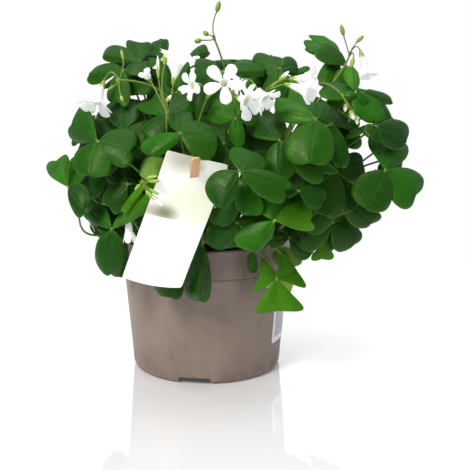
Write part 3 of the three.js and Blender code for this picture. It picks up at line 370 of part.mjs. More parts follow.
// ---------------------------------------------------------------- one trifoliate leaf
// Leaflets, pulvinus and stalk are one closed surface: the pulvinus is a three-sided prism, each
// leaflet grows out of one of its sides, and the stalk out of its underside.
function leafShell(row, base, only = -1) {
  const [, , , hx, hy, hz, nx, ny, nz, ax, ay, az, bx, by, bz, all] = row;
  const leaflets = only < 0 ? all : [all[only]];
  const H = V([hx, hy, hz]);
  const n = V([nx, ny, nz]).normalize();
  const e1 = new THREE.Vector3(0.3, 0.2, 1).cross(n).normalize();
  const e2 = new THREE.Vector3().crossVectors(n, e1);
  const flat = (v) => Math.atan2(v.dot(e2), v.dot(e1));
  const items = leaflets.map((l) => {
    const [ty, a0, a1, a2, b0, b1, b2, c0, c1, c2, u0, u1, u2] = l;
    const { yc, yn } = OUTLINE[ty];
    const N = V([a0, a1, a2]);
    const ax_ = add(N, H, -1).divideScalar(yn);
    const L = N.distanceTo(H);
    const mid = add(H, ax_, yc);
    const A = add(V([b0, b1, b2]), mid, -1), B = add(V([c0, c1, c2]), mid, -1);
    const up = V([u0, u1, u2]).normalize();
    const dir = ax_.clone().normalize();
    return { ty, yn, N, ax: ax_, L, up, dir, A, B, phi: flat(dir) };
  });
  items.sort((p, q) => p.phi - q.phi);
  const m = items.length;
  // three sides of the prism; a side with no leaflet is a plain wall
  const slots = [];
  if (m === 3) {
    for (let k = 0; k < 3; k++) slots.push(items[k]);
  } else if (m === 2) {
    const d01 = items[1].phi - items[0].phi;
    if (d01 <= Math.PI) slots.push(items[0], items[1], null); else slots.push(items[1], items[0], null);
  } else slots.push(items[0], null, null);
  const angle = slots.map((s) => (s ? s.phi : null));
  if (m === 2) angle[2] = (angle[0] + ((angle[1] - angle[0] + 2 * Math.PI) % (2 * Math.PI)) / 2) + Math.PI;
  if (m === 1) { angle[1] = angle[0] + 2.094; angle[2] = angle[0] + 4.189; }
  const s = new Shell();
  const grow = only < 0 ? 1 : 1 + 0.09 * only;      // keeps joined hubs from sharing faces
  const top = [], low = [], offs = [];
  for (let k = 0; k < 3; k++) {            // corner k lies between side k and side k + 1
    let d = angle[(k + 1) % 3] - angle[k];
    d = ((d % (2 * Math.PI)) + 2 * Math.PI) % (2 * Math.PI);
    const a = angle[k] + d / 2;
    const o = e1.clone().multiplyScalar(Math.cos(a)).addScaledVector(e2, Math.sin(a));
    offs.push(o);
    top.push(s.pt(add(add(H, o, HUB_R * grow), n, HUB_T * 0.35 * grow)));
    low.push(s.pt(add(add(H, o, HUB_R * grow), n, -HUB_T * 0.65 * grow)));
  }
  s.tri(top[0], top[1], top[2]);
  for (let k = 0; k < 3; k++) {
    const c0 = (k + 2) % 3, c1 = k;        // the two corners that bound side k
    const it = slots[k];
    if (!it) { s.quad(top[c1], top[c0], low[c0], low[c1]); continue; }
    const pts = OUTLINE[it.ty].pts;
    // which of the two halves lies towards corner c1 (the next leaflet)
    const turn = new THREE.Vector3().crossVectors(n, it.dir);
    const aNext = it.A.dot(turn) > it.B.dot(turn);
    const half = (C, other) => pts.map(([x, y]) => {
      const rise = it.L * ARCH * 4 * (0.25 - (Math.min(y, 1) - 0.5) ** 2) * (1 - x * x * 0.6);
      let f = x;
      // keep clear of the neighbouring leaflet
      if (other) {
        const half = it.dir.angleTo(other.dir) / 2 - 0.05;
        for (let guard = 0; guard < 60; guard++) {
          const q = it.ax.clone().multiplyScalar(y).addScaledVector(C, f);
          if (q.angleTo(it.dir) < half - 1.1 / q.length()) break;
          f *= 0.93;
        }
      }
      return add(add(add(H, it.ax, y), C, f), it.up, rise);
    });
    const prevOther = slots[(k + 2) % 3], nextOther = slots[(k + 1) % 3];
    const nextPts = half(aNext ? it.A : it.B, nextOther);
    const prevPts = half(aNext ? it.B : it.A, prevOther);
    const rim = [...prevPts, add(add(H, it.ax, it.yn), it.up, it.L * ARCH * 4 * (0.25 - (it.yn - 0.5) ** 2)), ...nextPts.slice().reverse()];
    const side = it.up.dot(n) < -0.2 ? -1 : 1;
    const tr = rim.map((v) => s.pt(v));
    const lr = rim.map((v) => s.pt(add(v, it.up, -BLADE_T * side)));
    const topLoop = [top[c0], ...tr, top[c1]];
    const lowLoop = [low[c0], ...lr, low[c1]];
    const tip = prevPts.length + 1;        // both faces fan out from the notch, along the fold
    for (let i = 0; i < topLoop.length; i++) {
      const j = (i + 1) % topLoop.length;
      if (i !== tip && j !== tip) {
        s.tri(topLoop[tip], topLoop[i], topLoop[j]);
        s.tri(lowLoop[tip], lowLoop[j], lowLoop[i]);
      }
      if (j !== 0) s.quad(topLoop[j], topLoop[i], lowLoop[i], lowLoop[j]);
    }
  }
  let last = low;
  if (only < 0) {
    const curve = bezier([base[0], base[1], BASE_Z], [ax, ay, az], [bx, by, bz], [hx, hy, hz]);
    for (const r of tubeRings(s, curve, STALK_R, 3, offs, STALK_TOL)) { joinRings(s, r, last); last = r; }
  }
  cap(s, last, true);
  return s;
}

// A leaf whose leaflets close over each other is joined from its leaflets and its stalk.
function leafSolid(row, base, overlapping) {
  if (!overlapping) return leafShell(row, base).solid();
  const hub = row.slice(3, 6);
  let body = tube(bezier([base[0], base[1], BASE_Z], row.slice(9, 12), row.slice(12, 15), hub), STALK_R, 3, STALK_TOL);
  row[15].forEach((l, k) => { body = body.add(leafShell(row, base, k).solid()); });
  return body;
}

// A closed prism around Z whose radius changes from r0 to r1.
function frustum(x, y, z0, z1, r0, r1, sides) {
  const g = new THREE.CylinderGeometry(r1, r0, z1 - z0, sides, 1);
  g.rotateX(Math.PI / 2);
  g.translate(x, y, (z0 + z1) / 2);
  return solidOf(g);
}

function bulb(base) { return frustum(base[0], base[1], BULB.z0, BULB.z1, BULB.r0, BULB.r1, 6); }

// ---------------------------------------------------------------- flowers and buds
function frameOf(axis) {
  const e1 = new THREE.Vector3().crossVectors(axis, new THREE.Vector3(0.1, 0.2, 1)).normalize();
  return [e1, new THREE.Vector3().crossVectors(axis, e1)];
}

// A five-petalled funnel: tube, hollow throat and petals in one closed surface.
function flower(B, M, R) {
  const axis = add(M, B, -1);
  const L = axis.length();
  axis.normalize();
  const [e1, e2] = frameOf(axis);
  const s = new Shell();
  const at = (r, a, d) => s.pt(add(add(add(B, axis, d), e1, r * Math.cos(a)), e2, r * Math.sin(a)));
  const five = [0, 1, 2, 3, 4];
  const seam = (k) => 2 * Math.PI * (k - 0.5) / 5 + 0.3;   // between petals k - 1 and k
  const foot = five.map((k) => at(0.9, seam(k), 0));
  const low = five.map((k) => at(2.5, seam(k), 0.72 * L - PETAL_T));
  const high = five.map((k) => at(2.2, seam(k), 0.72 * L + 0.1));
  const pit = s.pt(add(B, axis, 0.45 * L));
  cap(s, foot, true);
  joinRings(s, foot, low);
  for (const k of five) {
    const n = (k + 1) % 5, c = seam(k) + Math.PI / 5;
    const rim = [[R * 0.72, -0.43, 0.955], [R * 0.98, 0, 1.0], [R * 0.72, 0.43, 0.955]];
    const up = rim.map(([r, a, t]) => at(r, c + a, t * L));
    const dn = rim.map(([r, a, t]) => at(r, c + a, t * L - PETAL_T));
    s.tri(pit, high[k], high[n]);
    const a = [high[k], ...up, high[n]], b = [low[k], ...dn, low[n]];
    cap(s, a, false);
    cap(s, b, true);
    for (let i = 0; i < a.length - 1; i++) s.quad(b[i], b[i + 1], a[i + 1], a[i]);
  }
  return s.solid();
}

// A closed bud: a four-sided spindle.
function bud(B, M, r) {
  const axis = add(M, B, -1);
  const L = axis.length();
  axis.normalize();
  const [e1, e2] = frameOf(axis);
  const s = new Shell();
  const ring = (d, q) => [0, 1, 2, 3].map((k) => {
    const a = Math.PI * k / 2;
    return s.pt(add(add(add(B, axis, d), e1, q * Math.cos(a)), e2, q * Math.sin(a)));
  });
  const foot = s.pt(B), tip = s.pt(M), r1 = ring(0.35 * L, r), r2 = ring(0.75 * L, r * 0.75);
  for (let k = 0; k < 4; k++) {
    const n = (k + 1) % 4;
    s.tri(foot, r1[n], r1[k]);
    s.quad(r1[k], r1[n], r2[n], r2[k]);
    s.tri(tip, r2[k], r2[n]);
  }
  return s.solid();
}

// ---------------------------------------------------------------- pot, soil, tag, stick, label
const wallR = (z) => POT_FOOT_R + POT_TAPER * z;
const innerR = (z) => wallR(z) - POT_WALL;

function lathe(profile, sides) {
  const g = new THREE.LatheGeometry(profile.map(([r, z]) => new THREE.Vector2(r, z)), sides);
  g.rotateX(Math.PI / 2);      // the profile's height becomes +Z
  g.scale(1, -1, 1);
  const s = solidOf(flipIfNeeded(g));
  return s;
}

// A lathe whose profile runs the other way comes out inside out: turn its faces.
function flipIfNeeded(g) {
  const m = mergeVertices((() => { const q = g.clone(); q.deleteAttribute('normal'); q.deleteAttribute('uv'); return q; })(), 1e-4);
  const p = m.attributes.position, ix = m.index.array;
  let vol = 0;
  const a = new THREE.Vector3(), b = new THREE.Vector3(), c = new THREE.Vector3();
  const keep = [];
  for (let i = 0; i < ix.length; i += 3) {
    if (ix[i] === ix[i + 1] || ix[i + 1] === ix[i + 2] || ix[i] === ix[i + 2]) continue;
    a.fromBufferAttribute(p, ix[i]); b.fromBufferAttribute(p, ix[i + 1]); c.fromBufferAttribute(p, ix[i + 2]);
    vol += a.dot(b.clone().cross(c)) / 6;
    keep.push(ix[i], ix[i + 1], ix[i + 2]);
  }
  if (vol < 0) for (let i = 0; i < keep.length; i += 3) { const t = keep[i + 1]; keep[i + 1] = keep[i + 2]; keep[i + 2] = t; }
  const out = new THREE.BufferGeometry();
  out.setAttribute('position', p.clone());
  out.setIndex(keep);
  return out;
}

// An upright or slanted prism: outline points in the plane of two unit vectors, pushed along a third.
function prism(origin, ex, ey, ez, outline, d0, d1) {
  const s = new Shell();
  const a = outline.map(([x, y]) => s.pt(add(add(add(origin, ex, x), ey, y), ez, d0)));
  const b = outline.map(([x, y]) => s.pt(add(add(add(origin, ex, x), ey, y), ez, d1)));
  joinRings(s, a, b);
  cap(s, a, true);
  cap(s, b, false);
  return s.solid();
}

function pot() {
  const k = Math.sqrt(1 + POT_TAPER * POT_TAPER);
  const cr = POT_FOOT_R + POT_TAPER * POT_CORNER - POT_CORNER * k;
  const heel = [];
  for (const deg of [-90, -62, -34, -6]) {
    const a = THREE.MathUtils.degToRad(deg);
    heel.push([cr + POT_CORNER * Math.cos(a), POT_CORNER + POT_CORNER * Math.sin(a)]);
  }
  const profile = [
    [0, 0], [PAD_R, 0], [PAD_R + 1, FLOOR_LOW], [FOOT_IN_R - 0.5, FLOOR_LOW], [FOOT_IN_R, 0],
    ...heel,
    [wallR(BAND_Z - 0.6), BAND_Z - 0.6], [BAND_R, BAND_Z], [RIM_R, POT_HEIGHT - 1.0], [RIM_R - 0.7, POT_HEIGHT],
    [RIM_R - 1.6, POT_HEIGHT], [innerR(POT_HEIGHT - 2.0), POT_HEIGHT - 2.0],
    [innerR(FLOOR_TOP + 3), FLOOR_TOP + 3], [innerR(FLOOR_TOP) - 2.2, FLOOR_TOP], [0, FLOOR_TOP],
  ];
  let body = lathe(profile, POT_SIDES);
  const up = new THREE.Vector3(0, 0, 1);
  for (const deg of NOTCH_AZ) {
    const a = THREE.MathUtils.degToRad(deg);
    const out = new THREE.Vector3(Math.cos(a), Math.sin(a), 0);
    const side = new THREE.Vector3(-Math.sin(a), Math.cos(a), 0);
    const w0 = NOTCH.low / 2, w1 = NOTCH.top / 2;
    const e = (w0 - w1) / NOTCH.high;
    body = body.subtract(prism(out.clone().multiplyScalar(50), side, up, out, [[-w0 - e, -1], [w0 + e, -1], [w1 + 0.4, FLOOR_LOW - 0.6], [w1 - 0.4, FLOOR_LOW - 0.15], [-w1 + 0.4, FLOOR_LOW - 0.15], [-w1 - 0.4, FLOOR_LOW - 0.6]], -9, 9));
  }
  for (let i = 0; i < DRAIN.count; i++) {
    const a = 2 * Math.PI * (i + 0.5) / DRAIN.count;
    body = body.subtract(frustum(DRAIN.at * Math.cos(a), DRAIN.at * Math.sin(a), FLOOR_LOW - 1, FLOOR_TOP + 1, DRAIN.r, DRAIN.r, 6));
  }
  return body;
}

const stickAxis = add(V(STICK.top), V(STICK.soil), -1);
const stickLength = stickAxis.length();
stickAxis.normalize();
const stickSide = V(STICK.side).addScaledVector(stickAxis, -V(STICK.side).dot(stickAxis)).normalize();
const stickFace = new THREE.Vector3().crossVectors(stickAxis, stickSide).normalize();

function stick(grow) {
  const w = STICK.w / 2 + grow, low = -STICK.buried - grow, high = stickLength + grow;
  const outline = [[-w, low + 2], [-w * 0.45, low], [w * 0.45, low], [w, low + 2]];
  for (const deg of [0, 30, 60, 90, 120, 150, 180]) {
    const a = THREE.MathUtils.degToRad(deg);
    outline.push([w * Math.cos(a), high - w + w * Math.sin(a)]);
  }
  return prism(V(STICK.soil), stickSide, stickAxis, stickFace, outline, -STICK.t / 2 - grow, STICK.t / 2 + grow);
}

function soil() {
  const z0 = FLOOR_TOP + GAP;
  const profile = [
    [0, z0], [innerR(z0) - 2.2 - GAP * 1.6, z0], [innerR(z0 + 3) - GAP, z0 + 3], [innerR(SOIL_TOP) - GAP - 0.2, SOIL_TOP], [0, SOIL_TOP],
  ];
  return lathe(profile, POT_SIDES).subtract(stick(GAP));
}

function careTag() {
  const ex = V(TAG.across), ey = V(TAG.up);
  ey.addScaledVector(ex, -ex.dot(ey)).normalize();
  const ez = new THREE.Vector3().crossVectors(ex, ey);
  const w = TAG.w / 2, h = TAG.h / 2;
  const card = prism(V(TAG.centre), ex, ey, ez, [[-w, -h + 1], [-w + 1, -h], [w - 1, -h], [w, -h + 1], [w, h - 1], [w - 1, h], [-w + 1, h], [-w, h - 1]], -TAG.t / 2, TAG.t / 2);
  return card.subtract(stick(GAP));
}

function label() {
  const s = new Shell();
  const n = 8;
  const loops = [];
  for (let i = 0; i <= n; i++) {
    const a = THREE.MathUtils.degToRad(LABEL.az0 + (LABEL.az1 - LABEL.az0) * i / n);
    const c = new THREE.Vector3(Math.cos(a), Math.sin(a), 0);
    const at = (r, z) => s.pt(new THREE.Vector3(c.x * r, c.y * r, z));
    loops.push([
      at(wallR(LABEL.z0) + GAP, LABEL.z0), at(wallR(LABEL.z0) + GAP + LABEL.t, LABEL.z0),
      at(wallR(LABEL.z1) + GAP + LABEL.t, LABEL.z1), at(wallR(LABEL.z1) + GAP, LABEL.z1),
    ]);
  }
  for (let i = 0; i < n; i++) joinRings(s, loops[i], loops[i + 1]);
  cap(s, loops[0], true);
  cap(s, loops[n], false);
  return s.solid();
}

// ---------------------------------------------------------------- the assembly
const plant = new THREE.Group();
plant.name = 'potted_shamrock';

function place(name, solid, color, roughness) {
  const material = new THREE.MeshStandardMaterial({ color, roughness, metalness: 0 });
  const mesh = new THREE.Mesh(geometryOf(solid, name), material);
  mesh.name = name;
  plant.add(mesh);
}

place('pot', pot(), 0xa3968c, 0.6);
place('soil', soil(), 0x3b2a20, 0.95);
place('care_tag', careTag(), 0xf6f6ea, 0.5);
place('tag_stick', stick(0), 0xd9b48a, 0.7);
place('sticker', label(), 0xf2f2f2, 0.5);

const LEAF_COLOR = [0x1f5a20, 0x2c6f2a, 0x3a8a33, 0x6da21e, 0xa9c476];
const clumps = Math.max(...LEAVES.map((l) => l[0])) + 1;
for (let g = 0; g < clumps; g++) {
  const rows = LEAVES.filter((l) => l[0] === g);
  let body = bulb(BASES[g]);
  const from = starts(BASES[g], rows);
  rows.forEach((row, i) => { body = body.add(leafSolid(row, from[i], OVERLAPPING.includes(LEAVES.indexOf(row)))); });
  place(`shoot_${String(g + 1).padStart(2, '0')}`, body, LEAF_COLOR[rows[0][1]], 0.45);
}

STEMS.forEach(([J, h1, h2, heads], i) => {
  const base = BASES[clumps + i];
  let body = bulb(base).add(tube(bezier([base[0], base[1], BASE_Z], h1, h2, J), SCAPE_R, 3, STALK_TOL));
  const knot = new THREE.OctahedronGeometry(1.5);
  knot.translate(...J);
  body = body.add(solidOf(knot));
  for (const h of heads) {
    const B = V(h.slice(1, 4)), M = V(h.slice(4, 7));
    const axis = add(M, B, -1).normalize();
    body = body.add(tube(bezier(J, h.slice(9, 12), h.slice(12, 15), add(B, axis, 0.6).toArray()), PEDICEL_R, 3, 0.5));
    body = body.add(h[0] === 'F' ? flower(B, M, h[7]) : bud(B, M, Math.max(h[7], 1.0)));
  }
  place(`inflorescence_${String(i + 1).padStart(2, '0')}`, body, 0xf4f5ee, 0.5);
});

export default plant;
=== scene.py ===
import math

import bpy
import numpy as np
from mathutils import Matrix, Vector, noise


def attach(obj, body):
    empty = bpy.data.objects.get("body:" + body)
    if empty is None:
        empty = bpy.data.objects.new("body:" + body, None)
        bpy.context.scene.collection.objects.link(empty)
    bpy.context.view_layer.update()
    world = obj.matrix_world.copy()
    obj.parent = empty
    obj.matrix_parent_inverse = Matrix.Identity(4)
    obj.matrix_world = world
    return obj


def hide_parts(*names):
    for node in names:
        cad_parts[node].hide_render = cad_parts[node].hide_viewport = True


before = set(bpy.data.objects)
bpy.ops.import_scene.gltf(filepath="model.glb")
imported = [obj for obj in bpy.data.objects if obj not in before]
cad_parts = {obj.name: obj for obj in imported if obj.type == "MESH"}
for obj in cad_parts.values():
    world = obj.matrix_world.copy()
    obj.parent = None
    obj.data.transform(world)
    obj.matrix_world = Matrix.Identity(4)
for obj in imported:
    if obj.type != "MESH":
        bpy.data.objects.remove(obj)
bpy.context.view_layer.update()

MM = 0.001
RNG = np.random.default_rng(20)

# ============================================================ camera
scene = bpy.context.scene
cam_data = bpy.data.cameras.new("camera")
cam_data.sensor_fit = "HORIZONTAL"
cam_data.sensor_width = 36.0
cam_data.lens = 943.4 / 470 * 36.0
cam_data.clip_start, cam_data.clip_end = 0.01, 20.0
cam = bpy.data.objects.new("camera", cam_data)
scene.collection.objects.link(cam)
cam.location = (0.0203, -0.650, 0.2251)
cam.rotation_euler = (math.pi / 2 - 0.202, 0.0, 0.0)
scene.camera = cam
scene.view_settings.view_transform = "Standard"
scene.view_settings.look = "None"

# ============================================================ where everything grows (millimetres)
# One row a leaf: [clump, tone, outer leaf or not, hub, leaf normal, stalk handles,
#   leaflets: [outline, notch, corner A, corner B, leaflet normal], leaflet tones where they differ]; those tones are
#       partly the leaflet's own colour and partly painted light and shade, lighter where a leaflet is lit and darker
#       where it lies in shade
LEAVES = [
    [0,3,1,46.7,-66,76.9,0.201,-0.945,0.259,31.4,-55.5,109.8,42.2,-49.5,87.5,[[1,48.7,-68.2,56.3,32.7,-68.2,55.7,64.1,-69.1,57.9,-0.036,-0.994,0.101],[1,60.2,-59.7,81.2,65.7,-65.5,71.4,51.7,-59,94.3,0.275,-0.868,0.414],[1,36.2,-65.9,79.5,37.6,-59.9,89.9,32.4,-67,67.9,0.066,-0.954,0.293]],[2.75,2.75,2.75]],
    [0,4,1,55.1,-47.9,79.7,-0.243,0.908,-0.342,44.3,-63.2,107.8,54.1,-46.6,88,[[0,53.4,-39.2,91.9,64.8,-39.6,83.8,44.7,-43.9,84.8,0.196,-0.785,0.588],[0,46.6,-50.5,65.2,40.1,-48.1,73.5,56.9,-47.4,63.6,0.111,-0.988,0.111]],[3.7,3.7]],
    [0,1,1,22.6,-110.7,152.3,-0.029,-0.819,0.574,7.6,-63.9,140.4,24.7,-68.8,164.4,[[0,12.8,-117.1,131.2,4.1,-107.8,146.6,19.7,-113.1,138.1,-0.13,-0.931,0.34],[0,29.1,-98,162.4,37.8,-103.4,154.2,17.4,-96.4,162.8,0.096,-0.648,0.755],[0,49.2,-109.9,141.1,39.3,-113.4,135.2,46,-104.1,149.6,0.221,-0.862,0.457]]],
    [0,2,1,24.6,-98.4,143.5,-0.031,-0.882,0.469,6.8,-28.9,111.8,34.9,-56,136.4,[[0,29.3,-102.3,125,20.5,-99.2,131.6,37,-98.7,131.5,0.033,-0.976,0.215],[0,38.2,-87.9,152.6,40.6,-92.1,143.7,28.4,-85.9,154.6,0.168,-0.764,0.623],[0,8.7,-87.2,142.7,16,-84.7,149.4,11.2,-92.5,134.4,-0.507,-0.687,0.521]]],
    [1,3,1,43.6,-102,121.6,0.079,-0.903,0.423,13.3,-37.9,102.4,36.9,-93.8,91.2,[[0,65.9,-93.9,119.2,62.2,-95.7,114,58.8,-89.2,131.2,0.351,-0.851,0.391],[0,31.5,-104.9,103.2,22.1,-99.7,113.6,40.5,-101.9,109.8,-0.071,-0.977,0.2],[0,45.5,-90.6,134.4,53.9,-91.1,129.7,35.8,-95.2,127.9,0.105,-0.75,0.654]],[2.85,2.0,1.2]],
    [1,0,1,58.3,-95.9,138.3,0.069,-0.785,0.616,16.2,-50.5,113.5,52,-70.6,127.8,[[0,37.7,-88.6,140.2,46.3,-83.8,146.2,44.2,-94.1,133.2,-0.207,-0.749,0.629],[0,72.2,-95,130.9,64.9,-97.1,128.9,72,-88.7,139,0.305,-0.826,0.474],[0,61.5,-82.2,147.8,68.6,-85.4,142.8,52.8,-86.8,144.2,0.123,-0.585,0.802]]],
    [2,2,1,68.1,-90.7,180.5,0.058,-0.667,0.743,33.7,-44.1,114.9,52.8,-74.9,132.8,[[0,63.8,-106,156.3,50.2,-97.2,165.2,79,-97.8,163.5,0.015,-0.845,0.534],[0,44.5,-76.9,184.8,53.9,-68.8,191.5,53.1,-86.1,177.7,-0.212,-0.603,0.769],[0,73.9,-70.2,189.7,77,-77.6,184.8,68.5,-77.9,186,0.143,-0.443,0.885]],[1.1,2.3,1.6]],
    [2,1,1,79.7,-70.4,175.8,0.346,-0.742,0.574,47,-72.4,138.9,53.3,-93.5,167.4,[[0,85,-77.7,150.3,77.1,-75,161.6,89.9,-70.2,159.8,0.371,-0.869,0.327],[0,85.1,-44.7,182.2,92.5,-50.7,171.8,72.3,-49.8,185.2,0.515,-0.308,0.8],[0,57.8,-60.9,188.3,69.8,-53.5,189.4,55.9,-69.3,177.2,0.127,-0.671,0.73]]],
    [3,2,1,-62.9,-79.3,166.3,-0.354,-0.612,0.707,-12.1,-74,126.9,-28.8,-83.1,143.8,[[0,-81.5,-58.7,174.8,-73.3,-53.6,185,-81.6,-56.5,163.9,-0.62,-0.705,0.345],[0,-41.9,-86.6,161.7,-49.5,-90.1,152.5,-45,-73.4,173,-0.123,-0.756,0.643],[0,-66.5,-89.7,147,-78.6,-76.5,154.4,-53.9,-88.7,152.9,-0.36,-0.792,0.494]],[1.5,1.5,1.3]],
    [3,0,1,-48.2,-72.4,171.7,-0.204,-0.761,0.616,-7.9,-58.1,131.3,-28.4,-62.1,149.5,[[0,-51.8,-48.5,187.2,-39.1,-56.4,183.3,-62.6,-49.3,181.6,-0.227,-0.554,0.801],[0,-65.7,-74.4,151.3,-68.3,-64.6,161.3,-52.4,-78.8,149,-0.399,-0.813,0.424],[0,-21.3,-72.1,168.8,-29.1,-77.6,158.2,-27.2,-62.5,177.5,0.073,-0.79,0.609]]],
    [4,1,1,-56.6,-73.0,110.6,-0.34,-0.84,0.423,-27.5,-33.1,99.3,-53.7,-61.8,93.8,[[2,-59.9,-74.0,80.8,-68.0,-69.5,94.0,-50.3,-76.0,96.1,-0.351,-0.934,0.07],[0,-30.9,-95.5,132.5,-40.2,-84.0,131.8,-34.9,-90.0,123.0,-0.693,-0.717,0.075],[0,-72.5,-56.0,118.8,-63.2,-58.6,122.8,-74.3,-57.2,113.6,-0.523,-0.664,0.535]],[1.1,2.4,1.6]],
    [4,0,1,-50.9,-47,99.6,-0.172,-0.975,0.139,-35.8,-32.5,95.5,-45.1,-40.3,100.3,[[0,-56.7,-41.8,72.1,-63.3,-40.2,81.9,-50.4,-43.2,82.6,-0.216,-0.967,-0.136],[0,-30.7,-48,117.5,-27.4,-47.8,103.7,-43,-42.5,121.6,-0.172,-0.975,0.139],[0,-67.5,-34,116.4,-53.9,-35.2,120.1,-71,-34.6,102.8,-0.356,-0.877,0.324]]],
    [5,2,1,-11.7,-100,173.1,-0.062,-0.704,0.707,-10.7,-38.9,119.7,-8.2,-69,143.1,[[0,-28.6,-102.9,160.6,-32.1,-94.4,168.4,-16.9,-102.3,164,-0.257,-0.804,0.536],[0,9.8,-98.3,168.2,0,-105.6,158.6,-0.4,-88.5,179.1,0.202,-0.751,0.629],[0,-13.9,-80.2,183.8,-4.7,-85.6,180.6,-19.6,-86,178.9,-0.088,-0.482,0.872]],[1.7,0.9,1.2]],
    [5,1,1,-20.7,-79,180.7,-0.056,-0.64,0.766,4,-33.7,136.2,3.7,-82.7,146.9,[[0,-34.4,-81.9,171.4,-31.3,-74.6,179.2,-25.7,-86.6,166.5,-0.251,-0.757,0.604],[0,-7.6,-61.9,188,-7.2,-71,181.3,-15.9,-55.5,191.9,0.166,-0.492,0.854],[0,-31.6,-54.9,190,-25.6,-51.9,191.7,-39.2,-60.9,184.2,-0.198,-0.43,0.881]]],
    [6,1,1,113.4,-68.6,147.2,0.47,-0.671,0.574,73,-30,120.9,102.3,-46.5,132.2,[[0,119.3,-46.9,165.5,132.2,-41.5,155.3,106.6,-47.2,163,0.347,-0.66,0.667],[0,135.5,-59.7,130.7,122,-69.8,124.7,138.4,-45.7,142.2,0.586,-0.697,0.414],[2,100.7,-84.0,125.3,93.2,-77.3,139.7,116.2,-74.4,126.2,0.342,-0.849,0.402]],[2.0,1.8,0.6]],
    [6,0,1,107,-68.4,174.4,0.439,-0.628,0.643,48.2,-25.2,130.2,81,-43.1,149,[[0,128.5,-53.7,162.4,115,-67,161.3,127.6,-41.2,175.2,0.662,-0.581,0.473],[0,103.3,-73.8,167.6,100,-69.6,174.5,110,-70.6,166,0.327,-0.818,0.474],[0,94.4,-54.5,170.9,106.2,-50.4,170.2,90.8,-65.4,166.1,-0.262,0.008,0.965]]],
    [6,1,1,94.1,-48.5,169.5,0.397,-0.852,0.342,45.9,-17.5,122.9,80.1,-27.7,147.8,[[0,95,-49,158.7,87.7,-50.2,162.7,101.2,-44.3,164,0.391,-0.918,0.071],[0,97.5,-32,171.5,99.4,-35.7,163.4,90,-35.2,175.5,0.762,-0.232,0.605],[0,78.3,-42.4,167.9,83.7,-38.7,174.3,82.7,-44.7,160.3,-0.367,-0.845,0.39]]],
    [7,4,1,-31.5,-93,143.9,-0.262,-0.72,0.643,-14.1,-40.3,113.3,-34.6,-67.4,127.4,[[0,-28.8,-72.2,157.6,-21.5,-81.4,152,-38.3,-77.7,150.2,-0.202,-0.522,0.829],[0,-24.1,-83.6,131.1,-32.9,-86.4,129.8,-22,-81.3,140,0.577,-0.781,-0.237],[0,-47.2,-88.0,124.5,-44.9,-88.0,131.9,-40.5,-90.0,128.2,-0.373,-0.926,0.062]],[3.6,3.2,3.0]],
    [7,0,1,-44.7,-82.4,140.5,-0.18,-0.847,0.5,-15.7,-35.5,131.4,-24,-60.5,133.8,[[0,-56.6,-82.2,126.3,-59.6,-76.2,135.8,-47.9,-84,125.3,-0.342,-0.897,0.279],[0,-56.1,-67.3,150.1,-49.4,-71.6,147.6,-58.7,-72.8,141.5,-0.343,-0.678,0.65],[0,-37.6,-77.0,129.1,-43.5,-79.0,129.4,-37.0,-75.0,136.3,0.557,-0.829,-0.044]]],
    [8,3,1,100.3,-49.6,193.5,0.289,-0.544,0.788,56.2,-10.3,121.2,70.1,-24.2,161.8,[[0,122.4,-35.5,186.3,111.5,-43.2,188.1,114.2,-32.6,193.9,0.54,-0.505,0.673],[0,109.5,-59.3,176.1,93.8,-58.3,183.5,114.1,-48,184,0.354,-0.727,0.588],[0,77.2,-42.8,198.1,86.5,-34.2,199.8,79.2,-52.5,189.9,0.03,-0.486,0.873]],[1.0,1.9,1.5]],
    [8,3,1,95.8,-55.6,194.4,0.296,-0.814,0.5,45.6,-17,134.2,64.5,-11,158.1,[[0,94.9,-39.3,209.4,99.1,-42.5,203.8,89.1,-46.9,203.3,0.255,-0.647,0.719],[0,89.1,-54.9,192.4,90.3,-53.3,195.1,91.5,-55.8,190.2,-0.208,-0.888,0.409],[0,102.6,-56.1,189.4,99,-57.3,188.1,102.5,-53.4,192.4,0.296,-0.814,0.5]],[2.4,1.5,1.5]],
    [9,0,1,0.2,-71,101.4,-0.087,-0.992,0.087,3.8,-40.6,109.2,-1.4,-61.2,116,[[2,-1.6,-80.8,66.4,-12.6,-60.7,72.2,4.9,-62.1,70.6,-0.054,-0.961,0.272],[0,23.7,-64.5,113.1,23.1,-65,99,11.8,-62.1,120.3,0.159,-0.964,0.215],[0,-1.6,-52.3,103.3,6.9,-56.5,106.7,-5.2,-56.5,94.8,-0.692,-0.138,0.709]]],
    [9,0,1,-16.7,-73.8,89.8,-0.174,-0.985,0,-15.6,-35.3,100.2,-17.4,-55.4,102.6,[[2,-21.9,-75.5,67.2,-32.3,-63,72.8,-12.9,-66.8,68.5,-0.243,-0.933,-0.265],[0,-32.1,-63.6,109.5,-18.3,-65.2,112,-36.4,-62.1,96.1,-0.344,-0.915,0.209]]],
    [10,1,1,47.1,-88.9,167.3,0,-0.766,0.643,38.9,-35.6,137,58.7,-57.8,138.3,[[0,45.7,-97.2,148.6,39.3,-91,157.4,55.9,-93.9,151.8,-0.02,-0.913,0.407],[0,73.1,-93.9,148.8,60,-95,146.5,76.1,-86.4,155,0.19,-0.847,0.497],[0,35.9,-68.7,180.1,49.6,-68.8,178.8,28.3,-75.5,170.8,-0.121,-0.577,0.807]]],
    [10,0,1,36.8,-69.7,177.6,0.079,-0.903,0.423,30.8,-22.9,108.8,27.3,-43.1,139.9,[[0,32.6,-72.7,160.1,24.6,-69.2,167.1,45.5,-69.2,165.9,0.013,-0.986,0.165],[0,48.1,-55.6,175.1,45.8,-61.3,164.9,39.6,-53.2,183.3,0.729,-0.502,0.465],[0,23.5,-57.3,175.9,32,-53.8,183.5,26,-62.7,165.5,-0.619,-0.6,0.507]]],
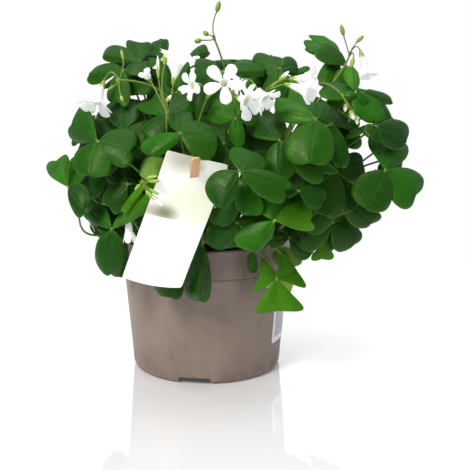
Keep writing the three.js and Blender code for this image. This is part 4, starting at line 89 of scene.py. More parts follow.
    [11,1,1,-50.7,-37.7,207.4,-0.198,-0.425,0.883,-20.5,3.7,120.6,-70.7,-1.4,187.6,[[0,-75.4,-23,203.8,-68,-8.7,210.5,-68.4,-31.6,199,-0.37,-0.415,0.831],[0,-52.6,-57.7,189,-60.7,-46.4,195.2,-45.3,-55.1,191.3,-0.188,-0.658,0.729],[0,-36,-30.4,209.8,-39,-40.5,203.7,-41.9,-21.6,213.4,0.08,-0.444,0.893]]],
    [11,0,0,-61.7,-10.5,173.3,-0.587,-0.153,0.795,-35.6,-7.8,115,-47.1,-11.9,144.2,[[0,-48.7,10.1,181.5,-42.1,-2.3,182.2,-59.2,12.4,172.5,-0.511,-0.021,0.859],[0,-78.2,-6.6,155,-72.2,4.4,160.3,-72.4,-18.9,155.7,-0.748,-0.122,0.652],[0,-50.5,-32.1,173.9,-60.2,-30.6,164.9,-43.8,-21.7,178.8,-0.539,-0.255,0.803]]],
    [12,2,1,-84.3,-65.1,136,-0.579,-0.579,0.574,-84.9,-15.3,124.5,-61.6,-53.3,125.5,[[0,-95,-41.7,149.5,-88.3,-35.2,150.6,-102.6,-37.6,142.4,-0.332,-0.58,0.744],[0,-72.6,-78.3,124.3,-79.5,-74.5,121.2,-71.6,-70.1,136.1,-0.428,-0.781,0.455],[0,-78.3,-53.4,146.4,-73.8,-63.1,141.4,-84.4,-54.2,151.7,0.111,-0.692,0.714]],[2.2,0.3,1.0]],
    [12,2,0,-79.7,-35.2,125.3,-0.91,-0.406,0.087,-57.7,-20.7,99.3,-70.7,-26.1,115.1,[[0,-84.7,-13.3,124.5,-80.2,-17.5,136.9,-82,-18.8,112.2,-0.972,-0.219,0.082],[0,-71.8,-43.6,106.8,-76.4,-31.1,105.5,-67,-49.5,117.8,-0.846,-0.517,-0.127],[0,-71.3,-42.6,143.4,-67.6,-49.3,132.8,-75.1,-30.1,144.2,-0.861,-0.461,0.212]],[0.5,0.5,0.5]],
    [13,3,1,14.8,-66.9,195,0.062,-0.704,0.707,9.5,-26.5,116.9,13.7,-45.7,149,[[0,18.5,-75.3,179.2,9.3,-70.4,186.7,23.4,-69.4,185.5,0.106,-0.868,0.486],[0,26.3,-54.6,188,23.9,-62.2,182.4,19,-51.3,193.7,0.718,-0.321,0.618],[0,4.7,-55.8,184.5,9.9,-51.7,191.7,9.1,-63.4,180.2,-0.833,-0.36,0.421]]],
    [13,0,1,1.9,-66.1,195,-0.071,-0.816,0.574,45.7,-27.2,142.6,5,-65.5,155.3,[[0,5.7,-73.5,174.2,-4.2,-68.7,181.7,11.1,-68.9,182.4,-0.025,-0.943,0.33],[0,8.6,-55.1,203.9,13.2,-59,198.3,0.5,-54.8,202.7,0.048,-0.648,0.76],[0,-7.1,-47.4,186.7,1.6,-46.2,194.8,-5.6,-56.6,179.2,-0.842,-0.182,0.509]]],
    [13,1,1,12.3,-58.4,206.8,0,-0.469,0.883,16.4,-22.4,121.1,52.7,-18.8,180.1,[[0,38,-45,206.4,30.3,-51.4,203.5,29.3,-35.3,212.4,0.251,-0.457,0.853],[0,-5.1,-41.7,208.8,1,-32.6,214.9,-0.6,-62.1,199.6,-0.308,-0.424,0.852],[0,4.5,-73.5,183.3,-2.9,-69.4,193.3,11.8,-72,191.7,-0.083,-0.825,0.559]]],
    [14,1,1,-42.1,-20.5,212.1,-0.097,-0.362,0.927,-23,-10.4,136.9,-26.3,-20.2,174,[[0,-68,-8,215.8,-58.9,6.7,222.3,-58,-13.9,212,-0.09,-0.449,0.889],[0,-43.7,5.7,224.3,-35.5,4.4,221.6,-54.3,8.4,223.6,0.008,-0.421,0.907],[0,-41.6,-41.8,192.4,-51.5,-31.9,200.9,-33.7,-35.6,199.8,-0.095,-0.676,0.731]]],
    [14,1,1,-29.5,-13,213.3,0,-0.574,0.819,-28.8,-7.3,122.7,-35.6,-9.8,166,[[0,-30.6,12.6,227,-25.5,17.1,222.9,-37.6,13.5,221.6,0.043,-0.472,0.881],[0,-24.7,-28.2,194.3,-31.1,-20.4,202.4,-21.3,-19.3,203,0.047,-0.774,0.632],[0,-55.3,-9.5,206.6,-48.7,1,213.1,-47.8,-18.8,199.3,-0.275,-0.56,0.781]]],
    [15,1,1,49.1,-36.8,208.7,0.092,-0.522,0.848,17.8,-0.1,112.4,35.6,-54.2,160.2,[[0,31.5,-20.2,213.4,40.9,-11.2,217.8,38.9,-38,204.3,-0.17,-0.433,0.885],[0,61.3,-26.1,209,57,-34.4,205.4,55.1,-19.9,216,0.414,-0.499,0.761],[0,46,-52.5,191.8,38,-45.8,197.7,53.9,-45.8,196.4,0.057,-0.736,0.674]]],
    [15,2,1,55.7,-34.9,202.9,0.087,-0.492,0.866,28.6,-20.9,124.2,39.8,-28.9,163.2,[[0,71,-12.1,206,64.8,-23.7,203.2,65.9,-8.3,208.6,0.314,-0.333,0.889],[0,30.9,-24.3,202.8,41.8,-15.8,205.7,33.2,-35.9,195.2,-0.173,-0.399,0.9],[0,59.2,-53.3,183.5,46,-49.1,186.4,69.9,-44.7,186.5,0.128,-0.708,0.695]]],
    [16,2,1,91.5,20.5,215.4,0.242,-0.664,0.707,38,12.8,127.5,65.1,23.9,178,[[0,70.4,28.5,221.5,75.8,35.6,226.4,77.1,23.7,216,-0.033,-0.656,0.754],[0,85,42.8,228.5,93.6,34.5,221.5,74.8,41.2,227.8,0.121,-0.475,0.872],[0,82.9,6.7,195.3,78.5,12.8,203.9,92.5,13.2,200.5,0.151,-0.844,0.515]]],
    [16,1,1,97.2,8,208.8,0.324,-0.694,0.643,48.2,13.3,132.4,80.1,5.1,173.5,[[0,93,-2.5,190.3,86.5,1.8,199.6,99.8,4.4,196.8,0.258,-0.864,0.432],[0,105.5,26.1,200.4,104.4,16.9,193.3,97,27.2,208.1,0.843,-0.146,0.518],[0,80.8,12.6,222.1,89.6,19.6,221.9,78.6,6.2,213,0.324,-0.694,0.643]]],
    [17,1,1,-11.1,-22.6,213.4,0.044,-0.498,0.866,-12,-6.1,124.5,-15.3,-8.2,164.5,[[0,2,2.5,219.6,-0.4,-8.8,214.5,-3.7,8.6,222.3,0.253,-0.354,0.9],[0,-14.3,-38.3,197.3,-20.5,-31.2,203.4,-8.8,-32.1,202.2,0.02,-0.717,0.696],[0,-25,-10.9,195,-17.4,-2.9,203.3,-19,-23.1,191.8,-0.841,-0.215,0.496]]],
    [17,0,1,-17,-37.8,193.5,-0.067,-0.763,0.643,-20.2,-12.6,125.2,-24.7,-19.1,167.8,[[0,-6.5,-45.2,176.8,-18.8,-42.4,179.8,-2.2,-38.1,186.5,0.058,-0.899,0.434],[0,-14.1,-19,184.5,-6.5,-27.1,182.3,-24.7,-22.8,185.5,0.249,0.387,0.888],[0,-36.7,-32.3,188.9,-31.1,-26.1,196,-31.2,-38.3,181.6,-0.339,-0.719,0.606]]],
    [18,0,1,82.5,-72.9,147.1,0.366,-0.785,0.5,150.5,-26.1,138.5,88.3,-58,138.2,[[0,102.3,-54.2,147.2,96.1,-64.4,138.4,94.7,-51.6,156.4,0.597,-0.63,0.496],[0,60.6,-65,160.8,72.5,-57.5,162.3,58.7,-72.5,148.9,0.148,-0.732,0.665],[2,76.4,-82.4,121.0,66.1,-80.1,131.5,88.5,-74.4,124.1,0.319,-0.912,0.257]]],
    [18,0,1,75.8,-73.9,137.3,0.224,-0.837,0.5,67.6,-31.3,109,44.2,-55.2,120.9,[[2,94.3,-70.2,122.2,79.1,-75.2,121.9,97.2,-62.3,132.4,0.427,-0.849,0.31],[0,73.9,-57.5,153.1,85.8,-57.2,146.1,61.8,-62.3,148.4,0.209,-0.664,0.718],[0,56.1,-78.1,126.5,54.8,-70.5,137.9,67.2,-78.7,118.4,-0.014,-0.923,0.384]]],
    [18,0,1,86.3,-69.8,129.8,0.453,-0.785,0.423,45.8,-74.3,106.5,72.9,-56.1,134.6,[[2,107.5,-58.4,110.9,94.7,-65.6,111.9,112.2,-52.8,118.5,0.555,-0.822,0.127],[0,79.8,-53.2,150,91.1,-50,142.1,69.6,-61.1,144.4,0.402,-0.64,0.655],[0,63.7,-73.4,115.5,62.6,-68.3,128.6,75.8,-71.4,108.5,0.04,-0.983,0.181]]],
    [19,0,1,82.2,-64.7,113.6,0.402,-0.862,0.309,41.6,-34.3,102.4,57.4,-39.2,106.9,[[2,97.0,-56.3,96.8,84,-63,95.1,102.1,-49.4,105.4,0.567,-0.819,0.087],[0,81.2,-51.3,131.9,91.7,-48.3,123.3,69,-57,128.4,0.405,-0.728,0.553],[0,61.7,-69.9,105.4,61.4,-64.2,118.1,71.3,-67.7,95.6,0.159,-0.963,0.218]]],
    [19,0,1,72.1,-65.3,109.2,0.246,-0.919,0.309,50.1,-44.4,103.9,69.5,-54.7,110.1,[[0,59.5,-67,100.5,57.7,-64,107.7,69.8,-65.7,96.4,0.017,-0.986,0.166],[0,85.5,-59.6,100.4,78,-62.7,95.3,84.5,-56.2,109.2,0.481,-0.86,0.172],[0,69.2,-56.2,123.3,77.6,-54.8,119,61.5,-59.2,118.6,0.207,-0.803,0.559]]],
    [19,3,1,76.4,-55,96,0.33,-0.908,0.259,40.6,-30,97.9,62.6,-40.3,101.2,[[0,76.6,-54.8,87.4,69.4,-55.6,88.2,84.8,-50.5,88.4,0.315,-0.949,-0.016],[0,80.9,-44.6,108.7,86.1,-44.3,101,72,-47.3,108.4,0.419,-0.769,0.483]]],
    [20,1,1,-58.9,-66.2,143.1,-0.366,-0.785,0.5,-39.8,-24.1,106.4,-57.1,-45.9,112.1,[[0,-74.2,-58,134.3,-76.7,-52.7,140.6,-66.4,-64.6,129.6,-0.577,-0.764,0.288],[0,-45.9,-73.4,130.5,-55.6,-70.7,126.4,-41.8,-68.7,139.5,-0.189,-0.923,0.335],[0,-50.8,-54.7,156.5,-43.9,-60.8,150.6,-60.6,-51.6,152.8,-0.261,-0.646,0.717]]],
    [20,0,0,-47.2,-53.1,136.2,-0.269,-0.887,0.376,-32.4,-27,103,-39.9,-38.7,124.5,[[0,-31.6,-43,152.4,-25.1,-49.1,140.7,-45.3,-37.7,153.1,-0.092,-0.803,0.588],[0,-66.6,-39.4,133.4,-58.9,-36.3,145,-61.9,-45.5,121.3,-0.574,-0.737,0.357],[0,-37.2,-58.6,115.7,-50.3,-53.9,114.7,-28.2,-55.8,126,-0.173,-0.969,0.176]]],
    [20,1,0,-31.4,-56.7,160.6,-0.303,-0.736,0.605,-8.2,-24.1,103.8,-15,-50.7,126.9,[[0,-34,-35.8,177,-19.7,-41,175.2,-45.2,-37.6,166.7,-0.326,-0.606,0.726],[0,-48.1,-57.9,141,-50.7,-47.2,150.9,-34.8,-64,138.4,-0.464,-0.767,0.443],[0,-8,-65.5,156.4,-17.6,-67.9,145.8,-9,-54.7,166.1,-0.189,-0.786,0.589]]],
    [21,1,1,21.5,-84.8,117.4,-0.086,-0.981,0.174,31.1,-61.6,115.7,29.7,-59.9,114.7,[[0,8.6,-80.5,99.6,3.6,-77.7,110.4,20.3,-81.8,105,-0.251,-0.967,-0.05],[0,43.3,-81.1,113.4,35.9,-81.5,104.3,39,-78.3,124,0.189,-0.974,0.129],[0,14.3,-74.6,136.1,25.9,-75.3,134.3,7.1,-75,126.8,-0.181,-0.89,0.419]]],
    [21,1,1,19.7,-89.1,132.4,-0.084,-0.962,0.259,14.1,-48.4,122.8,44.5,-72.4,122.7,[[0,10,-87.1,116,6.9,-84.6,124.2,20.3,-87.8,119.9,-0.225,-0.974,0.019],[0,38.4,-85.8,130.2,32.8,-87,122,34,-82.6,138.6,0.193,-0.952,0.237],[0,12.1,-79.1,146.7,22,-79.6,146.1,6.6,-80.3,138.4,-0.202,-0.851,0.485]]],
    [22,2,1,20.9,-88,180.8,-0.082,-0.936,0.342,3.4,-60.4,123.2,5.6,-65.2,153.8,[[0,22.1,-89.3,163.2,16.7,-86.9,172.4,26.3,-87.6,171.3,-0.061,-0.996,0.071],[0,30.7,-76.7,182.8,30.7,-80.4,175.6,23.4,-75.9,186.2,0.535,-0.577,0.617],[0,6.2,-79.5,186.1,14,-78,190.8,6.7,-82.3,177.2,-0.323,-0.838,0.441]]],
    [22,1,1,13.7,-88.4,166,-0.079,-0.903,0.423,5.9,-42.1,111.9,11.7,-73.1,141,[[0,9,-89.9,152.5,5.9,-86.8,160.5,14.3,-89.1,155.4,-0.162,-0.973,0.166],[0,26.6,-77.6,162.9,22.8,-81.9,155.8,20.6,-75.3,169.4,0.641,-0.645,0.416],[0,4,-78,175.3,12.8,-77.7,176.5,0.8,-80.9,167.5,-0.247,-0.764,0.596]]],
    [23,0,1,31.1,-64,95.4,0.087,-0.992,0.087,15.8,-27,96.7,25,-46.3,102.9,[[0,31.9,-60.9,79.5,28,-61.6,85.6,35.1,-60.9,85.5,0.096,-0.977,-0.191],[0,37.8,-57.5,109.6,42.7,-57.3,102.1,28.9,-57.9,108.9,0.203,-0.922,0.33]]],
    [23,0,0,49.5,-38.8,109.8,0.319,-0.556,-0.767,35.3,-25.2,98.5,43.4,-28.2,113.4,[[0,61.1,-16.5,104.1,45.8,-16.9,100.2,68.4,-24.8,115.4,0.4,-0.42,-0.815],[0,58.3,-51.2,129.6,66.6,-38.9,125.9,43.4,-53.7,126.9,0.406,-0.681,-0.61],[0,25.5,-40.9,105,30.3,-49.8,116.1,31.5,-27.8,100.6,0.21,-0.57,-0.795]]],
    [24,1,0,-75.5,71,165.1,-0.612,0.627,0.483,-35.3,40.3,113.8,-50.8,58.4,151.6,[[0,-63.8,85.6,144.6,-53.7,83.5,158.1,-76.5,75.6,139.5,-0.514,0.808,0.287],[0,-89.7,50.3,155.3,-86,61.7,144,-81.5,46.8,169.1,-0.835,0.395,0.384],[0,-58.4,63.5,183.8,-69.9,52.6,180.7,-52.6,74.7,173.8,-0.476,0.577,0.664]]],
    [24,1,0,-85.7,46.4,150.8,-0.78,0.375,0.501,-41.3,25.9,105.9,-59.9,37.7,131.4,[[0,-83.6,23.7,163.5,-90.5,22.9,149.9,-73.5,34.4,167.7,-0.776,0.251,0.579],[0,-68,64,155.3,-66.9,51.7,163.5,-74.4,64.8,142,-0.654,0.522,0.547],[0,-96.9,46.6,128.6,-87.6,57.5,130.9,-96.4,33.7,135.1,-0.826,0.377,0.419]]],
    [25,0,0,134.9,-7.4,148.3,0.978,-0.21,0.018,62.8,-2,119.2,98.1,-5.7,143.2,[[0,134.8,13.4,137.1,131.4,2.6,129.3,133.4,14.1,150.8,0.996,-0.038,-0.077],[0,128.8,-6.7,170.4,130.6,5.2,164.6,125.6,-18,164,0.942,-0.208,0.264],[0,127.9,-25.4,136.6,126,-26,149.6,128.9,-14.3,129.7,0.943,-0.328,-0.058]]],
    [25,0,0,124.5,-5.7,130,0.992,-0.104,-0.074,44.7,4,121.8,95.7,10.8,100.1,[[0,119.2,-28,141.9,119.5,-16.3,149.9,116.7,-27.4,128,0.972,-0.233,-0.005],[0,117.9,-3.8,105.9,115.9,-16,111.9,118.5,7.8,113,0.959,-0.091,-0.27],[0,125.3,14.9,143.3,122.7,16.3,130.2,122.8,3.5,149.9,0.999,-0.024,-0.022]]],
    [26,2,0,97.9,80.1,147.9,0.516,0.798,0.312,57.3,56.5,112,78.6,73.3,122.1,[[0,107.1,58.5,164,91.5,65,169.2,114.1,58.7,147.9,0.623,0.62,0.478],[0,103.4,76.1,121.2,112,65.5,131.6,88.4,83.7,124,0.609,0.793,0.007],[0,72.4,87.5,152.7,76.9,89,136.6,78.5,77.1,164.2,0.321,0.877,0.357]]],
    [26,1,0,70.5,84.8,144.5,0.432,0.842,0.323,38.2,55,108.3,58.1,73.6,124.2,[[0,86.9,67.2,156.4,72.8,69.3,163.9,89.8,69.4,140.7,0.526,0.755,0.391],[0,72.6,87.5,118.7,83.2,77.9,125.1,58.5,90.9,124.4,0.457,0.879,0.132],[0,47.8,89.5,155.2,48.4,92.4,140.1,56.5,79.5,162.9,0.352,0.862,0.363]]],
    [26,1,0,71.8,75,183.9,0.364,0.507,0.781,37.2,42.7,108.9,55.1,58,142.6,[[0,68.2,92,167.6,79.1,84.6,166.1,57.5,87.8,174.2,0.339,0.686,0.644],[0,52.4,64.9,191.3,51,75.5,184.3,62.8,57.4,190.5,0.138,0.402,0.905],[0,89.1,60.9,179.9,79.2,56.1,186.1,88.1,70.9,172.3,0.505,0.405,0.763]]],
    [27,1,0,17,101.6,148.9,-0.005,0.993,0.119,33.9,61.8,114.2,37.1,81.8,134.7,[[0,34.5,92.6,166.8,20.2,91.3,170.3,39.3,93.5,152.8,0.173,0.936,0.305],[0,24.3,96.4,124.7,34.4,94.9,134.8,10.3,95.6,127.4,0.087,0.979,-0.183],[0,-7.1,95.5,153.7,-3.3,96.1,140.1,2.1,93.3,164,-0.211,0.964,0.162]]],
    [27,0,0,20.8,83,170.5,0.176,0.708,0.684,10.9,53.7,109.1,16.1,65.5,140.3,[[0,17.6,64.3,182,6.4,70.1,177.7,29.7,65.4,176.6,0.142,0.499,0.855],[0,37.9,81.6,157.6,37.3,72.3,166.6,28,88.2,152.6,0.454,0.724,0.519],[0,3.7,90.2,160.7,14.5,92.2,154.4,1.4,81.1,169.2,-0.003,0.803,0.597]]],
    [27,2,0,51.9,84.5,120.2,0.069,0.95,-0.304,29.2,56.6,100,40.8,73.2,118.3,[[0,50.5,85.7,147.2,36.2,83.3,139.8,65.1,81.7,141.4,0.057,0.998,-0.04],[0,73.2,71.7,112.1,73.5,75.8,127.3,60.4,69.1,103.4,0.345,0.837,-0.424],[0,30.3,76.6,108.8,43.3,72,101.8,28.7,80.1,123.8,-0.115,0.905,-0.41]]],
    [28,0,0,-81.3,38.4,106.8,-0.703,0.519,-0.486,-54.8,29.1,100.3,-70.7,37.8,110.8,[[0,-59.9,51,101.4,-65.5,53.3,113.9,-62.3,39.3,94.3,-0.521,0.652,-0.55],[0,-81.9,15.6,97.6,-72.1,23.7,93.2,-88,17.5,109.6,-0.74,0.268,-0.617],[0,-89.3,40.5,129.5,-91.7,29,123.3,-79.3,48.4,126,-0.775,0.544,-0.321]]],
    [28,1,0,-67.3,66.5,119.1,-0.333,0.94,0.067,-45.1,36.1,100.2,-55.5,54,110.4,[[0,-42.8,68.5,107.5,-42.4,66.3,123.7,-54.6,63.9,97.4,-0.102,0.994,-0.045],[0,-84.4,52.8,104.2,-71.2,57.3,96.7,-85.9,50.4,119.8,-0.561,0.82,-0.113],[0,-67,59,144,-79.1,53.9,135.9,-53.2,62.9,138.2,-0.338,0.9,0.274]]],
    [29,2,0,25.5,53.3,211.5,0.095,0.268,0.959,19.6,34.8,132.6,21.8,46,176.6,[[0,-1.6,52.1,209,5.2,65.4,203.1,5.7,37.9,210.7,-0.103,0.264,0.959],[0,38,30.2,209.9,22.5,29.2,210.7,46.1,42.3,204.6,0.22,0.052,0.974],[0,37.4,73.5,200.8,45.8,60.9,201.7,22.2,74.1,200.3,0.164,0.386,0.908]]],
    [29,1,0,51.1,46.2,196.3,0.263,0.384,0.885,24.3,25.2,120.4,40,32.1,159,[[0,56.7,28.3,197.2,46.3,30,198.8,63.1,34.9,191.7,0.347,0.156,0.925],[0,59.8,55.8,183.5,63.9,46.5,185.8,49.8,58.2,185,0.423,0.564,0.709],[0,33.4,48.7,196.6,38.8,55.4,191.1,36.6,39.3,198.7,0.073,0.419,0.905]]],
    [30,2,0,103.3,41.7,106,0.702,0.47,-0.535,68.4,43.7,108.2,96,40.4,118,[[0,102.6,18.1,94.2,111,18.1,108.2,90.4,27.9,89.7,0.712,0.297,-0.637],[0,82.2,56.1,102.9,82.4,43,93.8,89.5,58.5,116.7,0.513,0.629,-0.584],[0,114.3,43,128.5,103.1,53.6,126.5,115.8,29.1,121.7,0.776,0.482,-0.407]]],
    [30,0,0,73.4,37.6,114.2,0.68,0.496,-0.54,48.9,26.6,104.2,64.6,33.9,113.4,[[0,86.6,32.5,136.7,76.3,44.8,137.7,85.6,20,126.6,0.805,0.466,-0.367],[0,67.5,16.7,100.3,77.4,14,112,57,28.1,99.3,0.643,0.291,-0.708],[0,55.4,55.3,115.4,52.7,44.4,105.1,63.8,54.1,128,0.572,0.618,-0.539]]],
    [31,1,0,119.7,37.3,181.9,0.543,0.3,0.784,60.7,20.6,122.2,97.1,29.8,150.8,[[0,98.5,55,183.8,109.8,59.2,172,95.1,39.6,189.8,0.42,0.414,0.807],[0,114.4,11.6,187.9,101.9,21.8,190.8,126.4,13.5,177,0.512,0.092,0.854],[0,138,41.8,163.5,136.7,26.4,167.7,126.7,53.2,164.4,0.629,0.323,0.707]]],
    [31,0,0,134.5,36.2,155.3,0.83,0.303,0.467,71.7,15.3,111.7,95,15.8,130.9,[[0,124.6,17.9,167.6,118,30.8,169.8,132.2,13.8,155.8,0.735,0.053,0.676],[0,138.7,28.8,133.5,137.1,18.4,142.9,133.3,42,134.2,0.973,0.198,0.119],[0,120.4,54.3,154.8,127.1,51.9,142.8,117.3,45,164.6,0.684,0.55,0.48]]],
    [32,1,0,-52.3,50.5,206.1,-0.158,0.285,0.946,-29.3,24,133.7,-40.6,30.3,177,[[0,-31.6,61.9,199.6,-29.8,47.6,203.1,-43.9,68.4,194.5,0.056,0.414,0.908],[0,-71,57.6,193.3,-59.4,66,192,-71.1,43.6,196.7,-0.414,0.392,0.821],[0,-50.5,27.5,208.4,-63,31.9,203.6,-38.2,34.1,207.1,-0.146,0.088,0.985]]],
    [32,0,0,-40.7,56.3,195.5,-0.136,0.238,0.962,-23,34.2,143.9,-18.7,40.8,175.1,[[0,-25.1,34.7,197.8,-39.5,32.2,195,-18.2,47.5,194.2,-0.027,0.087,0.996],[0,-29.3,77.3,185.5,-20.6,66.2,188.5,-43.4,75.8,182.8,-0.032,0.445,0.895],[0,-65,52.5,189.4,-59.4,64.9,185.4,-57.3,40.9,191.7,-0.271,0.219,0.937]]],
    [33,1,0,-49.5,85.8,149.1,-0.644,0.727,0.24,-33.9,55.1,105.7,-36.2,66.8,129.7,[[0,-58.3,77.4,125,-45.5,87.2,124.4,-62.5,67.9,137.3,-0.739,0.673,0.035],[0,-51.5,67.7,167.9,-59,64.2,154.7,-39.1,77.1,169.2,-0.693,0.554,0.461],[0,-27.5,99,149.1,-29.9,90.6,161.6,-33.3,96.3,135.2,-0.497,0.833,0.244]]],
    [33,0,0,-48.8,51.2,154.8,-0.733,0.668,0.131,-28.9,32.1,101.9,-33.7,37.5,128.6,[[0,-27.4,64.4,148.7,-27.9,59.7,163.8,-34.6,57.7,136.3,-0.511,0.857,0.064],[0,-54.8,35.3,136.3,-44.9,46.2,132.2,-56.9,29.5,150.4,-0.868,0.479,-0.131],[0,-47.2,39.7,176.5,-54.6,31.9,166.1,-36.6,50.1,174.3,-0.739,0.571,0.358]]],
    [34,1,0,-19.2,95.2,174.1,-0.304,0.679,0.668,-20.7,59.5,117.8,-19.7,72.9,151.6,[[0,-40,84.8,168.7,-35.4,93.5,160.2,-32.2,78.4,177,-0.472,0.609,0.637],[0,-4.2,82.2,186.1,-15.8,77.4,184.4,0.7,90.9,178.2,-0.155,0.563,0.812],[0,-10.4,109.6,159,-2.4,103.8,166.4,-21.7,105,156.5,-0.255,0.77,0.585]]],
    [34,1,0,-37.3,64.7,181.3,-0.231,0.565,0.792,-25.8,40.4,123.1,-27.7,40.4,159.4,[[0,-16,60.4,180.8,-23.2,51,185.2,-19.8,69.6,172.9,0.126,0.531,0.838],[0,-42,73.6,162.9,-30.2,74.2,166,-50,65,166.8,-0.352,0.804,0.479],[0,-47.8,47,182.9,-52.4,55.1,175.2,-36.2,46.4,186.1,-0.406,0.319,0.856]]],
    [34,1,0,-35.7,63.8,166.8,-0.282,0.778,0.562,-26.1,45,107,-23,41.3,169.3,[[0,-17,59.5,173.7,-25.5,52.4,177.7,-17.4,65.6,163.6,-0.071,0.75,0.658],[0,-36.1,70,148.1,-25.7,69.6,152.9,-45.1,63.7,151.3,-0.299,0.904,0.306],[0,-49.5,50.9,171.4,-50.9,56.1,161.6,-39.6,49.4,176.6,-0.418,0.669,0.615]]],
    [35,1,0,115.7,1.9,110.3,0.876,0.051,-0.479,69.2,6.1,107.2,104.6,1.6,115,[[0,111.6,-22.7,117.5,116.8,-13.3,129.3,103.5,-18.3,104.4,0.871,-0.266,-0.412],[0,96.6,9.4,95.6,97.9,-6,96.9,101.3,20.2,105.8,0.642,0.173,-0.747],[0,117.9,16.9,129.8,110.2,23,118.3,119.5,2.2,133.2,0.935,0.223,-0.276]]],
    [35,1,0,100.4,-9.9,122.5,0.882,-0.23,-0.411,49,1.2,100.2,79.5,-2.8,119.1,[[0,95.3,-23.8,143.1,100.3,-9.6,146.2,88,-28.5,130.4,0.873,-0.477,-0.106],[0,80.8,-13.1,108,82.8,-24,118,85.3,1.1,109.2,0.596,-0.317,-0.738],[0,100.3,13.2,129,93.2,10.5,116.5,102.5,4,140.1,0.935,0.098,-0.34]]],
    [36,2,0,113.8,-15.5,191.5,0.573,-0.026,0.819,47,-2.2,114.2,76.4,-10.1,150.3,[[0,114.9,8.4,179,123.2,-2.7,172.9,102.6,5.9,187.6,0.635,0.335,0.696],[0,88.3,-19.8,195.5,92.3,-5.7,193.7,96.1,-31.2,190.2,0.174,-0.107,0.979],[0,121.8,-33.4,175,110.1,-36.7,182.7,126,-19.9,172.1,0.715,-0.272,0.644]]],
    [36,1,0,91.9,3.3,178.7,0.562,-0.117,0.819,60.1,7.4,115.1,78.8,7.8,147.7,[[0,72.7,-11.7,182.6,70.3,2,185,82.7,-16.7,173.8,0.389,-0.269,0.881],[0,105.4,-3.2,160.1,96.3,-12.6,164.3,104.2,10.4,162.1,0.756,-0.203,0.622],[0,87.2,26.2,179.9,96.9,22.7,171.2,77.3,18.1,184,0.534,0.066,0.843]]],
    [37,2,0,4.7,88.7,131.3,0.079,0.987,0.142,1.5,47.1,101.7,2.8,72,118,[[0,2,84.6,109.5,13.2,82.8,114.2,-8.1,84.2,116.5,0.041,0.981,-0.192],[0,-12.2,80.2,141.9,-13.6,82.1,130.3,-1.5,78.7,146.8,-0.235,0.905,0.354],[0,22.7,80.2,138.6,13.4,79.4,145.5,21.7,81.4,127,0.331,0.911,0.248]]],
    [37,0,0,-4.9,92.3,149.6,-0.155,0.925,0.347,2.5,52.3,111.9,17.6,78.7,144.6,[[0,-23,89.1,131.7,-9.9,92.1,126.9,-25.5,83,144.4,-0.341,0.923,0.179],[0,-7.4,76.6,168.9,-18.3,77.5,160.2,5.6,79.7,165.1,-0.195,0.772,0.605],[0,17.9,94.1,141.2,16.5,88.1,153.3,8,94.7,131.9,0.03,0.958,0.284]]],
    [37,2,0,-7.3,33.1,157.8,-0.14,0.14,0.98,-2.9,31.5,113.3,-2.8,33,136.4,[[0,17.4,26,159.5,7.6,14.7,157.7,15.2,40.2,155.2,-0.037,0.111,0.993],[0,-12.4,56.1,149.8,1.8,52.9,150.6,-23.1,46.5,148,-0.175,0.29,0.941],[0,-24.6,16,156.4,-28.5,28.9,151.8,-11.2,11,156.8,-0.179,0.101,0.979]]],
    [38,2,0,-76.2,4,101.8,-0.634,0.491,-0.597,-53.4,1.6,99.2,-68.1,2.3,107.9,[[0,-86.6,-1.2,121.5,-85.5,-10.7,112.9,-78.7,8.9,121.8,-0.837,0.44,-0.325],[0,-58,15.9,106.7,-66.8,15.5,115.4,-56.7,7.2,97.9,-0.346,0.757,-0.555],[0,-70.3,-14,91.1,-62.3,-4.9,91,-78.7,-15.4,99.8,-0.581,0.263,-0.77]]],
    [38,0,0,-57.5,-7.8,118.8,0.631,-0.172,0.756,-43,-2,98.9,-52.9,-2.3,109.2,[[0,-41.1,10,117.7,-50.9,11.5,127.3,-37.1,-2.2,112.6,-0.466,0.383,-0.798],[0,-47.7,-29,115.7,-40.1,-18.5,112.3,-57.7,-28.5,124.7,-0.526,-0.121,-0.842],[0,-71.4,-6.8,137.2,-68.2,-18.9,133.1,-64.1,3.9,135,-0.78,0.186,-0.597]]],
    [39,1,0,-50.4,31,218.5,-0.149,0.057,0.987,-19.3,3,154,-47.4,15.5,202.4,[[0,-32.5,46.7,214.7,-29,33.6,215,-45,51,211.6,0.022,0.213,0.977],[0,-70.6,37.2,208.5,-61.2,46.4,208.7,-68.1,24.2,209,-0.408,0.137,0.903],[0,-44.9,8.9,216.5,-57,12,213.3,-35.1,17.2,216.3,-0.108,-0.118,0.987]]],
    [39,1,0,-53.9,12.5,206,-0.286,0.107,0.952,-30,14.4,132.2,-42.6,15.1,175.6,[[0,-29.9,8.6,204.5,-37.8,-2.1,203.3,-34.1,21,201.8,0.07,0.054,0.996],[0,-58.4,31.3,192.4,-46.2,29.9,196.6,-66.6,21.3,191.4,-0.399,0.47,0.787],[0,-65.2,-5.6,197.1,-69.6,5.9,194.1,-53.1,-7.5,200.6,-0.459,-0.14,0.877]]],
    [40,1,0,44.8,2.9,215.9,0.068,0.118,0.991,15.1,10.1,114.1,47.1,9.4,167.5,[[0,53.1,20.4,205.4,60.9,10.1,205.9,40.1,20.1,206.1,0.214,0.426,0.879],[0,24.7,0.4,208.9,29.5,11.9,207.3,31.4,-10.2,209.8,-0.337,0.079,0.938],[0,55.7,-14.3,210.8,43.5,-15.8,211.3,61.5,-3.6,208.6,0.237,-0.136,0.962]]],
    [40,1,0,6.1,19.6,211.6,0.025,0.099,0.995,6.1,8.6,127.8,10.5,13.8,171.8,[[0,0.2,38,206.8,11.6,35.9,205.4,-8.2,29.9,206.5,-0.022,0.248,0.969],[0,-6.9,5.4,209.3,-10.8,15.8,207.4,3.9,2.2,208.4,-0.118,-0.056,0.992],[0,24.4,15.2,209.6,17.4,6.6,209.2,21.8,25.6,207.2,0.128,0.075,0.989]]],
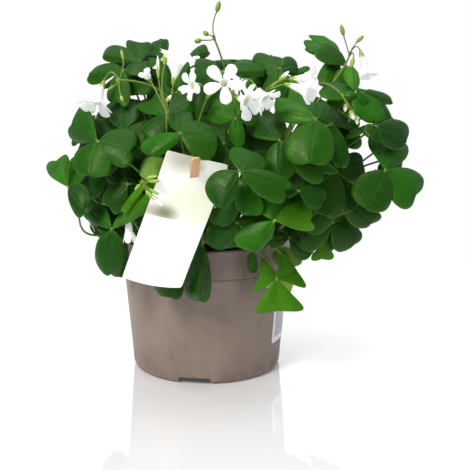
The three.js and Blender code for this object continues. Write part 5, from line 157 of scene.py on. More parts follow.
    [41,0,0,-68.8,-45.1,177.4,-0.535,-0.431,0.727,-38.1,-28.7,114.7,-33.8,-36,180.5,[[0,-84.8,-29.8,167,-75.9,-24.4,175.4,-82.4,-41.3,160.6,-0.704,-0.295,0.646],[0,-61.6,-62.6,163.1,-71.7,-55.6,159.1,-52.9,-58,171.5,-0.469,-0.665,0.581],[0,-51.9,-35.2,190,-49.1,-46,184.1,-61.3,-27.6,186,-0.412,-0.361,0.836]]],
    [41,0,0,-76.3,-30.1,167.3,-0.663,-0.395,0.636,-38.7,-14.8,118.2,-59.6,-22.8,146.7,[[0,-76.9,-8.5,171.4,-66.3,-14.9,176.9,-83.8,-12.1,160.4,-0.691,-0.154,0.706],[0,-82.7,-34.9,147.5,-85.5,-22.7,151.1,-73,-42.5,151.8,-0.79,-0.485,0.374],[0,-58.7,-39.8,173,-64.1,-44.7,162.5,-59.7,-27.8,177.5,-0.504,-0.498,0.706]]],
    [42,1,0,10.7,-7.3,173.1,-0.021,-0.014,1,7.9,-7.1,118.7,10.2,-8.3,144,[[0,36,4.1,169.5,35.7,-12.8,167.3,23,15.1,167.4,0.121,0.051,0.991],[0,-10.8,8.3,167.3,3.8,16.2,166.2,-13.6,-8,165.5,-0.189,0.108,0.976],[0,8.1,-33.6,170,-5.7,-25.3,167.6,23.4,-28.2,168.1,-0.031,-0.117,0.993]]],
    [42,1,0,1.6,-38,162.5,-0.189,-0.171,0.967,1,-21.8,111.7,1.7,-31.8,134.5,[[0,27.5,-29.9,159.6,24.8,-45.5,155.8,16.6,-17.9,159.1,0.134,-0.078,0.988],[0,-14,-19.2,152.4,0.6,-14.4,155.9,-18.3,-33.8,148.8,-0.447,0.108,0.888],[0,-2.6,-60.4,150.1,-14,-50.1,148.9,12.2,-57.2,152.7,-0.245,-0.433,0.868]]],
    [23,0,1,54.9,-58.0,102.6,-0.05,-0.87,0.49,18.2,-15.3,100.4,48.2,-47.0,100.6,[[2,68.9,-62.0,91.6,60.6,-59.8,89.3,68.9,-60.4,100.1,-0.201,-0.974,0.1],[2,41.3,-62.0,100.8,44.3,-59.8,106.9,46.5,-60.4,95.4,0.269,-0.958,0.103],[0,56.4,-52.0,113.2,60.6,-52.5,109.8,51.6,-53.1,111.0,0.118,-0.871,0.476]]],
    [36,1,0,97.3,14.0,177.7,0.05,-0.75,0.66,60.1,7.4,115.1,84.8,13.8,150.7,[[0,85.7,12.0,186.1,92.4,14.5,188.9,85.0,13.3,179.0,0.166,-0.986,-0.006],[0,101.7,8.0,166.3,95.1,11.5,166.6,106.5,10.3,171.4,-0.254,-0.892,0.373],[0,112.1,16.0,183.1,111.1,17.5,175.7,106.1,16.3,187.5,0.148,-0.988,-0.038]]],
]
BASES = [
    [11.1,-32], [14.8,-38.4], [25.9,-32], [-29.6,-25.6], [-25.9,-19.2], [-7.4,-25.6], [33.3,-19.2], [-14.8,-25.6],
    [37,-12.8], [0,-25.6], [14.8,-25.6], [-25.9,-6.4], [-37,-12.8], [3.7,-19.2], [-18.5,-6.4], [14.8,-12.8],
    [33.3,6.4], [-7.4,-12.8], [29.6,-25.6], [22.2,-25.6], [-18.5,-19.2], [7.4,-38.4], [3.7,-32], [11.1,-19.2],
    [-29.6,25.6], [40.7,-6.4], [25.9,32], [7.4,38.4], [-33.3,19.2], [11.1,19.2], [33.3,19.2], [37,12.8],
    [-22.2,25.6], [-25.9,32], [-18.5,32], [40.7,6.4], [37,0], [-3.7,32], [-29.6,0], [-22.2,12.8],
    [3.7,6.4], [-29.6,-12.8], [-3.7,-6.4], [-22.2,-25.6], [-3.7,-32], [0,-38.4], [7.4,-25.6], [18.5,-32],
    [3.7,-6.4], [33.3,-6.4], [-18.5,-32], [-25.9,-32], [25.9,-19.2], [-33.3,-19.2],
]
# One row a flower stem: [fork, stem handles, heads: [F flower or B bud, base, mouth, radius,
#   openness or colour, pedicel handles]]
STEMS = [
    [[-51,-62.9,202.1],[-4.7,-33.1,144.1],[0.3,-54.8,201.4],[["F",-60.7,-59.4,201.4,-66.3,-68.0,184.6,13.8,0.38,-54.4,-61.7,208.7,-57.7,-60.5,208.5],["B",-51,-36.9,213.7,-52.6,-35.5,220.6,1.1,1,-49.8,-55.6,205.8,-49.8,-47,209.7],["B",-53.5,-68.3,198.7,-57,-69.8,196.4,1.3,0,-51.2,-66.2,200.2,-52.1,-68,199.1],["B",-48,-79.8,193.3,-46.7,-81.5,190.1,1.2,1,-50.2,-70.3,197.6,-49.2,-75.9,194.6]]],
    [[-19.6,-93.2,184.2],[-2.1,-42.3,115.6],[-23.8,-85.2,148.1],[["F",-30.2,-76.3,202,-34.4,-78.1,208,4.8,0.3,-22.9,-89,190.1,-26.5,-83.3,196],["B",-22.3,-66.7,211.3,-22.6,-65.1,219,1.8,1,-23.6,-85.3,195.3,-24.5,-76.5,204.3],["B",-25.9,-72.5,203.1,-26.5,-69.6,217.3,1.4,2,-22.2,-88,188.8,-24.3,-81.1,195.1],["F",-16.5,-83,200.5,-12.8,-84.0,218.7,12.3,0.55,-17.7,-91.3,189.2,-16.7,-87.9,194.7],["B",-19.9,-92.4,190.5,-17.2,-91.6,194.5,1.5,2,-19.4,-94.2,186.8,-19.5,-93.9,188.9]]],
    [[3.8,-87.5,192.6],[-4.4,-48.7,108.8],[-12.7,-79.8,156],[["F",0.2,-85.9,200.1,-6.6,-92.1,199.8,9.3,0.85,4.2,-88.1,196.3,3,-87.5,198.8],["F",14.4,-85.7,200.1,13.7,-98.6,201.9,12.3,1.0,5.7,-88.5,194,9.3,-87.9,196.5,0.53]]],
    [[19.1,-78.8,195.6],[5.9,-37.5,120.9],[13.7,-78.3,137.5],[["F",20.3,-91.4,193.4,30.2,-99.1,190.6,10.8,0.62,19.1,-84.4,194.5,19.5,-88.6,193.8],["F",33.3,-87.9,197.8,40.2,-93.5,190.6,10.2,0.38,24.7,-81.4,205.4,29.4,-84.4,206.1]]],
    [[38.7,-85.2,196.5],[3.7,-62.2,156.4],[33.7,-64.4,197.7],[["B",41.6,-85.2,198.9,46.9,-84.4,202.9,1.1,0,39.2,-86.4,198.2,40.2,-86.4,198.9],["B",46.4,-83,202.3,52.4,-81.8,208.1,1.8,2,40.8,-85.6,199.3,43.4,-84.9,201.2],["F",52.5,-79.6,203.3,67.6,-84.1,204.2,9.6,0.7,42.8,-84.4,200.4,47.4,-82.5,202.7],["F",49.8,-87.1,200.7,65.2,-96.0,196.5,8.2,0.6,41.9,-87.1,198.4,45.6,-87.7,199.8]]],
    [[6.9,-20,226.9],[15.3,-6.9,116],[31.6,-13.5,167.5],[["B",8.6,-20,244.4,10.2,-18.6,251.4,2.0,0,5.1,-21.3,233,5.7,-21.3,238.8],["B",2.7,-22,229.4,-0.5,-21.5,232,1.9,0,6.2,-21.9,228.6,4.8,-22.5,229.4],["B",-1.8,-24,226.2,-6.3,-24.3,225,2.0,0,6,-22.8,226.2,3.1,-24.1,226]]],
    [[96.4,-12,216.5],[35,-21,160.8],[86.7,-24.7,190.7],[["B",92.1,-12,229.5,90.4,-10.5,236.6,1.8,0,95.2,-13.7,219.1,93.8,-13.7,223.5],["B",100.9,-14,225,105.5,-13.1,229.2,1.5,0,96.6,-14.1,218.9,98.1,-14.8,221.7],["F",103.1,-16,219.2,107.1,-21.5,202.4,8.0,0.45,98.9,-13.5,223,101.1,-14.9,223.9],["B",98.7,-15,214.6,96.7,-16.5,207.5,1.8,1,98.3,-13.7,218.9,99.1,-14.7,218.3]]],
    [[-33.3,-105.6,144.5],[-17.6,-47,126.7],[-21.1,-103.7,124.5],[["B",-30.5,-109.7,147.8,-24.1,-110.4,149.3,1.6,1.0,-32.2,-108.3,146,-31.3,-109.6,147.1],["B",-29.3,-110.9,146.2,-22.2,-112.8,146.8,1.2,1.0,-31.8,-108.7,145.5,-30.5,-110.4,146],["B",-29.4,-110.1,141.7,-22.9,-112.8,138.6,1.1,1.0,-31.9,-108.5,143.8,-30.6,-110,142.8],["B",-31.2,-110.3,140.5,-21.2,-114,132.4,1.7,2.0,-32.8,-108.5,143.4,-32.1,-110,142.1],["B",-34.9,-106.9,144.1,-38.1,-107.6,140.7,0.9,1,-33.7,-107.4,144.6,-34.2,-107.8,144.5]]],
    [[-44.3,-72.0,125.1],[-36.6,-49.0,97.2],[-46.3,-68.6,114.3],[["F",-45.9,-74.5,119.9,-45.1,-77.5,102.5,4.8,0.3,-45.8,-73.0,125.9,-45.9,-74.2,121.9]]],
    [[87,-56.2,192.6],[51.9,-24.5,126.2],[56.3,-24.3,226],[["B",88.7,-64.3,187.6,88.1,-65.3,182.7,1.8,2,87.4,-60.2,191.4,88,-62.9,189.7],["B",90.9,-67.5,183.5,93.2,-69.6,178.2,2.1,2,89,-61.3,189.6,90.3,-65.1,186.6],["B",94.7,-67.4,180.4,95.6,-68.5,175,1.5,2,90.3,-61.4,188.2,92.8,-65.1,184.1]]],
    [[-80.3,-50.8,118.2],[-61,-21.3,108.7],[-82.4,-49.9,87.4],[["B",-74.3,-66.6,126.7,-71.7,-67.1,129,1.3,1,-78.5,-57.3,121.7,-76.5,-62.5,124.6]]],
]
TAG = dict(centre=[-15.65,-96.0,119.39], across=[0.89688,0.35507,-0.26368], up=[0.34166,-0.17769,0.92287], w=38.84, h=85.68, t=0.5)
STICK = dict(soil=[-11.5,-35.5,84.0], top=[-1.92,-112.99,160.32], side=[0.95826,0.2518,0.13542], w=5.4, t=1.3, buried=30.0)
LABEL = dict(az0=-32.0, az1=8.0, z0=21.3, z1=46.0)
BASE_Z, BULB_SPREAD, ARCH = 85.0, 1.25, 0.06
POT_HEIGHT, POT_TAPER, POT_FOOT_R, POT_WALL, POT_CORNER = 93.4, 0.0853, 51.67, 1.2, 4.5
BAND_Z, BAND_R, RIM_R = 73.8, 59.2, 60.0
FLOOR_LOW, FLOOR_TOP, FOOT_IN_R, PAD_R = 5.0, 6.2, 45.0, 12.0
NOTCH_AZ, NOTCH = (-98, 22, 142), dict(low=24.8, top=20.8, high=5.3)
DRAIN = dict(count=6, r=3.5, at=33.0)
SOIL_TOP = 84.0


def wall_r(z):
    return POT_FOOT_R + POT_TAPER * z


def unit(v):
    v = np.asarray(v, float)
    return v / max(np.linalg.norm(v), 1e-12)


def smooth(a, b, x):
    t = np.clip((np.asarray(x, float) - a) / (b - a), 0, 1)
    return t * t * (3 - 2 * t)


def fnoise(p, scale, seed=0.0):
    """Smooth noise from -1 to 1 at points in millimetres."""
    p = np.asarray(p, float).reshape(-1, 3) * scale + seed * 17.31
    return np.array([noise.noise(Vector(q)) for q in p])


# ============================================================ mesh building
class Build:
    """Collects grids and tubes in millimetres and makes one object in metres. Every point carries
    ua = (across or around, along, random) and ub = (tone, kind, spare), which the materials read."""

    def __init__(self):
        self.v, self.a, self.b, self.uv, self.f, self.m = [], [], [], [], [], []
        self.n = 0
        self.patch = []          # faces' patch number, for the texture map
        self.npatch = 0
        self.rects = []          # each patch's size in millimetres

    def points(self, P, ua, ub):
        P = np.asarray(P, float).reshape(-1, 3)
        k = len(P)
        self.v.append(P)
        self.a.append(np.broadcast_to(np.asarray(ua, float), (k, 3)) if np.ndim(ua) < 2 else np.asarray(ua, float).reshape(-1, 3))
        self.b.append(np.broadcast_to(np.asarray(ub, float), (k, 3)) if np.ndim(ub) < 2 else np.asarray(ub, float).reshape(-1, 3))
        first = self.n
        self.n += k
        return first

    def grid(self, P, ua, ub, mat, out=None, wrap=False, centre=None):
        """P is (rows, columns, 3). Faces look along out, or away from centre (one point a row)."""
        P = np.asarray(P, float)
        r, c = P.shape[:2]
        first = self.points(P, ua, ub)
        idx = first + np.arange(r * c).reshape(r, c)
        if wrap:
            idx = np.concatenate([idx, idx[:, :1]], 1)
        q = np.stack([idx[:-1, :-1], idx[:-1, 1:], idx[1:, 1:], idx[1:, :-1]], -1).reshape(-1, 4)
        A, B, C, D = (P.reshape(-1, 3)[q[:, k] - first] for k in range(4))
        nrm = np.cross(C - A, D - B)
        if centre is not None:
            ctr = np.asarray(centre, float)
            rows = np.repeat(np.arange(r - 1), idx.shape[1] - 1)
            way = (A + B + C + D) / 4 - (ctr[rows] + ctr[rows + 1]) / 2
        else:
            way = np.broadcast_to(np.asarray(out, float), A.shape)
        if (nrm * way).sum() < 0:
            q = q[:, ::-1]
        self.faces(q, mat)
        return idx

    def faces(self, q, mat):
        q = np.asarray(q)
        self.f += [tuple(x) for x in q.tolist()]
        self.m += [mat] * len(q)

    def strip(self, a, b, mat, way):
        """Quads between two rows of point numbers, looking along way (one vector a step)."""
        a, b = np.asarray(a), np.asarray(b)
        P = np.concatenate(self.v)
        q = np.stack([a[:-1], a[1:], b[1:], b[:-1]], -1)
        nrm = np.cross(P[q[:, 2]] - P[q[:, 0]], P[q[:, 3]] - P[q[:, 1]])
        if (nrm * np.asarray(way)).sum() < 0:
            q = q[:, ::-1]
        self.faces(q, mat)

    def tube(self, C, R, sides, mat, ua_seed=0.0, ub=(0, 0, 0), squash=None, ends=True, y=(0.0, 1.0)):
        """A round tube along the points C with radii R."""
        C = np.asarray(C, float)
        R = np.broadcast_to(np.asarray(R, float), (len(C),))
        T = np.gradient(C, axis=0)
        T /= np.maximum(np.linalg.norm(T, axis=1, keepdims=True), 1e-9)
        e = np.cross(T[0], (0.31, 0.12, 1.0) if abs(T[0][2]) < 0.9 else (1.0, 0.2, 0.1))
        rings, frames = [], []
        for i in range(len(C)):
            e = e - T[i] * (e @ T[i])
            e = e / np.linalg.norm(e)
            g = np.cross(T[i], e)
            ang = np.arange(sides) * 2 * math.pi / sides
            rings.append(C[i] + R[i] * (np.cos(ang)[:, None] * e + np.sin(ang)[:, None] * g))
        P = np.array(rings)
        yy = np.linspace(y[0], y[1], len(C))
        ua = np.zeros(P.shape)
        ua[..., 0] = np.arange(sides) / sides
        ua[..., 1] = yy[:, None]
        ua[..., 2] = ua_seed
        idx = self.grid(P, ua, ub, mat, wrap=True, centre=C)
        if ends:
            for row, c, t, yv in ((idx[0], C[0] - T[0] * R[0] * 0.35, -T[0], y[0]), (idx[-1], C[-1] + T[-1] * R[-1] * 0.35, T[-1], y[1])):
                tip = self.points([c], (0.5, yv, ua_seed), ub)
                PP = np.concatenate(self.v[-40:]) if False else None
                tri = [(row[k], row[k + 1], tip) for k in range(sides)]
                a, b = P.reshape(-1, 3)[row[0] - idx[0, 0]], P.reshape(-1, 3)[row[1] - idx[0, 0]]
                if np.cross(b - a, c - a) @ t < 0:
                    tri = [(q[1], q[0], q[2]) for q in tri]
                self.f += [tuple(int(x) for x in q) for q in tri]
                self.m += [mat] * len(tri)
        return idx

    def make(self, name, mats, node=None, merge=True, smooth_shade=True):
        V = np.concatenate(self.v)
        A, B = np.concatenate(self.a), np.concatenate(self.b)
        F, M = self.f, self.m
        if merge:
            key = np.round(V * 2000).astype(np.int64)
            _, first, inv = np.unique(key, axis=0, return_index=True, return_inverse=True)
            inv = inv.reshape(-1)
            V, A, B = V[first], A[first], B[first]
            FF, MM_ = [], []
            seen = set()
            for f, m in zip(F, M):
                g = []
                for i in f:
                    k = int(inv[i])
                    if not g or g[-1] != k:
                        g.append(k)
                if len(g) > 1 and g[0] == g[-1]:
                    g.pop()
                if len(g) >= 3 and len(set(g)) == len(g):
                    t = tuple(sorted(g))
                    if t in seen:
                        continue
                    seen.add(t)
                    FF.append(tuple(g))
                    MM_.append(m)
            F, M = FF, MM_
        me = bpy.data.meshes.new(name)
        me.from_pydata((V * MM).tolist(), [], F)
        for mat in mats:
            me.materials.append(mat)
        me.polygons.foreach_set("material_index", np.array(M, np.int32))
        me.polygons.foreach_set("use_smooth", np.full(len(F), smooth_shade))
        for label, data in (("ua", A), ("ub", B)):
            at = me.attributes.new(label, "FLOAT_VECTOR", "POINT")
            at.data.foreach_set("vector", data.astype(np.float32).ravel())
        me.validate(clean_customdata=False)
        me.update()
        ob = bpy.data.objects.new(name, me)
        scene.collection.objects.link(ob)
        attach(ob, "root")
        if node:
            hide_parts(node)
        return ob


def bezier(a, b, c, d, n):
    t = np.linspace(0, 1, n)[:, None]
    a, b, c, d = (np.asarray(q, float) for q in (a, b, c, d))
    return (1 - t) ** 3 * a + 3 * (1 - t) ** 2 * t * b + 3 * (1 - t) * t * t * c + t ** 3 * d


def bezier_at(a, b, c, d, t):
    a, b, c, d = (np.asarray(q, float) for q in (a, b, c, d))
    return (1 - t) ** 3 * a + 3 * (1 - t) ** 2 * t * b + 3 * (1 - t) * t * t * c + t ** 3 * d


def spline(ctrl, n):
    """A smooth line through control points, evenly spaced along its length."""
    P = np.asarray(ctrl, float)
    Q = np.concatenate([[2 * P[0] - P[1]], P, [2 * P[-1] - P[-2]]])
    out = []
    for i in range(len(P) - 1):
        p0, p1, p2, p3 = Q[i:i + 4]
        for t in np.linspace(0, 1, 24, endpoint=False):
            out.append(0.5 * ((2 * p1) + (-p0 + p2) * t + (2 * p0 - 5 * p1 + 4 * p2 - p3) * t * t + (-p0 + 3 * p1 - 3 * p2 + p3) * t ** 3))
    out.append(P[-1])
    out = np.array(out)
    s = np.concatenate([[0], np.cumsum(np.linalg.norm(np.diff(out, axis=0), axis=1))])
    return np.stack([np.interp(np.linspace(0, s[-1], n), s, out[:, k]) for k in range(out.shape[1])], -1)


# ============================================================ materials
def material(name):
    m = bpy.data.materials.new(name)
    m.use_nodes = True
    nt = m.node_tree
    nt.nodes.clear()
    out = nt.nodes.new("ShaderNodeOutputMaterial")
    sh = nt.nodes.new("ShaderNodeBsdfPrincipled")
    nt.links.new(sh.outputs[0], out.inputs[0])
    return m, nt, sh


class Nodes:
    """Short hand for a material's nodes."""

    def __init__(self, nt):
        self.nt = nt

    def _in(self, socket, v):
        if isinstance(v, bpy.types.NodeSocket):
            self.nt.links.new(v, socket)
        elif v is not None:
            socket.default_value = v

    def attr(self, name):
        n = self.nt.nodes.new("ShaderNodeAttribute")
        n.attribute_type = "GEOMETRY"
        n.attribute_name = name
        s = self.nt.nodes.new("ShaderNodeSeparateXYZ")
        self.nt.links.new(n.outputs["Vector"], s.inputs[0])
        return s.outputs[0], s.outputs[1], s.outputs[2]

    def math(self, op, a, b=None, c=None, clamp=False):
        n = self.nt.nodes.new("ShaderNodeMath")
        n.operation = op
        n.use_clamp = clamp
        self._in(n.inputs[0], a)
        self._in(n.inputs[1], b)
        if c is not None:
            self._in(n.inputs[2], c)
        return n.outputs[0]

    def mapr(self, x, a, b, c=0.0, d=1.0, kind="SMOOTHSTEP"):
        n = self.nt.nodes.new("ShaderNodeMapRange")
        n.interpolation_type = kind
        n.clamp = True
        self._in(n.inputs[0], x)
        for k, v in zip((1, 2, 3, 4), (a, b, c, d)):
            n.inputs[k].default_value = v
        return n.outputs[0]

    def combine(self, x, y, z):
        n = self.nt.nodes.new("ShaderNodeCombineXYZ")
        for k, v in enumerate((x, y, z)):
            self._in(n.inputs[k], v)
        return n.outputs[0]

    def coords(self):
        return self.nt.nodes.new("ShaderNodeTexCoord").outputs["Object"]

    def noise(self, vec, scale, detail=4.0, rough=0.5, distortion=0.0):
        n = self.nt.nodes.new("ShaderNodeTexNoise")
        self._in(n.inputs["Vector"], vec)
        n.inputs["Scale"].default_value = scale
        n.inputs["Detail"].default_value = detail
        n.inputs["Roughness"].default_value = rough
        n.inputs["Distortion"].default_value = distortion
        return n.outputs["Fac"]

    def voronoi(self, vec, scale, feature="F1", random=1.0):
        n = self.nt.nodes.new("ShaderNodeTexVoronoi")
        n.feature = feature
        self._in(n.inputs["Vector"], vec)
        n.inputs["Scale"].default_value = scale
        n.inputs["Randomness"].default_value = random
        return n.outputs["Distance"], n.outputs.get("Color")

    def scale(self, vec, xyz):
        n = self.nt.nodes.new("ShaderNodeMapping")
        self._in(n.inputs["Vector"], vec)
        n.inputs["Scale"].default_value = xyz
        return n.outputs[0]

    def ramp(self, x, stops, kind="LINEAR"):
        n = self.nt.nodes.new("ShaderNodeValToRGB")
        n.color_ramp.interpolation = kind
        el = n.color_ramp.elements
        while len(el) < len(stops):
            el.new(0.5)
        for e, (p, c) in zip(el, stops):
            e.position = p
            e.color = (*c, 1.0)
        self._in(n.inputs[0], x)
        return n.outputs[0]

    def mix(self, f, a, b, kind="MIX"):
        n = self.nt.nodes.new("ShaderNodeMix")
        n.data_type = "RGBA"
        n.blend_type = kind
        n.clamp_factor = True
        self._in(n.inputs[0], f)
        for k, v in ((6, a), (7, b)):
            self._in(n.inputs[k], (*v, 1.0) if isinstance(v, tuple) and len(v) == 3 else v)
        return n.outputs[2]

    def bump(self, height, strength, distance):
        n = self.nt.nodes.new("ShaderNodeBump")
        n.inputs["Strength"].default_value = strength
        n.inputs["Distance"].default_value = distance
        self._in(n.inputs["Height"], height)
        return n.outputs[0]


def srgb(r, g, b):
    def lin(c):
        c /= 255.0
        return c / 12.92 if c <= 0.04045 else ((c + 0.055) / 1.055) ** 2.4
    return (lin(r), lin(g), lin(b))


def leaf_material():
    m, nt, sh = material("leaf_blade")
    N = Nodes(nt)
    t, s, seed = N.attr("ua")            # from midrib to margin, along the row of a side vein, random
    tone, under, edge = N.attr("ub")
    pos = N.coords()
    shade = N.math("DIVIDE", tone, 4.0)
    top = N.ramp(shade, [(0.0, LEAF_TOP[0]), (0.25, LEAF_TOP[1]), (0.5, LEAF_TOP[2]), (0.75, LEAF_TOP[3]), (1.0, LEAF_TOP[4])])
    low = N.ramp(shade, [(0.0, LEAF_LOW[0]), (0.25, LEAF_LOW[1]), (0.5, LEAF_LOW[2]), (0.75, LEAF_LOW[3]), (1.0, LEAF_LOW[4])])
    # mottling: broad patches, then fine grain of the skin
    broad = N.noise(N.scale(pos, (1, 1, 1)), 75.0, 3.0, 0.6)
    fine = N.noise(pos, 900.0, 4.0, 0.6)
    top = N.mix(N.mapr(broad, 0.35, 0.7, 0.0, 0.38), top, LEAF_DEEP, "MIX")
    top = N.mix(N.mapr(fine, 0.42, 0.72, 0.0, 0.28), top, LEAF_GLOW, "MIX")
    # side veins run along rows of constant s, a little wavy, and fade at the margin
    wave = N.noise(pos, 260.0, 2.0, 0.5)
    row = N.math("ADD", N.math("MULTIPLY", s, 8.0), N.math("MULTIPLY", wave, 0.55))
    saw = N.math("ABSOLUTE", N.math("SUBTRACT", N.math("FRACT", row), 0.5))
    vein = N.mapr(saw, 0.0, 0.085, 1.0, 0.0)
    vein = N.math("MULTIPLY", vein, N.mapr(t, 0.55, 0.95, 1.0, 0.0))
    # net of small veins between them
    dist, _ = N.voronoi(N.scale(pos, (1, 1, 1)), 520.0, "DISTANCE_TO_EDGE")
    net = N.mapr(dist, 0.0, 0.09, 1.0, 0.0)
    rib = N.mapr(t, 0.0, 0.032, 1.0, 0.0)
    rib = N.math("MULTIPLY", rib, N.mapr(s, 0.75, 1.0, 1.0, 0.25))
    lines = N.math("MAXIMUM", N.math("MULTIPLY", vein, 0.22), N.math("MULTIPLY", rib, 0.70))
    lines = N.math("MAXIMUM", lines, N.math("MULTIPLY", net, 0.13))
    hue = N.math("FRACT", N.math("MULTIPLY", seed, 7.31))
    top = N.mix(N.math("MULTIPLY", N.mapr(hue, 0.45, 0.95, 0.0, 0.75), N.mapr(tone, 2.2, 1.2, 0.0, 1.0)), top, LEAF_BLUE)
    # lighter towards the margin, darker beside the midrib
    top = N.mix(N.mapr(t, 0.55, 1.0, 0.0, 0.22), top, LEAF_GLOW)
    colour = N.mix(under, top, low)
    colour = N.mix(N.math("MULTIPLY", lines, 0.42), colour, VEIN)
    # a thin paler line along the cut edge
    rim = N.mapr(edge, 0.955, 1.0, 0.0, 0.35)
    colour = N.mix(rim, colour, RIM_TINT)
    base = N.mapr(s, 0.0, 0.07, 0.40, 0.0)
    colour = N.mix(base, colour, VEIN)
    nt.links.new(colour, sh.inputs["Base Color"])
    rough = N.mapr(N.noise(pos, 180.0, 3.0, 0.55), 0.3, 0.75, 0.27, 0.50)
    rough = N.math("ADD", rough, N.math("MULTIPLY", under, 0.16))
    nt.links.new(rough, sh.inputs["Roughness"])
    sh.inputs["Specular IOR Level"].default_value = 0.20
    sh.inputs["Specular Tint"].default_value = (0.82, 1.0, 0.50, 1.0)
    sh.inputs["Subsurface Weight"].default_value = 0.16
    sh.inputs["Subsurface Radius"].default_value = (0.35, 0.9, 0.05)
    sh.inputs["Subsurface Scale"].default_value = 0.0016
    height = N.math("SUBTRACT", N.math("MULTIPLY", fine, 0.25), N.math("MULTIPLY", lines, 0.8))
    height = N.math("ADD", height, N.math("MULTIPLY", broad, 0.6))
    nt.links.new(N.bump(height, 0.55, 0.0006), sh.inputs["Normal"])
    return m


def stalk_material():
    m, nt, sh = material("stalk")
    N = Nodes(nt)
    a, y, seed = N.attr("ua")
    tone, kind, spare = N.attr("ub")
    pos = N.coords()
    grain = N.noise(N.scale(pos, (1, 1, 0.25)), 1400.0, 3.0, 0.6)
    blot = N.noise(pos, 260.0, 3.0, 0.6)
    green = N.ramp(N.math("DIVIDE", tone, 4.0), [(0.0, STALK_C[0]), (0.5, STALK_C[1]), (1.0, STALK_C[2])])
    lower = N.mix(N.mapr(y, 0.0, 0.55, 1.0, 0.0), green, STALK_LOW)
    lower = N.mix(N.mapr(blot, 0.45, 0.7, 0.0, 0.45), lower, STALK_RED)
    lower = N.mix(N.mapr(grain, 0.4, 0.75, 0.0, 0.35), lower, STALK_PALE)
    nt.links.new(lower, sh.inputs["Base Color"])
    nt.links.new(N.mapr(grain, 0.3, 0.8, 0.38, 0.58), sh.inputs["Roughness"])
    sh.inputs["Subsurface Weight"].default_value = 0.12
    sh.inputs["Subsurface Radius"].default_value = (0.5, 0.9, 0.3)
    sh.inputs["Subsurface Scale"].default_value = 0.0012
    nt.links.new(N.bump(grain, 0.3, 0.0002), sh.inputs["Normal"])
    return m


def hub_material():
    m, nt, sh = material("leaf_joint")
    N = Nodes(nt)
    pos = N.coords()
    tone, kind, spare = N.attr("ub")
    g = N.noise(pos, 900.0, 3.0, 0.6)
    c = N.ramp(g, [(0.3, srgb(62, 98, 26)), (0.7, srgb(126, 146, 58))])
    c = N.mix(N.mapr(tone, 2.4, 3.0, 0.0, 0.6), c, srgb(160, 184, 80))
    nt.links.new(c, sh.inputs["Base Color"])
    nt.links.new(N.mapr(g, 0.3, 0.8, 0.42, 0.6), sh.inputs["Roughness"])
    sh.inputs["Subsurface Weight"].default_value = 0.15
    sh.inputs["Subsurface Scale"].default_value = 0.001
    nt.links.new(N.bump(g, 0.4, 0.0002), sh.inputs["Normal"])
    return m


def bulb_material():
    m, nt, sh = material("bulb_scale")
    N = Nodes(nt)
    a, y, seed = N.attr("ua")
    pos = N.coords()
    g = N.noise(N.scale(pos, (1, 1, 0.3)), 1100.0, 4.0, 0.65)
    c = N.ramp(g, [(0.25, srgb(74, 46, 34)), (0.55, srgb(132, 88, 66)), (0.8, srgb(176, 140, 112))])
    c = N.mix(N.mapr(y, 0.4, 1.0, 0.0, 0.75), c, srgb(142, 120, 84))
    nt.links.new(c, sh.inputs["Base Color"])
    nt.links.new(N.mapr(g, 0.3, 0.8, 0.55, 0.8), sh.inputs["Roughness"])
    nt.links.new(N.bump(g, 0.6, 0.0003), sh.inputs["Normal"])
    return m


def petal_material():
    m, nt, sh = material("petal")
    N = Nodes(nt)
    x, y, seed = N.attr("ua")            # across -1..1, along 0 throat .. 1 tip
    tone, kind, spare = N.attr("ub")
    pos = N.coords()
    line = N.math("ADD", N.math("MULTIPLY", x, 5.5), N.math("MULTIPLY", N.noise(pos, 500.0, 2.0, 0.5), 0.5))
    vein = N.mapr(N.math("ABSOLUTE", N.math("SUBTRACT", N.math("FRACT", line), 0.5)), 0.0, 0.16, 1.0, 0.0)
    vein = N.math("MULTIPLY", vein, N.mapr(y, 0.35, 0.95, 1.0, 0.15))
    g = N.noise(pos, 700.0, 3.0, 0.55)
    c = N.mix(N.mapr(g, 0.35, 0.75, 0.0, 0.5), PETAL, PETAL_SHADE)
    c = N.mix(N.math("MULTIPLY", vein, 0.16), c, srgb(196, 206, 196))
    c = N.mix(N.mapr(y, -0.72, -0.34, 0.75, 0.0), c, THROAT)
    c = N.mix(N.math("MULTIPLY", kind, N.mapr(y, -0.30, 0.16, 0.9, 0.55)), c, THROAT_DEEP)
    nt.links.new(c, sh.inputs["Base Color"])
    nt.links.new(N.mapr(g, 0.3, 0.8, 0.42, 0.62), sh.inputs["Roughness"])
    sh.inputs["Subsurface Weight"].default_value = 0.6
    sh.inputs["Subsurface Radius"].default_value = (1.0, 1.0, 1.0)
    sh.inputs["Subsurface Scale"].default_value = 0.004
    # painted light: a faint white glow that brightens the petals' shaded sides, as if lit through from behind
    sh.inputs["Emission Color"].default_value = (1.0, 1.0, 0.99, 1.0)
    sh.inputs["Emission Strength"].default_value = 0.20
    sh.inputs["Specular IOR Level"].default_value = 0.3
    nt.links.new(N.bump(N.math("ADD", vein, g), 0.35, 0.0003), sh.inputs["Normal"])
    return m


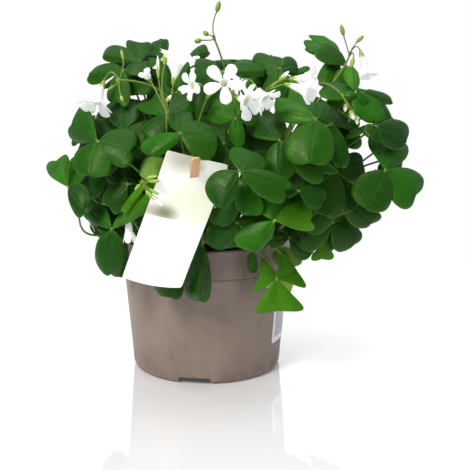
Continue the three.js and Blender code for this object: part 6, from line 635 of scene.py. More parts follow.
def sepal_material():
    m, nt, sh = material("sepal")
    N = Nodes(nt)
    x, y, seed = N.attr("ua")
    tone, kind, spare = N.attr("ub")     # tone 0 green, 1 yellow-green, 2 nearly white
    pos = N.coords()
    g = N.noise(N.scale(pos, (1, 1, 0.6)), 1000.0, 3.0, 0.6)
    c = N.ramp(N.math("DIVIDE", tone, 2.0), [(0.0, SEPAL[0]), (0.5, SEPAL[1]), (1.0, SEPAL[2])])
    c = N.mix(N.mapr(g, 0.4, 0.75, 0.0, 0.45), c, srgb(206, 218, 138))
    c = N.mix(N.mapr(y, 0.84, 1.0, 0.0, 0.55), c, srgb(150, 96, 40))
    nt.links.new(c, sh.inputs["Base Color"])
    nt.links.new(N.mapr(g, 0.3, 0.8, 0.4, 0.6), sh.inputs["Roughness"])
    sh.inputs["Subsurface Weight"].default_value = 0.2
    sh.inputs["Subsurface Scale"].default_value = 0.0012
    nt.links.new(N.bump(g, 0.4, 0.0002), sh.inputs["Normal"])
    return m


def anther_material():
    m, nt, sh = material("anther")
    N = Nodes(nt)
    pos = N.coords()
    g = N.noise(pos, 2600.0, 3.0, 0.6)
    c = N.ramp(g, [(0.3, srgb(196, 178, 70)), (0.7, srgb(238, 232, 170))])
    nt.links.new(c, sh.inputs["Base Color"])
    nt.links.new(N.mapr(g, 0.3, 0.7, 0.6, 0.85), sh.inputs["Roughness"])
    nt.links.new(N.bump(g, 0.6, 0.0002), sh.inputs["Normal"])
    return m


def pot_material():
    m, nt, sh = material("pot_plastic")
    N = Nodes(nt)
    pos = N.coords()
    grain = N.noise(pos, 2400.0, 3.0, 0.6)
    cloud = N.noise(N.scale(pos, (1, 1, 0.7)), 34.0, 4.0, 0.6)
    streak = N.noise(N.scale(pos, (1, 1, 0.12)), 160.0, 3.0, 0.6)
    c = N.ramp(cloud, [(0.3, POT_C[0]), (0.55, POT_C[1]), (0.8, POT_C[2])])
    c = N.mix(N.mapr(streak, 0.52, 0.75, 0.0, 0.14), c, POT_C[0])
    # recycled plastic: fine dark and pale specks
    d1, _ = N.voronoi(pos, 330.0)
    d2, _ = N.voronoi(N.scale(pos, (1.07, 0.93, 1.0)), 620.0)
    pick = N.noise(pos, 95.0, 1.0, 0.5)
    speck = N.math("MULTIPLY", N.mapr(d1, 0.10, 0.19, 1.0, 0.0), N.mapr(pick, 0.52, 0.60, 0.0, 1.0))
    speck2 = N.math("MULTIPLY", N.mapr(d2, 0.12, 0.22, 1.0, 0.0), N.mapr(N.noise(pos, 150.0, 1.0, 0.5), 0.50, 0.60, 0.0, 1.0))
    c = N.mix(N.math("MULTIPLY", speck, 0.80), c, srgb(58, 42, 34))
    c = N.mix(N.math("MULTIPLY", speck2, 0.40), c, srgb(160, 146, 132))
    # soil dust near the foot; a thin dark line of painted shadow just below the rim band's step; dirt splashes
    z = nt.nodes.new("ShaderNodeSeparateXYZ")
    nt.links.new(pos, z.inputs[0])
    dust = N.math("MULTIPLY", N.mapr(z.outputs[2], 0.0, 0.022, 1.0, 0.0), N.mapr(N.noise(pos, 120.0, 5.0, 0.7), 0.42, 0.66, 0.0, 1.0))
    c = N.mix(N.math("MULTIPLY", dust, 0.40), c, srgb(92, 72, 58))
    # painted shadow: a thin dark line just under the rim band, where the band's overhang would shade the wall
    under = N.mapr(N.math("ABSOLUTE", N.math("SUBTRACT", z.outputs[2], 0.0733)), 0.0003, 0.0011, 0.62, 0.0)
    c = N.mix(N.math("MULTIPLY", under, N.mapr(cloud, 0.2, 0.7, 0.7, 1.0)), c, srgb(56, 44, 36))
    dirt = N.math("MULTIPLY", N.mapr(N.noise(pos, 420.0, 5.0, 0.75), 0.60, 0.68, 0.0, 1.0), N.mapr(N.noise(pos, 22.0, 2.0, 0.5), 0.5, 0.65, 0.0, 1.0))
    c = N.mix(N.math("MULTIPLY", dirt, 0.60), c, srgb(66, 48, 36))
    nt.links.new(c, sh.inputs["Base Color"])
    rough = N.mapr(cloud, 0.3, 0.8, 0.40, 0.56)
    rough = N.math("ADD", rough, N.math("MULTIPLY", N.math("MAXIMUM", dust, dirt), 0.3))
    nt.links.new(rough, sh.inputs["Roughness"])
    sh.inputs["Specular IOR Level"].default_value = 0.45
    h = N.math("ADD", N.math("MULTIPLY", grain, 0.5), N.math("MULTIPLY", speck, -0.6))
    h = N.math("ADD", h, N.math("MULTIPLY", dirt, 0.9))
    nt.links.new(N.bump(h, 0.30, 0.0002), sh.inputs["Normal"])
    return m


def peat_material():
    m, nt, sh = material("peat")
    N = Nodes(nt)
    pos = N.coords()
    a, y, seed = N.attr("ua")
    g = N.noise(pos, 620.0, 6.0, 0.7)
    f = N.noise(pos, 120.0, 4.0, 0.6)
    c = N.ramp(g, [(0.25, srgb(20, 13, 9)), (0.5, srgb(52, 36, 26)), (0.72, srgb(92, 68, 50))])
    c = N.mix(N.mapr(f, 0.45, 0.7, 0.0, 0.5), c, srgb(34, 23, 17))
    c = N.mix(N.mapr(seed, 0.90, 0.94, 0.0, 0.8), c, srgb(150, 124, 92))
    nt.links.new(c, sh.inputs["Base Color"])
    nt.links.new(N.mapr(g, 0.2, 0.8, 0.8, 1.0), sh.inputs["Roughness"])
    nt.links.new(N.bump(g, 0.9, 0.0010), sh.inputs["Normal"])
    return m


def card_material():
    m, nt, sh = material("card")
    N = Nodes(nt)
    x, y, back = N.attr("ua")            # 0..1 from the left edge, 0..1 from the bottom edge
    pos = N.coords()
    paper = N.noise(pos, 1500.0, 4.0, 0.6)
    wash = N.noise(N.combine(N.math("MULTIPLY", x, 2.2), N.math("MULTIPLY", y, 3.6), 3.1), 1.0, 2.0, 0.5)
    # a soft printed wash of pale green over the upper part, plain white below it
    def patch(cx, cy, rx, ry, strength):
        dx = N.math("DIVIDE", N.math("SUBTRACT", x, cx), rx)
        dy = N.math("DIVIDE", N.math("SUBTRACT", y, cy), ry)
        d = N.math("SQRT", N.math("ADD", N.math("MULTIPLY", dx, dx), N.math("MULTIPLY", dy, dy)))
        return N.mapr(d, 1.0, 0.1, 0.0, strength)

    upper = N.mapr(y, 0.515, 0.525, 0.0, 1.0)
    c = N.mix(N.mapr(wash, 0.35, 0.65, 0.05, 0.75), CARD_WHITE, CARD_YELLOW)
    c = N.mix(N.mapr(x, 0.62, 1.0, 0.0, 0.75), c, CARD_YELLOW)
    c = N.mix(patch(0.26, 0.98, 0.46, 0.16, 0.62), c, CARD_OLIVE)
    c = N.mix(patch(0.56, 0.93, 0.20, 0.07, 0.50), c, CARD_OLIVE)
    c = N.mix(patch(0.25, 0.555, 0.34, 0.095, 0.95), c, CARD_OLIVE)
    c = N.mix(patch(0.02, 0.56, 0.20, 0.07, 0.45), c, CARD_OLIVE)
    c = N.mix(upper, CARD_WHITE, c)
    tint = N.math("MULTIPLY", N.mapr(y, 0.40, 0.52, 0.0, 0.20), N.mapr(x, 0.6, 0.1, 0.0, 1.0))
    c = N.mix(tint, c, srgb(240, 214, 206))
    c = N.mix(back, c, srgb(232, 230, 222))
    c = N.mix(N.mapr(paper, 0.45, 0.8, 0.0, 0.22), c, srgb(222, 220, 208))
    nt.links.new(c, sh.inputs["Base Color"])
    nt.links.new(N.mapr(paper, 0.3, 0.8, 0.34, 0.5), sh.inputs["Roughness"])
    # painted light: the card glows faintly in its own colours, brighter than the lamps alone make it
    nt.links.new(c, sh.inputs["Emission Color"])
    sh.inputs["Emission Strength"].default_value = 0.16
    sh.inputs["Specular IOR Level"].default_value = 0.45
    nt.links.new(N.bump(paper, 0.25, 0.0002), sh.inputs["Normal"])
    return m


def wood_material():
    m, nt, sh = material("stick_wood")
    N = Nodes(nt)
    x, y, seed = N.attr("ua")            # across, along the grain, in centimetres
    warp = N.noise(N.combine(x, y, 0.0), 1.2, 2.0, 0.5)
    v = N.combine(N.math("ADD", N.math("MULTIPLY", x, 9.0), N.math("MULTIPLY", warp, 2.0)), N.math("MULTIPLY", y, 0.8), seed)
    g = N.noise(v, 2.2, 5.0, 0.65)
    pore = N.noise(N.combine(N.math("MULTIPLY", x, 60.0), N.math("MULTIPLY", y, 5.0), seed), 1.0, 2.0, 0.6)
    c = N.ramp(g, [(0.3, srgb(196, 142, 96)), (0.55, srgb(226, 178, 130)), (0.8, srgb(240, 202, 158))])
    c = N.mix(N.mapr(pore, 0.58, 0.75, 0.0, 0.5), c, srgb(150, 100, 62))
    c = N.mix(N.mapr(y, -3.4, 1.5, 0.75, 0.0), c, srgb(112, 82, 58))
    nt.links.new(c, sh.inputs["Base Color"])
    nt.links.new(N.mapr(g, 0.3, 0.8, 0.55, 0.75), sh.inputs["Roughness"])
    nt.links.new(N.bump(N.math("ADD", g, pore), 0.4, 0.0002), sh.inputs["Normal"])
    return m


def label_material():
    m, nt, sh = material("label_paper")
    N = Nodes(nt)
    x, y, back = N.attr("ua")
    pos = N.coords()
    paper = N.noise(pos, 1800.0, 4.0, 0.6)
    # plain even bands inside a white border
    band = N.math("SUBTRACT", N.math("MULTIPLY", y, 13.0), N.math("MULTIPLY", x, 5.0))
    band = N.mapr(N.math("ABSOLUTE", N.math("SUBTRACT", N.math("FRACT", band), 0.5)), 0.22, 0.28, 0.0, 1.0)
    inside = N.math("MULTIPLY", N.mapr(y, 0.16, 0.17, 0.0, 1.0), N.mapr(y, 0.90, 0.91, 1.0, 0.0))
    inside = N.math("MULTIPLY", inside, N.math("MULTIPLY", N.mapr(x, 0.07, 0.075, 0.0, 1.0), N.mapr(x, 0.93, 0.935, 1.0, 0.0)))
    c = N.mix(N.math("MULTIPLY", N.math("MULTIPLY", band, inside), 0.95), srgb(224, 224, 228), srgb(62, 56, 72))
    c = N.mix(N.mapr(paper, 0.45, 0.8, 0.0, 0.3), c, srgb(198, 196, 200))
    nt.links.new(c, sh.inputs["Base Color"])
    nt.links.new(N.mapr(paper, 0.3, 0.8, 0.4, 0.55), sh.inputs["Roughness"])
    nt.links.new(N.bump(paper, 0.25, 0.0002), sh.inputs["Normal"])
    return m


# colours, from dark old leaves to bright young ones and pale ones
LEAF_TOP = [srgb(19, 58, 7), srgb(26, 76, 8), srgb(31, 98, 13), srgb(70, 128, 3), srgb(122, 150, 70)]
LEAF_LOW = [srgb(42, 82, 30), srgb(50, 94, 32), srgb(64, 112, 36), srgb(98, 142, 34), srgb(156, 180, 100)]
LEAF_BLUE = srgb(17, 60, 17)
LEAF_DEEP = srgb(12, 43, 7)
LEAF_GLOW = srgb(56, 112, 20)
VEIN = srgb(80, 120, 42)
RIM_TINT = srgb(78, 104, 36)
STALK_C = [srgb(76, 104, 28), srgb(94, 124, 34), srgb(134, 160, 58)]
STALK_LOW, STALK_RED, STALK_PALE = srgb(86, 70, 42), srgb(94, 58, 38), srgb(128, 144, 66)
PETAL, PETAL_SHADE = srgb(251, 251, 249), srgb(240, 243, 241)
THROAT, THROAT_DEEP = srgb(192, 208, 72), srgb(104, 124, 22)
SEPAL = [srgb(100, 144, 30), srgb(142, 176, 46), srgb(200, 210, 150)]
POT_C = [srgb(116, 100, 90), srgb(128, 112, 101), srgb(138, 122, 111)]
CARD_WHITE, CARD_YELLOW, CARD_OLIVE = srgb(254, 254, 253), srgb(242, 246, 214), srgb(84, 114, 42)

MAT = dict(
    leaf=leaf_material(), stalk=stalk_material(), hub=hub_material(), bulb=bulb_material(),
    petal=petal_material(), sepal=sepal_material(), anther=anther_material(), pot=pot_material(),
    peat=peat_material(), card=card_material(), wood=wood_material(), label=label_material(),
)

# ============================================================ leaves
HALF = {
    0: ([(0, 0), (0.42, 0.165), (0.84, 0.41), (1.01, 0.68), (0.95, 0.89), (0.64, 0.995), (0.27, 0.985), (0.0, 0.93)], 0.70, 0.93),
    1: ([(0, 0), (0.32, 0.25), (0.68, 0.56), (0.95, 0.84), (0.985, 0.955), (0.80, 1.015), (0.35, 0.995), (0.0, 0.96)], 0.95, 0.96),
    2: ([(0, 0), (0.42, 0.15), (0.84, 0.38), (1.01, 0.64), (0.93, 0.85), (0.62, 0.965), (0.26, 1.005), (0.0, 0.995)], 0.70, 0.995),
}
NS, NT = 22, 8
OUTLINES = {k: spline(v[0], NS + 1) for k, v in HALF.items()}


def leaflet(build, H, n, row, tone, seed):
    ty, rest = row[0], np.asarray(row[1:], float)
    N_, A, B, up = rest[0:3], rest[3:6], rest[6:9], unit(rest[9:12])
    yc, yn = HALF[ty][1], HALF[ty][2]
    ax = (N_ - H) / yn
    L = np.linalg.norm(N_ - H)
    mid = H + ax * yc
    face = up * (-1.0 if up @ n < -0.2 else 1.0)          # the leaf's upper side
    s = np.linspace(0, 1, NS + 1)
    t = np.linspace(0, 1, NT + 1)
    X, Y = OUTLINES[ty][:, 0].copy(), OUTLINES[ty][:, 1]
    # no two leaflets alike: the margin swings in and out a little
    rows = []
    for half, C in enumerate((A - mid, B - mid)):
        sgn = 1 if half else -1
        wob = 0.030 * np.sin(s * 5.1 + seed * 9 + half * 2.1) + 0.008 * np.sin(s * 14.0 + seed * 23 + half)
        wob *= np.sin(math.pi * s) ** 0.8
        Xo = np.maximum(X * (1 + wob), 0)
        Yo = Y * (1 + 0.35 * wob * smooth(1.0, 0.75, s))
        g = yn * s ** 0.92
        x = Xo[:, None] * t[None, :]
        y = g[:, None] + (Yo - g)[:, None] * t[None, :] ** 1.15
        rise = L * ARCH * 4 * (0.25 - (np.minimum(y, 1) - 0.5) ** 2) * (1 - x * x * 0.6)
        w = np.linalg.norm(C)
        xm = x * w
        groove = -0.30 * np.exp(-(xm / 0.85) ** 2) * (1 - 0.55 * y)
        groove += 0.10 * np.exp(-((xm - 1.7) / 0.9) ** 2) * (1 - 0.4 * y)
        pillow = 0.040 * w * 4 * t * (1 - t) * np.sin(math.pi * np.clip(y, 0, 1)) ** 0.7
        droop = -0.030 * L * (t ** 3)[None, :] * smooth(0.15, 0.6, y)
        wavy = 0.55 * (t ** 2)[None, :] * np.sin(s * 11.0 + seed * 31 + half * 1.7)[:, None] * smooth(0.1, 0.5, s)[:, None] * (L / 26)
        veins = 0.035 * np.cos(2 * math.pi * 8 * s)[:, None] * smooth(0.05, 0.3, t)[None, :] * smooth(1.0, 0.7, t)[None, :]
        off = groove + pillow + droop + wavy + veins
        P = H + ax * y[..., None] + C * x[..., None] + up * rise[..., None] + face * off[..., None]
        rows.append((P, t, s))
    # both halves as one sheet: B half reversed, midrib, A half
    PB, PA = rows[1][0][:, ::-1], rows[0][0]
    P = np.concatenate([PB, PA[:, 1:]], 1)
    tt = np.concatenate([t[::-1], t[1:]])
    ua = np.zeros(P.shape)
    ua[..., 0] = tt[None, :]
    ua[..., 1] = s[:, None]
    ua[..., 2] = seed
    ub = np.zeros(P.shape)
    ub[..., 0] = tone
    ub[..., 2] = tt[None, :]
    thick = (0.42 - 0.20 * tt ** 2)[None, :] * np.ones((NS + 1, 1))
    thick += 0.22 * np.exp(-(tt * 9) ** 2)[None, :] * (1 - s)[:, None]       # the midrib stands out below
    lowP = P - face * thick[..., None]
    top = build.grid(P, ua, ub, 0, out=face)
    ub2 = ub.copy()
    ub2[..., 1] = 1.0
    low = build.grid(lowP, ua, ub2, 0, out=-face)
    for col, C in ((0, rows[1]), (-1, rows[0])):
        way = P[:, col] - P[:, NT]
        way = way[:-1] + way[1:]
        build.strip(top[:, col], low[:, col], 0, way)
    # short fleshy joint between the leaflet and the stalk
    j = np.linspace(0, 1, 7)[:, None]
    path = H + ax * (j * 0.075) - face * 0.15 + up * (L * ARCH * 4 * (0.25 - (j * 0.075 - 0.5) ** 2))
    build.tube(path, np.interp(j[:, 0], [0, 0.3, 0.7, 1], [0.55, 0.50, 0.36, 0.15]), 8, 2, seed, (tone, 0, 0))


def hub(build, H, n, tone, seed):
    e1 = unit(np.cross((0.3, 0.2, 1.0), n))
    e2 = np.cross(n, e1)
    th = np.linspace(0, math.pi, 7)
    ph = np.arange(12) * 2 * math.pi / 12
    R = 0.78 + 0.05 * np.cos(3 * ph + seed * 6)
    P = np.array([[H + n * 0.62 * math.cos(a) + (e1 * math.cos(b) + e2 * math.sin(b)) * r * math.sin(a) for b, r in zip(ph, R)] for a in th])
    build.grid(P, (0, 0, seed), (tone, 0, 0), 2, wrap=True, centre=np.tile(H, (7, 1)))


def starts(base, rows):
    """Start points of the stalks of one clump, side by side in the bulb."""
    if len(rows) == 1:
        return [(base[0], base[1])]
    want = []
    for r in rows:
        p = bezier_at((base[0], base[1], BASE_Z), r[9:12], r[12:15], r[3:6], 0.45)
        want.append(math.atan2(p[1] - base[1], p[0] - base[0]))
    m = len(rows)

    def perms(q):
        return [q] if len(q) < 2 else [[v, *w] for i, v in enumerate(q) for w in perms(q[:i] + q[i + 1:])]

    best = None
    for turn in range(24):
        t0 = 2 * math.pi * turn / 24
        for q in perms(list(range(m))):
            cost = sum(1 - math.cos(t0 + 2 * math.pi * k / m - want[i]) for i, k in enumerate(q))
            if best is None or cost < best[0] - 1e-9:
                best = (cost, [t0 + 2 * math.pi * k / m for k in q])
    return [(base[0] + BULB_SPREAD * math.cos(a), base[1] + BULB_SPREAD * math.sin(a)) for a in best[1]]


def bulb(build, base, seed):
    """A small scaly bulb, half sunk in the peat."""
    z = np.array([82.6, 83.4, 84.3, 85.3, 86.3, 87.1, 87.7])
    r = np.array([1.6, 2.6, 3.0, 2.75, 2.25, 1.75, 1.05])
    ph = np.arange(18) * 2 * math.pi / 18
    rings = []
    for i in range(len(z)):
        k = 1 + 0.07 * np.cos(5 * ph + seed * 7 + i * 0.6) + 0.04 * np.cos(9 * ph + seed * 3)
        rings.append(np.stack([base[0] + r[i] * k * np.cos(ph), base[1] + r[i] * k * np.sin(ph), z[i] + 0.25 * np.cos(5 * ph + seed)], -1))
    P = np.array(rings)
    ua = np.zeros(P.shape)
    ua[..., 0] = np.arange(18) / 18
    ua[..., 1] = np.linspace(0, 1, len(z))[:, None]
    ua[..., 2] = seed
    ctr = np.stack([np.full(len(z), base[0]), np.full(len(z), base[1]), z], -1)
    idx = build.grid(P, ua, (0, 0, 0), 3, wrap=True, centre=ctr)
    for row, zz, up in ((idx[0], 82.3, False), (idx[-1], 88.0, True)):
        tip = build.points([(base[0], base[1], zz)], (0.5, 1.0 if up else 0.0, seed), (0, 0, 0))
        tri = [(int(row[k]), int(row[k + 1]), tip) if up else (int(row[k + 1]), int(row[k]), tip) for k in range(18)]
        build.f += tri
        build.m += [3] * 18


GREENS = [MAT["leaf"], MAT["stalk"], MAT["hub"], MAT["bulb"]]
clumps = max(l[0] for l in LEAVES) + 1
for g in range(clumps):
    rows = [l for l in LEAVES if l[0] == g]
    b = Build()
    bulb(b, BASES[g], g * 0.37)
    for (sx, sy), row in zip(starts(BASES[g], rows), rows):
        H, n = np.array(row[3:6], float), unit(row[6:9])
        seed = float(RNG.random())
        tone = row[1] + float(RNG.uniform(-0.28, 0.28))
        pts = bezier((sx, sy, BASE_Z), row[9:12], row[12:15], H, 30)
        rad = np.interp(np.linspace(0, 1, 30), [0, 0.06, 0.5, 0.93, 1], [1.0, 0.88, 0.78, 0.66, 0.80])
        b.tube(pts, rad, 8, 1, seed, (min(4.0, max(0.0, row[1] + float(RNG.uniform(0, 1.5)))), 0, 0))
        hub(b, H, n, tone, seed)
        for k, lf in enumerate(row[15]):
            colour_and_shade_tone = row[16][k] if len(row) > 16 else tone       # a leaflet with a tone of its own: partly its colour, partly painted light and shade
            leaflet(b, H, n, lf, float(np.clip(colour_and_shade_tone + RNG.uniform(-0.14, 0.14), 0, 4)), seed + 0.31 * k)
    b.make("leaves_%02d" % (g + 1), GREENS, "shoot_%02d" % (g + 1))


# ============================================================ flowers
def frame_of(axis):
    e1 = unit(np.cross(axis, (0.1, 0.2, 1.0)))
    return e1, np.cross(axis, e1)


def strap(build, centre_line, half_width, side_dirs, face_dirs, thick, cup, mat, ub, seed, y=(0.0, 1.0), nw=9, twist=0.0):
    """A petal or sepal: a sheet along a centre line, cupped across, closed all round."""
    C = np.asarray(centre_line, float)
    k = len(C)
    w = np.linspace(-1, 1, nw)
    P = np.zeros((k, nw, 3))
    for i in range(k):
        P[i] = C[i] + side_dirs[i] * (w * half_width[i])[:, None] + face_dirs[i] * (cup[i] * w * w + twist * w * half_width[i])[:, None]
    ua = np.zeros(P.shape)
    ua[..., 0] = w[None, :]
    ua[..., 1] = np.linspace(y[0], y[1], k)[:, None]
    ua[..., 2] = seed
    out = face_dirs.mean(0)
    Q = P - face_dirs[:, None, :] * thick
    top = build.grid(P, ua, ub, mat, out=out)
    low = build.grid(Q, ua, ub, mat, out=-out)
    for col, sg in ((0, -1), (-1, 1)):
        way = side_dirs * sg
        build.strip(top[:, col], low[:, col], mat, way[:-1])
    for r_, sg in ((0, -1), (-1, 1)):
        d = (C[-1] - C[-2]) if sg > 0 else (C[0] - C[1])
        build.strip(top[r_], low[r_], mat, np.tile(unit(d), (nw - 1, 1)))


def flower(build, B, M, R, o, seed, turn=0.3):
    axis = M - B
    L = np.linalg.norm(axis)
    axis = axis / L
    e1, e2 = frame_of(axis)
    # the five petals are joined below into a narrow funnel
    ph = np.arange(20) * 2 * math.pi / 20
    k_ = float(smooth(0.90, 0.55, o))                 # 1 for a flower seen as a funnel, 0 for a flat open one
    Rm = R * (0.80 if o < 0.4 else 1.0)
    top_r = 2.9 + k_ * (max(2.9, 0.42 * Rm) - 2.9)
    zf = np.array([0.0, 0.10, 0.25, 0.42, 0.58, 0.70, 0.76]) * L
    rf = np.interp(zf / L, [0, 0.10, 0.25, 0.45, 0.72, 0.80], [0.75, 1.0, 1.25 + 0.10 * k_ * top_r, 1.7 + 0.22 * k_ * top_r, 2.45 + 0.85 * (top_r - 2.9), top_r])
    rings, yv = [], []
    for z_, r_ in zip(zf, rf):
        rr = r_ * (1 + 0.06 * np.cos(5 * (ph - turn)) * z_ / L)
        rings.append(B + axis * z_ + (e1[None] * np.cos(ph)[:, None] + e2[None] * np.sin(ph)[:, None]) * rr[:, None])
        yv.append(np.interp(z_ / L, [0, 0.76], [-0.75, 0.16]))
    P = np.array(rings)
    ua = np.zeros(P.shape)
    ua[..., 0] = np.arange(20) / 20 * 10
    ua[..., 1] = np.array(yv)[:, None]
    ua[..., 2] = seed
    ctr = B + axis * zf[:, None]
    out = build.grid(P, ua, (0, 0, 0), 1, wrap=True, centre=ctr)
    Pi = ctr[:, None] + (P - ctr[:, None]) * (1 - 0.22 / np.maximum(rf, 0.8))[:, None, None]
    inn = build.grid(Pi, ua, (0, 1, 0), 1, wrap=True, centre=ctr)
    # turn the inner wall's faces inwards
    k = len(build.f) - 20 * (len(zf) - 1)
    build.f[k:] = [tuple(reversed(q)) for q in build.f[k:]]
    for row_o, row_i, d in ((out[0], inn[0], -axis), (out[-1], inn[-1], axis)):
        build.strip(row_o, row_i, 1, np.tile(d, (20, 1)))
    # petals: each climbs the funnel, flares and curls a little at its tip
    n_ = 15
    for p in range(5):
        c = 2 * math.pi * p / 5 + turn + 0.05 * math.sin(seed * 9 + p * 2)
        rad = e1 * math.cos(c) + e2 * math.sin(c)
        tan = -e1 * math.sin(c) + e2 * math.cos(c)
        reach = 0.99 * Rm * (1 + 0.05 * math.sin(seed * 13 + p * 1.9))
        flare = min(1.0, o + 0.1)
        r62 = float(np.interp(0.62, zf / L, rf)) - 0.15
        p0, p3 = (r62, 0.62 * L), (reach, L * (1.0 - 0.02 * flare))
        p1 = (r62 + 0.8 + 0.10 * k_ * Rm, 0.86 * L - 0.04 * k_ * L)
        p2 = (reach * (0.60 + 0.14 * k_), L * (0.985 + 0.05 * flare - 0.03 * k_))
        if o < 0.4:
            p2 = (reach * 0.98, 0.86 * L)
        line = bezier((*p0, 0), (*p1, 0), (*p2, 0), (*p3, 0), n_)
        C = B + rad * line[:, :1] + axis * line[:, 1:2]
        T = np.gradient(C, axis=0)
        T /= np.linalg.norm(T, axis=1, keepdims=True)
        face = np.cross(np.tile(tan, (n_, 1)), T)
        face *= np.sign((face @ axis).sum())
        u = np.linspace(0, 1, n_)
        full = (0.262 + 0.155 * k_) * reach + 0.20
        hw = np.interp(u, [0, 0.18, 0.42, 0.66, 0.84, 0.94, 0.985, 1.0], [1.10 + 0.5 * k_ * (top_r / 2.9), 1.30 + 0.75 * k_ * (top_r / 2.9), max(1.30 + 0.95 * k_ * (top_r / 2.9), full * (0.72 + 0.12 * k_)), full, full * (0.97 - 0.06 * k_), full * 0.72, full * 0.42, full * 0.10])
        cup = np.interp(u, [0, 0.3, 0.7, 1.0], [0.25, 0.45, 0.30, -0.10]) * (R / 11)
        ruffle = face * (0.16 * np.sin(u * 9 + seed * 20 + p))[:, None]
        strap(build, C + ruffle, hw, np.tile(tan, (n_, 1)), face, 0.22, cup, 1, (0, 0, 0), seed + p * 0.17, y=(0.10, 1.0), nw=11, twist=0.10)
    # calyx
    for p in range(5):
        c = 2 * math.pi * (p + 0.5) / 5 + 0.3
        rad = e1 * math.cos(c) + e2 * math.sin(c)
        tan = -e1 * math.sin(c) + e2 * math.cos(c)
        u = np.linspace(0, 1, 9)
        r_ = np.interp(u, [0, 0.15, 0.6, 1], [0.55, 1.05, 1.55, 1.9])
        z_ = u * min(5.0, 0.42 * L) - 0.3
        C = B + rad * r_[:, None] + axis * z_[:, None]
        strap(build, C, np.interp(u, [0, 0.3, 0.6, 0.9, 1.0], [0.55, 0.85, 0.75, 0.32, 0.08]), np.tile(tan, (9, 1)), np.tile(rad, (9, 1)), 0.22, np.full(9, -0.18), 2, (0.55, 0, 0), seed + p * 0.1, nw=5)
    base = B + axis * np.linspace(-0.6, 1.0, 5)[:, None]
    build.tube(base, [0.55, 0.85, 1.0, 0.95, 0.80], 10, 2, seed, (0.3, 0, 0), y=(0.0, 0.3))
    # stamens and styles inside the throat
    for k in range(10):
        a = 2 * math.pi * k / 10 + 0.2
        long_ = 0.72 if k % 2 else 0.60
        r1 = 0.75 if k % 2 else 1.05
        q = (e1 * math.cos(a) + e2 * math.sin(a))
        tip = B + axis * (long_ * L) + q * r1
        build.tube(np.array([B + axis * 0.3 * L + q * 0.5, B + axis * 0.5 * L + q * 0.8, tip]), [0.14, 0.12, 0.10], 5, 1, seed, (0, 0, 0), y=(0.2, 0.35))
        build.tube(np.array([tip - axis * 0.35, tip, tip + axis * 0.45]), [0.16, 0.30, 0.16], 6, 3, seed, (0, 0, 0))
    build.tube(np.array([B + axis * 0.3 * L, B + axis * 0.66 * L]), [0.22, 0.16], 6, 2, seed, (1.2, 0, 0), y=(0.2, 0.6))


def bud(build, B, M, r, tone, seed):
    axis = M - B
    L = np.linalg.norm(axis)
    axis = axis / L
    e1, e2 = frame_of(axis)
    r = max(0.80 * r, 0.8)
    # twisted closed petals, showing above the sepals
    sides, nr = 15, 15
    u = np.linspace(0, 1, nr)
    prof = np.interp(u, [0, 0.08, 0.30, 0.55, 0.78, 0.92, 1.0], [0.35, 0.62, 0.92, 0.90, 0.62, 0.30, 0.04]) * r
    ph = np.arange(sides) * 2 * math.pi / sides
    rings = []
    for i in range(nr):
        k = 1 + 0.10 * np.abs(np.sin(2.5 * (ph + u[i] * 1.6)))
        rings.append(B + axis * (u[i] * L) + (e1[None] * np.cos(ph)[:, None] + e2[None] * np.sin(ph)[:, None]) * (prof[i] * k)[:, None])
    P = np.array(rings)
    ua = np.zeros(P.shape)
    ua[..., 0] = ph / math.pi - 1
    ua[..., 1] = np.interp(u, [0, 1], [0.0, 0.9])[:, None]
    ua[..., 2] = seed
    mat = 1 if tone > 1.4 else 2
    build.grid(P, ua, (tone + 0.3, 0, 0), mat, wrap=True, centre=B + axis * (u * L)[:, None])
    # five sepals, their tips free
    for p in range(5):
        c = 2 * math.pi * p / 5 + 0.3
        rad = e1 * math.cos(c) + e2 * math.sin(c)
        tan = -e1 * math.sin(c) + e2 * math.cos(c)
        v = np.linspace(0, 1, 10)
        z_ = v * L * (0.62 if tone > 1.4 else 0.80)
        rr = np.interp(z_ / L, u, prof) * 1.06 + 0.10 + 0.22 * smooth(0.7, 1.0, v)
        C = B + rad * rr[:, None] + axis * z_[:, None]
        hw = np.interp(v, [0, 0.2, 0.5, 0.85, 1.0], [0.45, 0.62, 0.56, 0.26, 0.06]) * r
        strap(build, C, hw, np.tile(tan, (10, 1)), np.tile(rad, (10, 1)), 0.20, np.full(10, -0.20 * r), 2, (min(tone, 1.0) * 0.8, 0, 0), seed + p * 0.1, nw=5)


